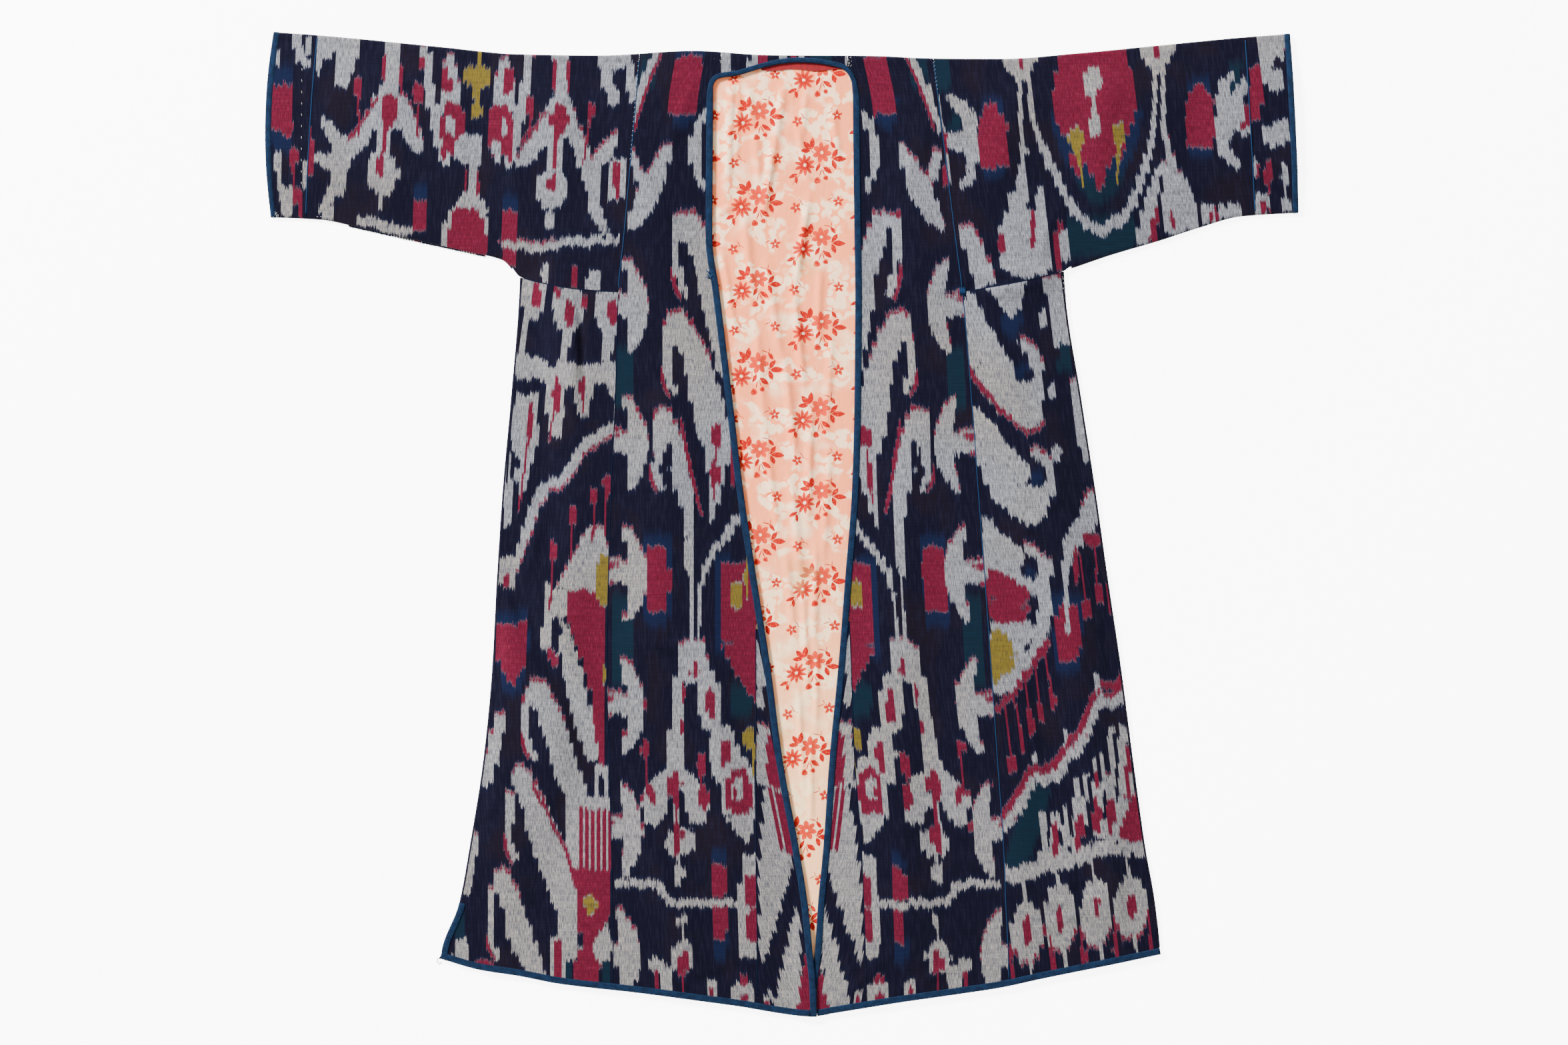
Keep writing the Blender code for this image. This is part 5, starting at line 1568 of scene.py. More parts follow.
# %% Motifs of the left sleeve
LEFT_SLEEVE = strokes(
    ("w", -574, 634, 602, 54, 54, 52), ("w", -598, 606, 580, 6, 6, 4),
    ("w", -562, 606, -568, 566, 0, 24, 26, 12), ("n", -579, 608, -580, 578, 0, 4, 8, 5),
    ("w", -594, 524, -572, 488, -2, 8, 14, 18), ("w", -571, 500, -574, 428, -3, 18, 22, 16),
    ("w", -573, 440, -596, 404, 0, 16, 12, 6), ("w", -604, 474, -580, 466, 0, 8, 15, 18),
    ("r", -609, 510, 450, 6, 8, 6), ("w", -502, 624, -504, 550, 0, 20, 20, 24),
    ("r", -513, 602, -514, 570, 0, 3, 5, 3), ("r", -492, 592, -491, 556, 0, 3, 5, 3),
    ("w", -508, 562, 512, 26, 36, 30), ("w", -520, 541, -562, 475, -4, 20, 19, 14, 4),
    ("w", -494, 548, -466, 480, 3, 20, 22, 14, 4), ("r", -505, 556, -508, 514, 0, 8, 24, 9),
    ("w", -513, 514, -515, 470, 0, 18, 15, 16), ("r", -510, 518, -515, 474, 0, 6, 5, 5),
    ("w", -516, 478, 426, 18, 42, 16), ("r", -517, 476, -518, 446, 0, 5, 12, 4),
    ("w", -518, 430, -519, 404, 0, 8, 6, 8), ("g", -391, 612, 589, 5, 8, 6),
    ("g", -393.5, 592, 565, 16, 38, 16), ("g", -393, 566, 545, 8, 10, 8),
    ("g", -394.5, 547, 526, 5, 15, 5), ("w", -402, 503, 466, 28, 34, 22),
    ("w", -400, 470, -401, 424, 0, 15, 14, 16), ("r", -408, 455, -409, 424, 0, 3, 4, 3),
    ("r", -393, 455, 424, 3, 4, 3), ("w", -402, 428, -403, 400, 0, 18, 36, 48),
    ("w", -408, 402, 350, 48, 58, 58), ("r", -407, 408, 346, 30, 47, 47),
    ("b", -467.5, 436, 412, 18, 20, 18), ("r", -467.5, 415, 378, 18, 19, 16),
    ("b", -352, 424, 400, 18, 20, 18), ("r", -352, 403, 335, 18, 21, 16),
    ("w", -364, 362, -288, 360, 3, 8, 10, 9, 3), ("w", -290, 362, -210, 364, -3, 9, 10, 8),
    ("w", -285, 608, -286, 540, 0, 20, 19, 22), ("r", -294, 600, -295, 560, 0, 3, 5, 3),
    ("r", -276, 596, 556, 3, 5, 3), ("w", -288, 548, 498, 26, 36, 28),
    ("w", -299, 526, -340, 464, -4, 20, 20, 15, 4), ("w", -278, 530, -260, 488, 3, 20, 20, 18, 4),
    ("w", -260, 492, -245, 428, 2, 18, 16, 8, 0), ("r", -287, 541, -288, 501, 0, 8, 23, 9),
    ("w", -292, 502, -294, 450, 0, 17, 14, 16), ("r", -291, 504, -295, 452, 0, 6, 5, 5),
    ("w", -297, 456, -299, 408, 0, 18, 42, 16), ("r", -296, 451, -297, 427, 0, 4, 12, 4),
    ("w", -299, 412, -300, 398, 0, 4, 4, 4), ("w", -300, 401, 381, 5, 11, 5),
    ("w", -216, 607, 588, 40, 42, 40, 5), ("w", -229, 600, 562, 14, 15, 16),
    ("w", -222, 566, -217, 540, 0, 15, 14, 8), ("w", -195, 592, 545, 10, 11, 10),
    ("w", -216, 498, -240, 468, -2, 12, 16, 18, 5), ("w", -241, 472, -246, 410, 0, 18, 16, 14),
    ("w", -245, 412, -229, 378, 0, 14, 14, 10), ("w", -214, 468, 418, 20, 26, 20),
    ("r", -213.5, 465, 420, 6, 9, 6), ("n", -228, 452, 420, 5, 9, 5),
    ("w", -307, 336, 314, 8, 10, 8), ("w", -244, 325, 300, 14, 18, 14),
    ("r", -268, 330, 306, 6, 9, 6), ("w", -550, 394, -480, 376, 0, 9, 12, 9),
    ("w", -586, 412, 394, 14, 16, 14),
) + clubs(
    (-546, 500, -546.5, 550, -546.5, 576, 11), (-470, 497, -470.5, 540, -470.5, 568, 13),
    (-326, 500, -325, 524, -324.5, 551, 12), (-257, 465, -248, 525, -247, 546, 10),
) + chain("r", 4.5, 0, (-521, 549), (-534, 531), (-548, 511), (-560, 492)) + chain(
    "r", 4.5, 0, (-303, 533), (-322, 510), (-338, 489),
)
RAM_HORN = strokes(
    ("r", -463, 616, -444, 500, 3, 10, 9, 5), ("w", -460, 616, -446, 517, 3, 10, 12, 14),
    ("w", -447, 520, -434, 460, 0, 14, 14, 10), ("w", -429, 600, -430, 528, 0, 8, 26, 26, 4),
    ("r", -436, 586, -432, 552, 0, 9, 11, 9), ("r", -424, 540, 476, 18, 34, 22),
    ("w", -427, 522, -428, 500, 0, 6, 10, 7), ("r", -436, 486, -437, 466, 0, 7, 7, 4),
    ("w", -418, 494, -420, 470, 0, 8, 10, 8),
)
LEFT_SLEEVE = RAM_HORN + mirrored(RAM_HORN, -394) + LEFT_SLEEVE
print(len(LEFT_SLEEVE), "strokes on the left sleeve")

# %% Motifs of the right sleeve
RIGHT_SLEEVE = strokes(
    ("t", 203, 602, 558, 24, 24, 24), ("w", 212, 552, 240, 526, 0, 7, 15, 17),
    ("w", 241, 528, 458, 17, 18, 18), ("w", 248, 450, 228, 437, 0, 16, 12, 8),
    ("w", 202, 492, 236, 494, 0, 22, 22, 28), ("w", 200, 546, 214, 440, 0, 5, 6, 6),
    ("r", 207, 505, 475, 7, 10, 7), ("r", 203, 455, 430, 8, 11, 7),
    ("n", 227, 479, 454, 12, 18, 12), ("t", 222, 531, 504, 14, 15, 14),
    ("b", 270, 548, 446, 26, 34, 22), ("r", 267, 543, 269, 514, 0, 8, 24, 36),
    ("r", 270, 518, 271, 460, 0, 36, 38, 34), ("w", 304, 604, 308, 570, 0, 46, 34, 12),
    ("r", 307, 602, 585, 8, 10, 6), ("w", 305, 574, 309, 478, 1, 5.5, 5.5, 6),
    ("w", 316, 573, 321, 520, 0, 5.5, 5.5, 6), ("w", 321, 522, 332, 490, 0, 5, 6, 7),
    ("w", 331, 493, 374, 406, 2, 8, 10, 10), ("w", 373, 408, 413, 376, 4, 10, 11, 12),
    ("w", 411, 376, 452, 418, 5, 12, 12, 10), ("w", 451, 416, 474, 494, 2, 10, 9, 7.5),
    ("w", 474, 490, 478.5, 592, 2, 7, 6, 6), ("w", 482, 620, 483, 586, 0, 48, 38, 12),
    ("r", 479, 620, 604, 8, 9, 5), ("w", 489.5, 594, 491, 496, 1, 6, 6, 7),
    ("b", 402, 590, 406, 446, 0, 60, 114, 50), ("r", 398, 630, 401, 540, 0, 62, 96, 106),
    ("r", 401, 545, 404, 486, 0, 106, 96, 56), ("r", 404, 490, 409, 430, 0, 54, 28, 4),
    ("r", 376, 478, 380, 452, 0, 14, 16, 5), ("r", 434, 498, 432, 472, 0, 14, 16, 6),
    ("w", 398, 586, 550, 12, 26, 6), ("w", 400, 552, 520, 6, 6, 6), ("w", 402, 526, 498, 6, 16, 6),
    ("g", 376, 511, 378, 480, 0, 10, 19, 8), ("g", 380, 482, 387, 434, 0, 5, 4, 2),
    ("g", 433, 516, 490, 10, 19, 8), ("g", 432, 492, 430, 441, 0, 5, 4, 2),
    ("t", 406, 482, 408, 414, 0, 84, 62, 24), ("w", 311, 482, 305, 418, 0, 6, 13, 22),
    ("w", 304, 424, 291, 328, 0, 24, 28, 26), ("w", 331, 432, 333, 398, 0, 8, 12, 14),
    ("w", 334, 402, 341, 328, 0, 14, 13, 10), ("w", 318, 402, 316, 320, 0, 18, 42, 46),
    ("r", 355, 386, 330, 8, 10, 8), ("w", 363, 376, 338, 12, 14, 12),
    ("w", 285, 391, 369, 8, 12, 8), ("r", 281, 374, 352, 6, 8, 5),
    ("w", 235, 382, 262, 308, 0, 18, 24, 26, 6), ("r", 226, 331, 304, 4, 5, 4),
    ("t", 410, 395, 346, 90, 90, 80), ("w", 491, 500, 503, 440, 0, 6, 14, 24, 3),
    ("w", 503, 446, 516, 376, 0, 24, 44, 38), ("w", 484, 464, 462, 362, 0, 5, 15, 17),
    ("r", 481, 410, 476, 364, 0, 5, 8, 8), ("r", 500, 402, 503, 382, 0, 3, 6, 4),
    ("r", 556, 412, 558, 392, 0, 4, 6, 6), ("w", 564, 412, 396, 8, 10, 8),
    ("r", 322, 402, 352, 4, 6, 4), ("b", 537, 578, 476, 26, 34, 26),
    ("r", 535, 570, 536, 542, 0, 8, 24, 36), ("r", 537, 546, 489, 36, 37, 35),
    ("w", 568, 568, 566, 478, 0, 14, 19, 16), ("w", 562, 567, 583, 578, 0, 12, 10, 6),
    ("w", 572, 518, 596, 572, 0, 22, 17, 9), ("w", 568, 522, 603, 516, 0, 34, 34, 38),
    ("w", 565, 484, 587, 461, 0, 17, 14, 8), ("r", 596, 536, 510, 7, 9, 7),
    ("t", 583, 592, 542, 16, 17, 16), ("n", 584, 506, 479, 12, 16, 12),
    ("w", 547, 413, 389, 13, 16, 13), ("r", 551, 404, 390, 4, 5, 4),
    ("w", 581, 413, 394, 18, 22, 18),
)
print(len(RIGHT_SLEEVE), "strokes on the right sleeve")

# %% Motifs of the cuffs
LEFT_CUFF = strokes(
    ("w", -627, 630, 612, 9, 10, 10), ("w", -611, 630, 610, 8, 9, 8),
    ("w", -622, 614, -618, 592, 0, 10, 14, 20), ("w", -650, 611, 592, 3, 5, 3),
    ("b", -645, 588, 558, 28, 28, 28), ("r", -645, 565, 509, 28, 28, 28),
    ("r", -638, 512, 499, 14, 14, 12), ("b", -645, 510, 478, 28, 26, 24),
    ("w", -650, 481, 456, 4, 13, 4), ("w", -649, 458, -648, 419, 0, 3.5, 3.5, 3.5),
    ("r", -631, 481, 459, 6, 14, 6), ("r", -631, 461, -630, 410, 0, 3, 3, 3),
    ("w", -640, 432, 397, 16, 18, 16), ("r", -622, 432, 398, 8, 10, 8),
    ("w", -611, 470, 436, 8, 9, 8),
)
RIGHT_CUFF = strokes(
    ("w", 630, 632, 599, 34, 36, 36, 5), ("w", 621, 602, 570, 18, 18, 16),
    ("n", 641, 601, 580, 9, 13, 9), ("w", 635, 582, 557, 20, 20, 14),
    ("r", 608.5, 591, 524, 15, 17, 15), ("w", 632, 514, 640, 488, 0, 34, 36, 26),
    ("r", 624.5, 466, 440, 5, 11, 5), ("r", 625, 442, 627, 405, 0, 2.5, 2.5, 2.5),
    ("w", 646.5, 461, 434, 4, 11, 4), ("w", 647, 436, 649, 405, 0, 3, 3, 3),
    ("w", 608, 471, 450, 4, 6, 4), ("r", 611, 468, 450, 3, 4, 3), ("w", 615, 426, 400, 18, 20, 18),
    ("r", 618, 420, 402, 6, 8, 6), ("w", 648, 416, 402, 12, 15, 12),
)

print(len(LEFT_CUFF) + len(RIGHT_CUFF), "strokes on the cuffs")

# %% Pressed tubes
SLEEVE_BACK_ROW = 20 * MM
CLOSING_REACH = 8 * MM
CUFF_WIDTHS = (56.5, 58.0)
BAND_SHARE_L, BAND_SHARE_R = (1 - (BINDING_WIDTH + PARTING) / (width * MM) for width in CUFF_WIDTHS)


def part_way(first, second, share):
    return {key: mix(first[key], second[key], share) for key in STATION_COLUMNS}


def make_tube(name, side, motifs, lean, span, front_edges, back_edges, seed, open_to=None):
    """A pressed tube. Where open_to is given, its underarm is open from there to the body."""
    lines = column_lines(span[0] * MM, span[1] * MM)

    def low_edge(x):
        if open_to is None:
            return under(x) + FOLD_RADIUS
        return under(x) + FOLD_RADIUS * ease(side * (x - open_to) / CLOSING_REACH)

    def row_y(x, share):
        return mix(low_edge(x), shoulder(x) - FOLD_RADIUS, share)

    shares = even_shares(0.26, ROW)
    back_shares = even_shares(0.26, SLEEVE_BACK_ROW)[::-1]
    x_front, y_front = lay_columns(lines, lean, *front_edges, row_y, shares)
    x_back, y_back = lay_columns(lines, lean, *back_edges, row_y, back_shares)
    x_top, x_low = x_front[-1], x_front[0]
    over, under_over = turn_points(x_top, shoulder(x_top), (0, 1))
    below, under_below = turn_points(x_low, under(x_low), (0, -1))
    front = upper_points(x_front, y_front)
    first_row = tuple(points[:1] for points in front)
    outer, inner = stack_rows([
        front, (over, under_over), lower_points(x_back, y_back),
        (below[::-1], under_below[::-1]), first_row])
    keep = np.ones((outer.shape[0] - 1, outer.shape[1] - 1), bool)
    if open_to is not None:
        closed = side * (x_low - open_to) >= CLOSING_REACH
        keep[-len(below) - 1:] = (closed[1:] & closed[:-1])[None]
    v = np.concatenate([
        spread(shares, 0.0, 0.84), np.linspace(0.845, 0.87, len(over)),
        np.linspace(0.88, 0.96, len(back_shares)), np.linspace(0.965, 0.995, len(below)), [1.0]])
    uv = grid_uv(outer[..., 0], v)
    patch = ikat_patch(outer, inner, motifs, lines, lean, uv, seed, keep=keep)
    made = shell(name + "_cloth", [patch], [ikat_cotton, backing_cotton])
    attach(made, "root")
    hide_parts(name)
    return made


print("tape takes", round(1 - BAND_SHARE_L, 2), "of the left cuff")

# %% Sleeves and cuffs


def make_sleeve(name, side, motifs, lean, span, seam, cuff_seam, corner, seed):
    def cuff_line(y):
        return station(cuff_seam, y) - side * HALF_PARTING

    def front_seam(y):
        return seam(y) + side * HALF_PARTING

    def rear_seam(y):
        return back_seam(y, side) + side * HALF_PARTING

    return make_tube(name, side, motifs, lean, span, between(cuff_line, front_seam, side),
                     between(cuff_line, rear_seam, side), seed, corner["x_under"] * MM)


def make_cuff(name, side, motifs, lean, span, cuff_seam, cuff_end, band_share, seed):
    end = part_way(cuff_seam, cuff_end, band_share)
    edges = between(lambda y: station(end, y),
                    lambda y: station(cuff_seam, y) + side * HALF_PARTING, side)
    return make_tube(name, side, motifs, lean, span, edges, edges, seed)


sleeve_cloth_left = make_sleeve(
    "sleeve_left", -1, LEFT_SLEEVE, slant(0.04, 0.5), (-640, -160),
    seam_l, CUFF_SEAM_L, CORNER_L, 41)
sleeve_cloth_right = make_sleeve(
    "sleeve_right", 1, RIGHT_SLEEVE, slant(-0.115, 0.5), (160, 640),
    seam_r, CUFF_SEAM_R, CORNER_R, 43)
cuff_cloth_left = make_cuff(
    "cuff_band_left", -1, LEFT_CUFF, slant(0.02, 0.5), (-690, -580),
    CUFF_SEAM_L, CUFF_END_L, BAND_SHARE_L, 45)
cuff_cloth_right = make_cuff(
    "cuff_band_right", 1, RIGHT_CUFF, slant(-0.115, 0.5), (570, 690),
    CUFF_SEAM_R, CUFF_END_R, BAND_SHARE_R, 47)

# %% Motifs of the neck strip
NECK_STRIP = strokes(
    ("w", -81, 560, 625, 3, 3, 3), ("w", -73, 560, -72, 612, 0, 16, 15, 12),
    ("w", -38, 560, -36, 625, 0, 12, 14, 10), ("r", -29, 560, -27, 625, 0, 10, 12, 10),
    ("w", -2, 560, 0, 625, 0, 10, 14, 12), ("r", 12, 560, 14, 625, 0, 8, 10, 8),
    ("w", 22, 560, 24, 625, 0, 5, 7, 5), ("t", 45, 560, 50, 625, 0, 30, 30, 30),
    ("w", 82, 560, 625, 3, 3, 3),
)

# %% Neck strip


def make_neck_strip():
    lines = column_lines(NECK_SEAM_LEFT, NECK_SEAM_RIGHT)
    edges = constant(NECK_SEAM_LEFT + PARTING), constant(NECK_SEAM_RIGHT - PARTING)

    def front_y(x, share):
        slope = (neck(x + MM) - neck(x - MM)) / (2 * MM)
        low = neck(x) + NECK_BINDING_WIDTH * np.hypot(1.0, slope) + 2 * PARTING
        return mix(shoulder(x) - FOLD_RADIUS, low, share)

    shares = even_shares(0.03, ROW)
    x, y = lay_columns(lines, no_lean, *edges, front_y, shares)
    x_top = x[0]
    y_low = np.stack([shoulder(x_top) - NECK_STRIP_BACK + PARTING, shoulder(x_top) - FOLD_RADIUS])
    over, under_side = turn_points(x_top, shoulder(x_top), (0, 1))
    outer, inner = stack_rows([
        lower_points(np.stack([x_top, x_top]), y_low), (over[::-1], under_side[::-1]),
        upper_points(x, y)])
    uv = grid_uv(outer[..., 0], spread(np.arange(len(outer)), 0.0, 1.0))
    patch = ikat_patch(outer, inner, NECK_STRIP, lines, no_lean, uv, 53)
    made = shell("neck_strip_cloth", [patch], [ikat_cotton, backing_cotton])
    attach(made, "root")
    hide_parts("neck_strip")
    return made


neck_cloth = make_neck_strip()

# %% [markdown]
# ## The printed lining
# The lining carries a spray of coral flowers in a half-drop repeat, over salmon cotton with pale
# blotches. Two node groups draw it all: a flower with any number of petals, and a leaf, which is
# also a stem when it is thin. The tables place them round the daisy at the middle of a spray.
# The cloth itself is one flat sheet with the soft, uneven wrinkles of washed cotton.

# %% Groups: flower and leaf
PRINT_EDGE = 0.35


def make_flower_group():
    """A flower of round or pointed petals about X, Y = 0, with its heart and its petals' tips."""
    tree = bpy.data.node_groups.new("print_flower", "ShaderNodeTree")
    start = group_inputs(tree, {"X": 0.0, "Y": 0.0, "Radius": 10.0, "Petals": 5.0, "Waist": 0.4,
                                "Turn": 0.0})
    x, y, radius, petals, waist, turn = (start[k] for k in range(6))
    reach = calculate("SQRT", plus(times(x, x), times(y, y)))
    angle = plus(calculate("ARCTAN2", y, x), turn)
    turned = times(angle, times(petals, 0.5))
    crest = calculate("ABSOLUTE", calculate("COSINE", turned))
    point = calculate("ABSOLUTE", calculate("SINE", turned))
    wave = times(calculate("POWER", crest, 0.45), calculate("MULTIPLY_ADD", point, -0.26, 1.0))
    share = plus(waist, times(minus(1.0, waist), wave))
    petal_gap = minus(times(radius, share), reach)
    heart_gap = minus(times(radius, 0.15), reach)
    group_outputs(tree, {
        "Petal": soften(petal_gap, -PRINT_EDGE, PRINT_EDGE),
        "Heart": soften(heart_gap, -PRINT_EDGE, PRINT_EDGE),
        "Tip": soften(calculate("DIVIDE", reach, radius), 0.25, 1.0),
    })
    return tree


def make_leaf_group():
    """A leaf from X, Y = 0 to Run X, Run Y, widest at its middle."""
    tree = bpy.data.node_groups.new("print_leaf", "ShaderNodeTree")
    start = group_inputs(tree, {"X": 0.0, "Y": 0.0, "Run X": 5.0, "Run Y": 0.0, "Width": 3.0})
    x, y, run_x, run_y, width = (start[k] for k in range(5))
    square = plus(times(run_x, run_x), times(run_y, run_y))
    along = plus(times(x, run_x), times(y, run_y))
    along = calculate("DIVIDE", along, square)
    across = minus(times(x, run_y), times(y, run_x))
    across = calculate("DIVIDE", calculate("ABSOLUTE", across), calculate("SQRT", square))
    belly = times(times(along, minus(1.0, along)), times(width, 2.0))
    group_outputs(tree, {"Leaf": soften(minus(belly, across), -0.2, 0.25)})
    return tree


flower_group = make_flower_group()
leaf_group = make_leaf_group()
print("flower and leaf groups ready")

# %% Tables of the print
REPEAT_ACROSS, REPEAT_ALONG, HALF_DROP = 80.0, 109.4, 54.7
DRIFT_FROM, REPEAT_DRIFT = -60.0, 0.058
DAISY_PLACE = (24.0, 36.0)
FIRST_DAISY = (27.0, 464.4)
FLOWER_COLUMNS = ("x", "y", "radius", "petals", "waist", "turn")
FLOWERS = table(
    FLOWER_COLUMNS,
    (0, 0, 14.0, 10, 0.34, 0.2), (22.5, 16.0, 13.2, 7, 0.46, 0.1), (-10, 56.4, 7.6, 5, 0.12, 0.5),
    (44, 62.4, 7.6, 5, 0.12, 0.9), (17.2, -18.9, 4.6, 3, 0.7, 0.3), (28, -15.5, 3.4, 3, 0.7, 0.9),
)
LEAF_COLUMNS = ("x0", "y0", "x1", "y1", "width")
LEAVES = table(
    LEAF_COLUMNS,
    (7.5, 19.5, -3, 29.6, 7.0), (8.4, 19.5, 9.6, 34.5, 7.0), (7.0, 18.0, -6.8, 18.2, 6.0),
    (35.8, 9.4, 43.5, 19.8, 6.0), (36.3, 8.4, 54.0, 7.6, 7.2), (35.8, 7.4, 40.6, -4.6, 6.0),
    (7.5, 19, 12, 15, 1.0), (33, 11, 37.6, 8.6, 1.0), (20.6, 3.6, 15, -7.6, 4.6),
    (24, -1.5, 35.9, -9.8, 6.0), (23, -2.5, 19, -16, 1.4), (23.2, -3, 27, -13.5, 1.4),
    (-9, -11, -21, -16.4, 4.8), (-11, -13.4, -9.6, -23.8, 4.4), (-5, -10, -16, -26, 1.1),
    (34, 29.2, 40.8, 20.2, 4.6), (24.5, 31.4, 35.5, 29.2, 1.3), (35.4, 28.6, 35.8, 35.4, 1.1),
    (-6.5, 68, -0.6, 60.5, 1.2), (-5, 61.4, 1.5, 59.8, 1.0), (0.5, 60.5, 5, 57, 0.8),
    (29, 64, 38.5, 68.5, 1.2), (38.6, 68.2, 35, 73.5, 1.0), (38, 68, 42, 65, 1.0),
)
SALMON = (0.92, 0.255, 0.105)
PALE_CREAM = (0.92, 0.67, 0.42)
AGED_CREAM = (0.92, 0.62, 0.32)
CORAL = (0.34, 0.003, 0.0008)
CORAL_PALE = (0.62, 0.055, 0.020)
STAIN = (0.50, 0.30, 0.10)
STAINS = ((22, -65, 26), (-4, -269, 22), (30, 330, 18))
# a bud has no heart, and the flower with this many petals is pinker than the others
BUD_PETALS, PINK_PETALS = 3, 7
print(len(FLOWERS), "flowers and", len(LEAVES), "leaves and stems in a spray")

# %% Place in the repeat


def wobble(value, x, y, size, seed, reach):
    """A value that noise moves a little."""
    return plus(value, times(minus(noise(x, y, size, seed), 0.5), reach))


def repeat_place(x, y):
    """Place in the half-drop repeat, measured from the daisy at the middle of a spray."""
    moved_x = wobble(x, x, y, 90.0, 1.3, 9.0)
    moved_y = wobble(y, x, y, 90.0, 4.7, 9.0)
    below = highest(minus(DRIFT_FROM, moved_y), 0.0)
    drift = times(below, REPEAT_DRIFT)
    across = plus(minus(moved_x, FIRST_DAISY[0] - DAISY_PLACE[0]), drift)
    column = calculate("FLOOR", calculate("DIVIDE", across, REPEAT_ACROSS))
    in_column = minus(across, times(column, REPEAT_ACROSS))
    along = plus(minus(moved_y, FIRST_DAISY[1] - DAISY_PLACE[1]), times(column, HALF_DROP))
    row = calculate("FLOOR", calculate("DIVIDE", along, REPEAT_ALONG))
    in_row = minus(along, times(row, REPEAT_ALONG))
    return (wobble(minus(in_column, DAISY_PLACE[0]), x, y, 6.0, 2.2, 1.0),
            wobble(minus(in_row, DAISY_PLACE[1]), x, y, 6.0, 6.1, 1.0))


print("repeat", REPEAT_ACROSS, "by", REPEAT_ALONG, "mm")

# %% Ground and sprays


def paint_ground(tree, x, y):
    """Salmon with pale blotches, which fades towards the hem."""
    lobes = add_node(tree, "ShaderNodeTexVoronoi", {"voronoi_dimensions": "2D"}, Scale=1 / 9.5,
                     Vector=add_node(tree, "ShaderNodeCombineXYZ", X=x, Y=y).outputs[0])
    patch = soften(noise(x, y, 30.0, 3.9, detail=1.0), 0.46, 0.56)
    pale = times(soften(lobes.outputs["Distance"], 0.62, 0.48), patch)
    pale = highest(pale, soften(noise(x, y, 46.0, 8.8, detail=2.0), 0.52, 0.74))
    ground = blend_colours(times(pale, 0.85), SALMON, PALE_CREAM)
    return tint(ground, AGED_CREAM, 0.6, y, 60.0, -380.0)


def paint_sprays(tree, ground, x, y):
    """The ground with its flowers and leaves over it."""
    spray_x, spray_y = repeat_place(x, y)

    def place_motif(group, row, across, along, **sizes):
        return place_group(tree, group, X=minus(spray_x, row[across]),
                           Y=minus(spray_y, row[along]), **sizes)

    petals, hearts, tips = [], [], []
    for row in FLOWERS:
        flower = place_motif(flower_group, row, "x", "y", Radius=row["radius"],
                             Petals=row["petals"], Waist=row["waist"], Turn=row["turn"])
        petals.append(flower["Petal"])
        tips.append(times(flower["Tip"], flower["Petal"]))
        if row["petals"] > BUD_PETALS:
            hearts.append(flower["Heart"])
        if row["petals"] == PINK_PETALS:
            pinker = flower["Petal"]
    leaves = [place_motif(leaf_group, row, "x0", "y0", Run_X=row["x1"] - row["x0"],
                          Run_Y=row["y1"] - row["y0"], Width=row["width"])["Leaf"]
              for row in LEAVES]
    ink = blend_colours(times(pinker, 0.5), CORAL, CORAL_PALE)
    ink = blend_colours(times(highest(*tips), 0.6), ink, CORAL_PALE)
    worn = soften(noise(x, y, 2.4, 5.2), 0.52, 0.85)
    ink = blend_colours(worn, ink, CORAL_PALE)
    cover = highest(highest(*petals), highest(*leaves))
    colour = blend_colours(cover, ground, ink)
    return blend_colours(times(highest(*hearts), 0.85), colour, PALE_CREAM)


print("ground and sprays ready")

# %% Printed cotton


def make_printed():
    made, tree, inputs = new_material("printed_cotton", 0.85, sheen=0.05)
    x, y = flat_place(tree)
    colour = paint_sprays(tree, paint_ground(tree, x, y), x, y)
    for stain_x, stain_y, reach in STAINS:
        dx, dy = minus(x, stain_x), minus(y, stain_y)
        away = calculate("SQRT", plus(times(dx, dx), times(dy, dy)))
        reached = wobble(away, x, y, 14.0, stain_x, 30.0)
        colour = tint(colour, STAIN, 0.35, reached, reach, 0.3 * reach)
    threads = place_group(tree, thread_group, Warp=x, Along=y)
    shade_colour(inputs, colour, 0.90, threads["Speck"], 0.18)
    puckers = noise(times(x, 3.0), y, 26.0, 9.4, detail=2.0)
    weave = plus(threads["Thread"], threads["Weft"])
    add_bump(inputs, plus(times(puckers, 5.0), weave), 0.5, 0.3)
    return made


printed_cotton = make_printed()
print("printed cotton has", len(printed_cotton.node_tree.nodes), "nodes")

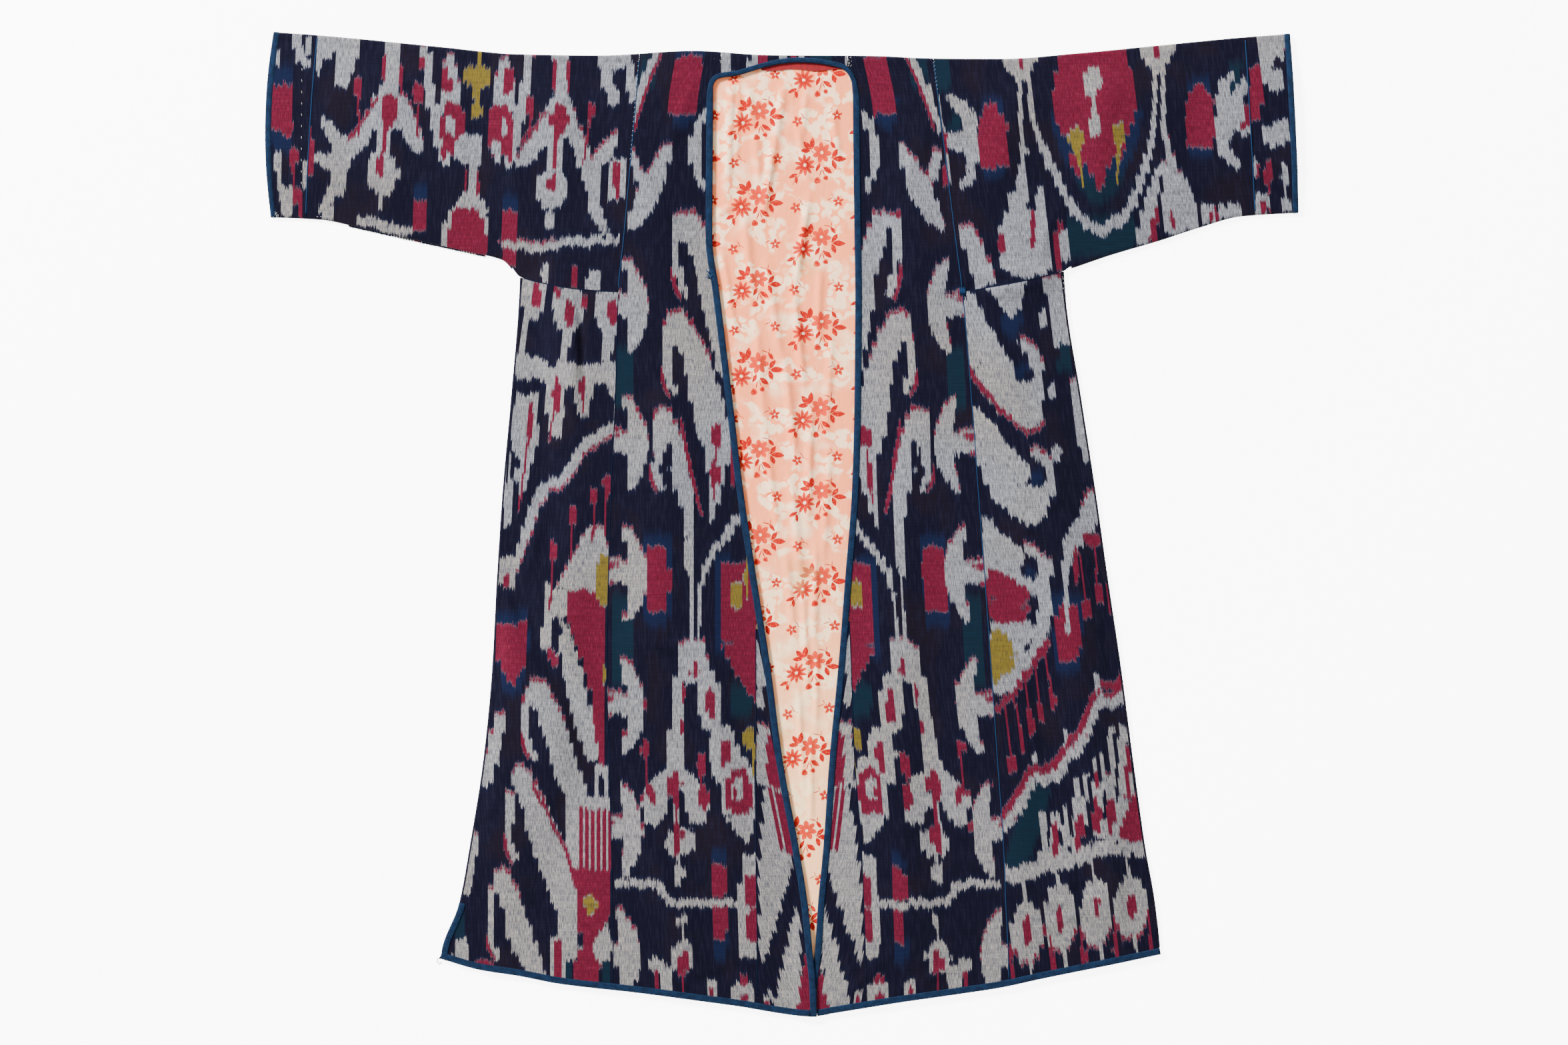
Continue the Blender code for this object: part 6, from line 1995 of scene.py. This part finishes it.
# %% Wrinkles of the lining
WRINKLES = table(
    FOLD_COLUMNS,
    (-66, 572, -72, 430, 3.4, 6), (-56, 560, -60, 470, 1.4, 3), (0, 560, -14, 470, 3.2, 6),
    (-14, 475, -24, 405, 4.2, 5), (-36, 500, -30, 440, 2.6, 5), (30, 560, 24, 500, 2.0, 5),
    (52, 457, 92, 434, 1.2, 2.5), (32, 415, 18, 320, 4.0, 5), (-92, 396, -60, 414, 2.4, 3),
    (64, 540, 70, 470, 2.2, 5), (-50, 400, -40, 300, 3.0, 6), (-20, 330, -4, 220, 3.2, 6),
    (48, 330, 44, 230, 2.4, 5), (14, 300, 26, 190, 3.8, 5), (-34, 250, -24, 130, 2.6, 6),
    (62, 240, 56, 120, 2.4, 5), (2, 210, 16, 90, 3.8, 6), (36, 150, 32, 10, 3.2, 5),
    (-22, 110, -8, 0, 2.6, 5), (60, 90, 52, -40, 2.2, 5), (10, 60, 22, -60, 3.2, 6),
    (42, -30, 40, -150, 2.8, 5), (4, -40, 14, -140, 2.2, 5), (26, -90, 32, -210, 2.8, 4.5),
    (44, -160, 42, -260, 2.0, 4), (20, -220, 26, -330, 2.4, 4), (36, -280, 36, -380, 2.0, 4),
    (-44, 560, -40, 520, 2.0, 5), (-78, 350, -62, 250, 2.2, 4), (16, 520, 34, 440, 1.8, 4),
)
print(len(WRINKLES), "wrinkles")

# %% Back lining
LINING_ROW = 4 * MM
LINING_INSET = 4 * MM
LINING_TOP, LINING_LOW = 6 * MM, 3 * MM
WRINKLE_REACH = 14 * MM


def thin_sheet(name, x, y, floor_height, wall, wrinkle, materials):
    top = np.stack([x, y, floor_height + wall + wrinkle], -1)
    bottom = np.stack([x, y, 0 * x + floor_height], -1)
    uv = np.stack(np.meshgrid(np.linspace(0, 1, x.shape[1]), np.linspace(0, 1, x.shape[0])), -1)
    return shell(name, [grid_patch(top, bottom, undyed(x), x, uv)], materials)


def make_lining():
    share = np.concatenate([
        np.linspace(0, 0.26, 9), np.linspace(0.27, 0.73, 96), np.linspace(0.74, 1, 9)])[None]
    down = np.linspace(0, 1, round(1.22 / LINING_ROW) + 1)[:, None]
    y = mix(0.6, -0.6, down) + 0 * share
    for _ in range(4):
        left = np.maximum(back_seam(0.0, -1), back_seam(y, -1)) + LINING_INSET
        right = np.minimum(back_seam(0.0, 1), back_seam(y, 1)) - LINING_INSET
        x = mix(left, right, share)
        y = mix(shoulder(x) - LINING_TOP, back_hem_cloth(x) + LINING_LOW, down)
    inside = np.minimum(np.minimum(x - front_l(y), front_r(y) - x), neck(x) - y)
    wrinkle = np.maximum(0.0, ridge_height(WRINKLES, x, y)) * ease(inside / WRINKLE_REACH)
    return thin_sheet("back_lining_cloth", x, y, WALL + PARTING, LINING_WALL, wrinkle,
                      [printed_cotton, printed_cotton])


lining_cloth = make_lining()

# %% Neck facing
FACING_LEFT, FACING_RIGHT, FACING_LOW = -28 * MM, 78 * MM, 586 * MM
FACING_SETBACK = 5 * MM
FACING_WAVE, FACING_WAVE_LENGTH = 1.2 * MM, 9 * MM
FACING_DARK, FACING_LIGHT = (0.09, 0.003, 0.006), (0.22, 0.008, 0.011)


def make_facing_material():
    made, tree, inputs = new_material("red_facing_cotton", 0.8, sheen=0.1)
    x, y = flat_place(tree)
    threads = place_group(tree, thread_group, Warp=x, Along=y)
    colour = blend_colours(threads["Strand"], FACING_DARK, FACING_LIGHT)
    tree.links.new(colour, inputs["Base Color"])
    add_bump(inputs, threads["Thread"], 0.4, 0.3)
    return made


def make_facing():
    share = np.linspace(0, 1, 54)[None]
    down = np.linspace(0, 1, 8)[:, None]
    x = mix(FACING_LEFT, FACING_RIGHT, share) + 0 * down
    y_low = FACING_LOW + FACING_WAVE * np.sin(x / FACING_WAVE_LENGTH)
    y = mix(neck(x) + FACING_SETBACK, y_low, down)
    floor_height = WALL + LINING_WALL + 2 * PARTING
    return thin_sheet("neck_facing_cloth", x, y, floor_height, LINING_WALL, 0 * x,
                      [make_facing_material()] * 2)


facing_cloth = make_facing()
for made, node, slot in ((lining_cloth, "back_lining", "printed_lining"),
                         (facing_cloth, "neck_facing", "red_facing")):
    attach(made, "root")
    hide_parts(node)

# %% [markdown]
# ## Bindings
# A narrow blue tape is folded over every raw edge and overcast along both of its own edges.
# It is swept along the edge as a soft, rounded section that laps the cloth by a millimetre.

# %% Binding material
TWILL_LEAN, TWILL_PITCH = 2.2, 1.15
TAPE_DARK, TAPE_LIGHT = (0.0016, 0.0066, 0.020), (0.0030, 0.0125, 0.036)
TAPE_WORN = (0.012, 0.035, 0.085)


def make_binding_material():
    """Twill tape. It reads the places along and across it that its points carry."""
    made, tree, inputs = new_material("blue_tape", 0.75, sheen=0.02)
    run, across = attribute(tree, "run"), attribute(tree, "across")
    lean = plus(run, times(across, TWILL_LEAN))
    twill = calculate("SINE", times(lean, 2 * math.pi / TWILL_PITCH))
    cloudy = noise(run, times(across, 6.0), 9.0, 3.1, detail=2.0)
    fine = noise(run, times(across, 3.0), 0.6, 8.3)
    colour = blend_colours(soften(cloudy, 0.35, 0.65), TAPE_DARK, TAPE_LIGHT)
    colour = tint(colour, TAPE_WORN, 0.35, plus(twill, fine), 0.9, 1.6)
    tree.links.new(colour, inputs["Base Color"])
    add_bump(inputs, plus(twill, times(fine, 2.0)), 0.55, 0.25)
    return made


blue_tape = make_binding_material()
print("tape material has", len(blue_tape.node_tree.nodes), "nodes")

# %% Tape along a path
TAPE_PITCH = 3 * MM
TAPE_SIDES = 12
TAPE_LAP = 1.0 * MM
TAPE_HEIGHT = 2.6 * MM
PROFILE_POWER = 0.75


def even_path(points, widths, pitch=TAPE_PITCH):
    """The same path with points at an even pitch, its widths and its run in metres."""
    steps = np.hypot(*np.diff(points[:, :2], axis=0).T)
    run = np.concatenate([[0.0], np.cumsum(steps)])
    marks = np.linspace(0.0, run[-1], round(run[-1] / pitch) + 1)
    placed = np.stack([np.interp(marks, run, points[:, axis]) for axis in range(3)], 1)
    return placed, np.interp(marks, run, widths), marks


def path_sides(points):
    ahead = np.gradient(points[:, :2], axis=0)
    ahead /= np.hypot(*ahead.T)[:, None]
    return np.stack([-ahead[:, 1], ahead[:, 0]], 1)


def swept_mesh(name, rings, numbers, material):
    """Closed tube through rings of points, with run and across stored on its points."""
    count, sides = rings.shape[:2]
    ids = np.arange(count * sides).reshape(count, sides)
    around = np.roll(ids, -1, axis=1)
    quads = np.stack([ids[:-1], around[:-1], around[1:], ids[1:]], -1).reshape(-1, 4).tolist()
    mesh = bpy.data.meshes.new(name)
    caps = [ids[0, ::-1].tolist(), ids[-1].tolist()]
    mesh.from_pydata(rings.reshape(-1, 3).tolist(), [], quads + caps)
    for channel, values in numbers.items():
        store(mesh, channel, values)
    mesh.materials.append(material)
    mesh.shade_smooth()
    return add_object(name, mesh)


def make_tape(name, points, widths):
    placed, widths, marks = even_path(points, widths)
    sides = path_sides(placed)
    angle = 2 * math.pi * np.arange(TAPE_SIDES) / TAPE_SIDES
    u, v = (np.sign(wave) * np.abs(wave) ** PROFILE_POWER
            for wave in (np.cos(angle), np.sin(angle)))
    half = (widths + TAPE_LAP)[:, None] / 2
    out = half * (1 + u[None])
    rings = np.concatenate([placed[:, None, :2] + sides[:, None, :] * out[..., None],
                            placed[:, None, 2:] + (TAPE_HEIGHT * (1 + v) / 2)[None, :, None]], -1)
    numbers = {"run": np.broadcast_to(marks[:, None] / MM, out.shape),
               "across": np.broadcast_to(u, out.shape)}
    made = swept_mesh(name + "_tape", rings, numbers, blue_tape)
    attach(made, "root")
    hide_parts(name)
    print(made.name, round(marks[-1], 2), "m long")
    return made, placed, sides, widths


print("tape section has", TAPE_SIDES, "sides")

# %% Bindings of the opening and the hems


def front_side_path(side, height):
    start = hem(front_l(hem(0)) if side < 0 else front_r(hem(0)))
    y = np.linspace(start, 552 * MM, 300)
    x = front_l(y) if side < 0 else front_r(y)
    points = np.stack([x, y, height(x, y)], 1)
    return points if side < 0 else points[::-1]


def opening_path():
    left, right = front_side_path(-1, upper_left_front), front_side_path(1, upper)
    x = np.concatenate([
        np.linspace(-90, -78, 12), np.linspace(-76, 80, 60), np.linspace(81, 88.5, 10)]) * MM
    middle = np.stack([x, neck(x), upper(x, neck(x))], 1)
    points = np.concatenate([left, middle, right])
    narrow = np.concatenate([np.zeros(len(left)), np.ones(len(x)), np.zeros(len(right))])
    return points, mix(BINDING_WIDTH, NECK_BINDING_WIDTH, narrow)


def hem_path(x_start, x_end, line, height, lead=()):
    x = np.linspace(x_start, x_end, 200)
    points = np.stack([x, line(x), height(x, line(x))], 1)
    return np.concatenate([np.array(lead).reshape(-1, 3), points])


def slit_lead(inset, low, height):
    y = np.linspace(SLIT_TOP + 3 * MM, low + 3 * MM, 20)
    x = side_l(y) + inset
    return np.stack([x, y, height(x, y)], 1)


def floor_height(x, y):
    return 0 * x


def all_tapes():
    tapes = [make_tape("binding_opening", *opening_path())]
    low_l, low_r = hem(front_l(hem(0))), hem(front_r(hem(0)))
    start, end = HEM[0]["x"] * MM, HEM[-1]["x"] * MM
    end_l = front_l(low_l) - BINDING_WIDTH - 3 * PARTING
    start_r = front_r(low_r) + BINDING_WIDTH + 8 * PARTING
    inner = start + SLIT_INSET
    plans = {
        "binding_hem_front_left": hem_path(start, end_l, hem, upper_left_front,
                                           slit_lead(0.0, hem(start), upper_left_front)),
        "binding_hem_front_right": hem_path(start_r, end, hem, upper),
        "binding_hem_back": hem_path(inner, end - 2 * FOLD_RADIUS, back_hem, floor_height,
                                     slit_lead(SLIT_INSET, back_hem(inner), floor_height)),
    }
    for name, points in plans.items():
        tapes.append(make_tape(name, points, np.full(len(points), BINDING_WIDTH)))
    return tapes


tapes = all_tapes()

# %% Cuff bindings
CUFF_PROUD = 1.0 * MM
CUFF_WALL, CUFF_INSET = 1.8 * MM, 0.6 * MM
CUFF_TAPE_HALF = 4


def make_cuff_tape(name, cuff_seam, cuff_end, band_share):
    """A tape ring round the end of a cuff, a little proud of it at the middle of its width."""
    start = part_way(cuff_seam, cuff_end, band_share)
    shares, ring_shares = np.linspace(0, 1, 9), even_shares(0.24, TAPE_PITCH)
    proud = CUFF_PROUD * np.sqrt(np.maximum(0.0, 1 - (2 * shares - 1) ** 2))
    spans = part_way({k: start[k] for k in STATION_COLUMNS}, cuff_end, shares)

    def ring_rows(ring):
        y = mix(0.4, 0.63, ring[:, None]) + 0 * shares[None]
        for _ in range(6):
            x = station(spans, y)
            y = mix(under(x) + FOLD_RADIUS, shoulder(x) - FOLD_RADIUS, ring[:, None])
        return x, y

    x, y = ring_rows(ring_shares)
    z = upper(x, y)
    front = np.stack([x, y, z + WALL + proud], -1), np.stack([x, y, z - CUFF_INSET], -1)
    wall = CUFF_WALL + proud
    over, under_over = turn_points(x[-1], shoulder(x[-1]), (0, 1), proud=proud, wall=wall)
    below, under_below = turn_points(x[0], under(x[0]), (0, -1), proud=proud, wall=wall)
    x, y = ring_rows(ring_shares[::-1])
    back = np.stack([x, y, 0 * x], -1), np.stack([x, y, 0 * x + CUFF_WALL], -1)
    outer, inner = stack_rows([
        front, (over, under_over), back, (below[::-1], under_below[::-1]),
        tuple(part[:1] for part in front)])
    uv = grid_uv(outer[..., 0], spread(np.arange(len(outer)), 0.0, 1.0))
    patch = grid_patch(outer, inner, undyed(outer), outer[..., 0], uv)
    made = shell(name + "_tape", [patch], [blue_tape, blue_tape])
    mesh = made.data
    places = np.empty(len(mesh.vertices) * 3, np.float32)
    mesh.vertices.foreach_get("co", places)
    places = places.reshape(-1, 3) / MM
    middle = (cuff_seam["x_top"] + cuff_end["x_top"]) / 2
    store(mesh, "run", places[:, 1])
    store(mesh, "across", (places[:, 0] - middle) / CUFF_TAPE_HALF)
    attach(made, "root")
    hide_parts(name)
    return made


cuff_tape_left = make_cuff_tape("binding_cuff_left", CUFF_SEAM_L, CUFF_END_L, BAND_SHARE_L)
cuff_tape_right = make_cuff_tape("binding_cuff_right", CUFF_SEAM_R, CUFF_END_R, BAND_SHARE_R)

# %% [markdown]
# ## Stitches, seams and frays
# Every stitch is a spindle: two ends and a square waist, eight triangles in all. One mesh holds
# all the stitches of a kind, so thousands of them stay cheap. The tapes are overcast along both
# edges, the seams are low cords, and the few repairs and frays are laid one by one.

# %% Stitch builder
THREAD_COLOURS = {
    "blue_thread": (0.0060, 0.0230, 0.062), "indigo_thread": (0.0016, 0.0045, 0.0160),
    "white_thread": (0.50, 0.48, 0.44), "crimson_thread": (0.090, 0.006, 0.014),
    "ochre_thread": (0.30, 0.19, 0.055),
}


def make_thread_material(name, colour):
    made, _, inputs = new_material(name, 0.8)
    inputs["Base Color"].default_value = (*colour, 1)
    return made


thread_paints = {name: make_thread_material(name, THREAD_COLOURS[name]) for name in THREAD_COLOURS}


def lay_stitches(name, starts, ends, radius, paint_name):
    """One mesh of spindles from starts to ends."""
    starts, ends = np.asarray(starts, float), np.asarray(ends, float)
    along = ends - starts
    along /= np.linalg.norm(along, axis=1)[:, None]
    beside = np.stack([along[:, 1], -along[:, 0], 0 * along[:, 0]], 1)
    flat = np.linalg.norm(beside, axis=1)[:, None]
    beside = np.where(flat > 1e-6, beside / np.maximum(flat, 1e-6), [1.0, 0.0, 0.0])
    above = np.cross(beside, along)
    waist = (starts + ends) / 2
    points = np.stack([starts, ends, waist + beside * radius, waist + above * radius,
                       waist - beside * radius, waist - above * radius], 1)
    corners = np.array([(0, 2, 3), (0, 3, 4), (0, 4, 5), (0, 5, 2),
                        (1, 3, 2), (1, 4, 3), (1, 5, 4), (1, 2, 5)])
    faces = (np.arange(len(points))[:, None, None] * 6 + corners[None]).reshape(-1, 3)
    mesh = bpy.data.meshes.new(name)
    mesh.from_pydata(points.reshape(-1, 3).tolist(), [], faces.tolist())
    mesh.materials.append(thread_paints[paint_name])
    mesh.shade_smooth()
    made = add_object(name, mesh)
    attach(made, "root")
    print(name, len(points), "stitches")
    return made


# %% Overcast edges of the tapes
STITCH_PITCH = 2.8 * MM
STITCH_RADIUS = 0.38 * MM
EDGE_COLUMNS = ("near", "far", "near_lift", "far_lift", "slant")
TAPE_EDGES = table(EDGE_COLUMNS, (-1.3, 1.9, 2.9, 1.9, 1.1), (None, -0.3, 2.7, 1.1, 0.8))
OUTER_NEAR = 1.7
PITCH_SPREAD, REACH_SPREAD = 0.3 * MM, 0.25 * MM


def overcast(placed, sides, widths, rng):
    """Starts and ends of slanted stitches over both edges of a tape."""
    run = np.concatenate([[0.0], np.cumsum(np.linalg.norm(np.diff(placed, axis=0), axis=1))])
    starts, ends = [], []
    for edge in TAPE_EDGES:
        marks = np.arange(STITCH_PITCH, run[-1] - STITCH_PITCH, STITCH_PITCH)
        marks = marks + rng.normal(0, PITCH_SPREAD, len(marks))
        place = np.stack([np.interp(marks, run, placed[:, k]) for k in range(3)], 1)
        side = np.stack([np.interp(marks, run, sides[:, k]) for k in range(2)], 1)
        width = np.interp(marks, run, widths)
        ahead = np.stack([side[:, 1], -side[:, 0]], 1)
        inner = edge["near"] is not None
        near = width + edge["near"] * MM if inner else np.full(len(marks), OUTER_NEAR * MM)
        far = width + edge["far"] * MM if inner else np.full(len(marks), edge["far"] * MM)
        far = far + rng.normal(0, REACH_SPREAD, len(marks))
        for reach, lift, lean, kept in ((near, edge["near_lift"], -1, starts),
                                        (far, edge["far_lift"], 1, ends)):
            flat = place[:, :2] + side * reach[:, None] + ahead * lean * edge["slant"] / 2 * MM
            kept.append(np.concatenate([flat, place[:, 2:] + lift * MM], 1))
    return np.concatenate(starts), np.concatenate(ends)


stitch_rng = np.random.default_rng(71)
tape_stitches = []
for tape, placed, sides, widths in tapes:
    starts, ends = overcast(placed, sides, widths, stitch_rng)
    tape_stitches.append(lay_stitches(
        tape.name + "_stitches", starts, ends, STITCH_RADIUS, "blue_thread"))

# %% Seam cords
SEAM_PITCH = 5 * MM
CORD_SIDES = 6


def lay_cord(name, x, y, radius, paint_name, height=upper):
    """A low cord along a line on the upper layer."""
    points = np.stack([x, y, height(x, y) + WALL], 1)
    placed, _, _ = even_path(points, np.zeros(len(points)), SEAM_PITCH)
    sides = path_sides(placed)
    angle = 2 * math.pi * np.arange(CORD_SIDES) / CORD_SIDES
    rings = np.concatenate([
        placed[:, None, :2] + sides[:, None, :] * (radius * np.cos(angle))[None, :, None],
        placed[:, None, 2:] + (radius * np.sin(angle))[None, :, None]], -1)
    made = swept_mesh(name, rings, {}, thread_paints[paint_name])
    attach(made, "root")
    return made


def cuff_line_l(y):
    return station(CUFF_SEAM_L, y)


def cuff_line_r(y):
    return station(CUFF_SEAM_R, y)


SEAM_CORDS = (
    ("armhole_cord_left", seam_l, 304 * MM, 598 * MM, 0.6, "blue_thread"),
    ("armhole_cord_right", seam_r, 304 * MM, 596 * MM, 0.6, "blue_thread"),
    ("side_cord_left", seam_l, -590 * MM, 296 * MM, 0.5, "indigo_thread"),
    ("side_cord_right", seam_r, -585 * MM, 296 * MM, 0.55, "blue_thread"),
    ("front_cord_left", gore_l, -608 * MM, GORE_TOP_LEFT, 0.5, "indigo_thread"),
    ("front_cord_right", gore_r, -604 * MM, GORE_TOP_RIGHT, 0.5, "indigo_thread"),
)
CUFF_CORDS = (
    ("cuff_cord_left", cuff_line_l, 400 * MM, 627 * MM, 0.7, "blue_thread"),
    ("cuff_cord_right", cuff_line_r, 404 * MM, 624 * MM, 0.7, "blue_thread"),
)
UNDERARM_CORDS = (
    ("underarm_cord_left", -334 * MM, seam_l(300 * MM)),
    ("underarm_cord_right", seam_r(300 * MM), 356 * MM),
)


def lay_upright(name, line, low, high, radius, paint_name):
    y = np.linspace(low, high, 120)
    return lay_cord(name, line(y), y, radius * MM, paint_name)


def lay_underarm(name, low, high):
    x = np.linspace(low, high, 60)
    return lay_cord(name, x, under(x), 0.6 * MM, "indigo_thread")


seam_cords = [lay_upright(*row) for row in SEAM_CORDS]
seam_cords += [lay_underarm(*row) for row in UNDERARM_CORDS]
seam_cords += [lay_upright(*row) for row in CUFF_CORDS]
print(len(seam_cords), "seam cords")

# %% Tacking, repairs and frays


def on_cloth(x, y, lift):
    return np.stack([x, y, upper(x, y) + WALL + lift], 1)


def lay_tacks(name, rows, radius, paint_name, lift=0.25 * MM):
    """Stitches from x, y over dx, dy in millimetres, flat on the upper layer."""
    x, y, dx, dy = np.array(rows, float).T * MM
    starts, ends = on_cloth(x, y, lift), on_cloth(x + dx, y + dy, lift)
    return lay_stitches(name, starts, ends, radius, paint_name)


def scattered(count, centre, reach, length, toward, rng):
    """Rows of loose thread ends round a place, about one way."""
    angle = math.radians(toward) + rng.normal(0, 0.5, count)
    size = length * rng.uniform(0.5, 1.2, count)
    return np.stack([centre[0] + rng.uniform(-reach[0], reach[0], count),
                     centre[1] + rng.uniform(-reach[1], reach[1], count),
                     size * np.cos(angle), size * np.sin(angle)], 1)


fray_rng = np.random.default_rng(83)
left_seam_y, right_seam_y = np.arange(470, 600, 6), np.arange(560, 598, 5)
left_seam_x, right_seam_x = seam_l(left_seam_y * MM) / MM, seam_r(right_seam_y * MM) / MM
white_rows = np.concatenate([
    [(-619.5 - 0.006 * (588 - y), y, 0.6, -4.6) for y in np.arange(588, 430, -14.6)],
    [(x - 1.6, y, 2.6, 2.4) for x, y in zip(left_seam_x, left_seam_y)],
    [(x - 1.2, y, 2.6, 2.2) for x, y in zip(right_seam_x, right_seam_y)],
    [(-601 + 4.6 * k, 397.5, 2.6, -1.0) for k in range(4)],
    scattered(12, (-654, 402), (5, 3), 6.0, 250, fray_rng),
    scattered(9, (361, 306), (2, 14), 4.0, 10, fray_rng),
    [(78.7, -619.5, 4.0, -3.6)],
])
neck_rows = np.concatenate([
    scattered(10, (-79, 597), (2.0, 8), 3.2, 100, fray_rng),
    scattered(22, (84, 596), (4.0, 9), 3.6, 70, fray_rng),
])
knot_rows = scattered(22, (-93, 320), (3.5, 3.5), 7.0, 120, fray_rng)
cuff_rows = scattered(14, (-655, 404), (5, 4), 7.5, 240, fray_rng)
patch_rows = [(227.5 + 1.3 * k, 307, 0.6, -14) for k in range(6)]
sliver_rows = [(43.4, -592, -1.6, -17), (42.2, -596, -1.2, -13)]
hand_work = [
    lay_tacks("white_tacks", white_rows, 0.28 * MM, "white_thread"),
    lay_tacks("neck_fray", neck_rows, 0.13 * MM, "white_thread"),
    lay_tacks("binding_knot", knot_rows, 0.8 * MM, "blue_thread", 1.2 * MM),
    lay_tacks("cuff_fray", cuff_rows, 0.4 * MM, "blue_thread"),
    lay_tacks("armhole_patch", patch_rows, 0.9 * MM, "blue_thread"),
    lay_tacks("hem_sliver", sliver_rows, 1.1 * MM, "ochre_thread"),
]

# %% Whipped seam and hem loop
WHIP_RADIUS = 0.75 * MM


def whip_seam():
    """The turned seam edge that shows below the left sleeve, whipped with waste yarn."""
    x = np.arange(-560, -384, 0.9) * MM
    lengths = fray_rng.uniform(2.4, 3.4, len(x)) * MM
    starts = np.stack([x, under(x) + 1.2 * MM, np.full(len(x), 2.4 * MM)], 1)
    ends = np.stack([x + 0.6 * MM, under(x) - lengths, np.full(len(x), 0.9 * MM)], 1)
    bright = (x > -506 * MM) & (x < -466 * MM) | (x > -416 * MM) & (x < -395 * MM)
    kinds = np.where(bright & (np.arange(len(x)) % 4 < 2), 1, 0)
    kinds = np.where((x > -476 * MM) & (x < -468 * MM), 2, kinds)
    for kind, name in enumerate(("indigo_thread", "white_thread", "crimson_thread")):
        chosen = kinds == kind
        hand_work.append(lay_stitches(
            "whip_seam_" + name, starts[chosen], ends[chosen], WHIP_RADIUS, name))


whip_seam()
loop_turn = np.linspace(0.3 * math.pi, 1.9 * math.pi, 16)
loop_x = (-443 + 3.4 * np.cos(loop_turn)) * MM
loop_y = (-563 + 4.0 * np.sin(loop_turn)) * MM
hand_work.append(lay_cord("hem_loop", loop_x, loop_y, 0.55 * MM, "blue_thread", floor_height))
print(len(hand_work), "pieces of hand work")

# %% Sheets of cloth
SHEETS = (
    (body_cloth, (0.416, 2.46), None, "floor", [t[0] for t in tapes] + tape_stitches),
    (side_cloth_left, (0.46, 0.88), 0.31, "floor", []),
    (side_cloth_right, (0.46, 0.88), 0.31, "floor", []),
    (sleeve_cloth_left, (0.415, 0.60), 0.22, "floor", []),
    (sleeve_cloth_right, (0.415, 0.60), 0.22, "floor", []),
    (cuff_cloth_left, (0.06, 0.49), None, "floor", [cuff_tape_left]),
    (cuff_cloth_right, (0.06, 0.49), None, "floor", [cuff_tape_right]),
    (gore_cloth_left, (0.07, 0.50), 0.018, "floor", []),
    (gore_cloth_right, (0.07, 0.50), 0.018, "floor", []),
    (neck_cloth, (0.163, 0.024), None, "floor", []),
    (lining_cloth, (0.41, 1.22), None, body_cloth, []),
    (facing_cloth, (0.106, 0.014), None, lining_cloth, []),
)
for cloth, flat, area, support, extras in SHEETS:
    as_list(extras)
print(len(SHEETS), "sheets of cloth")
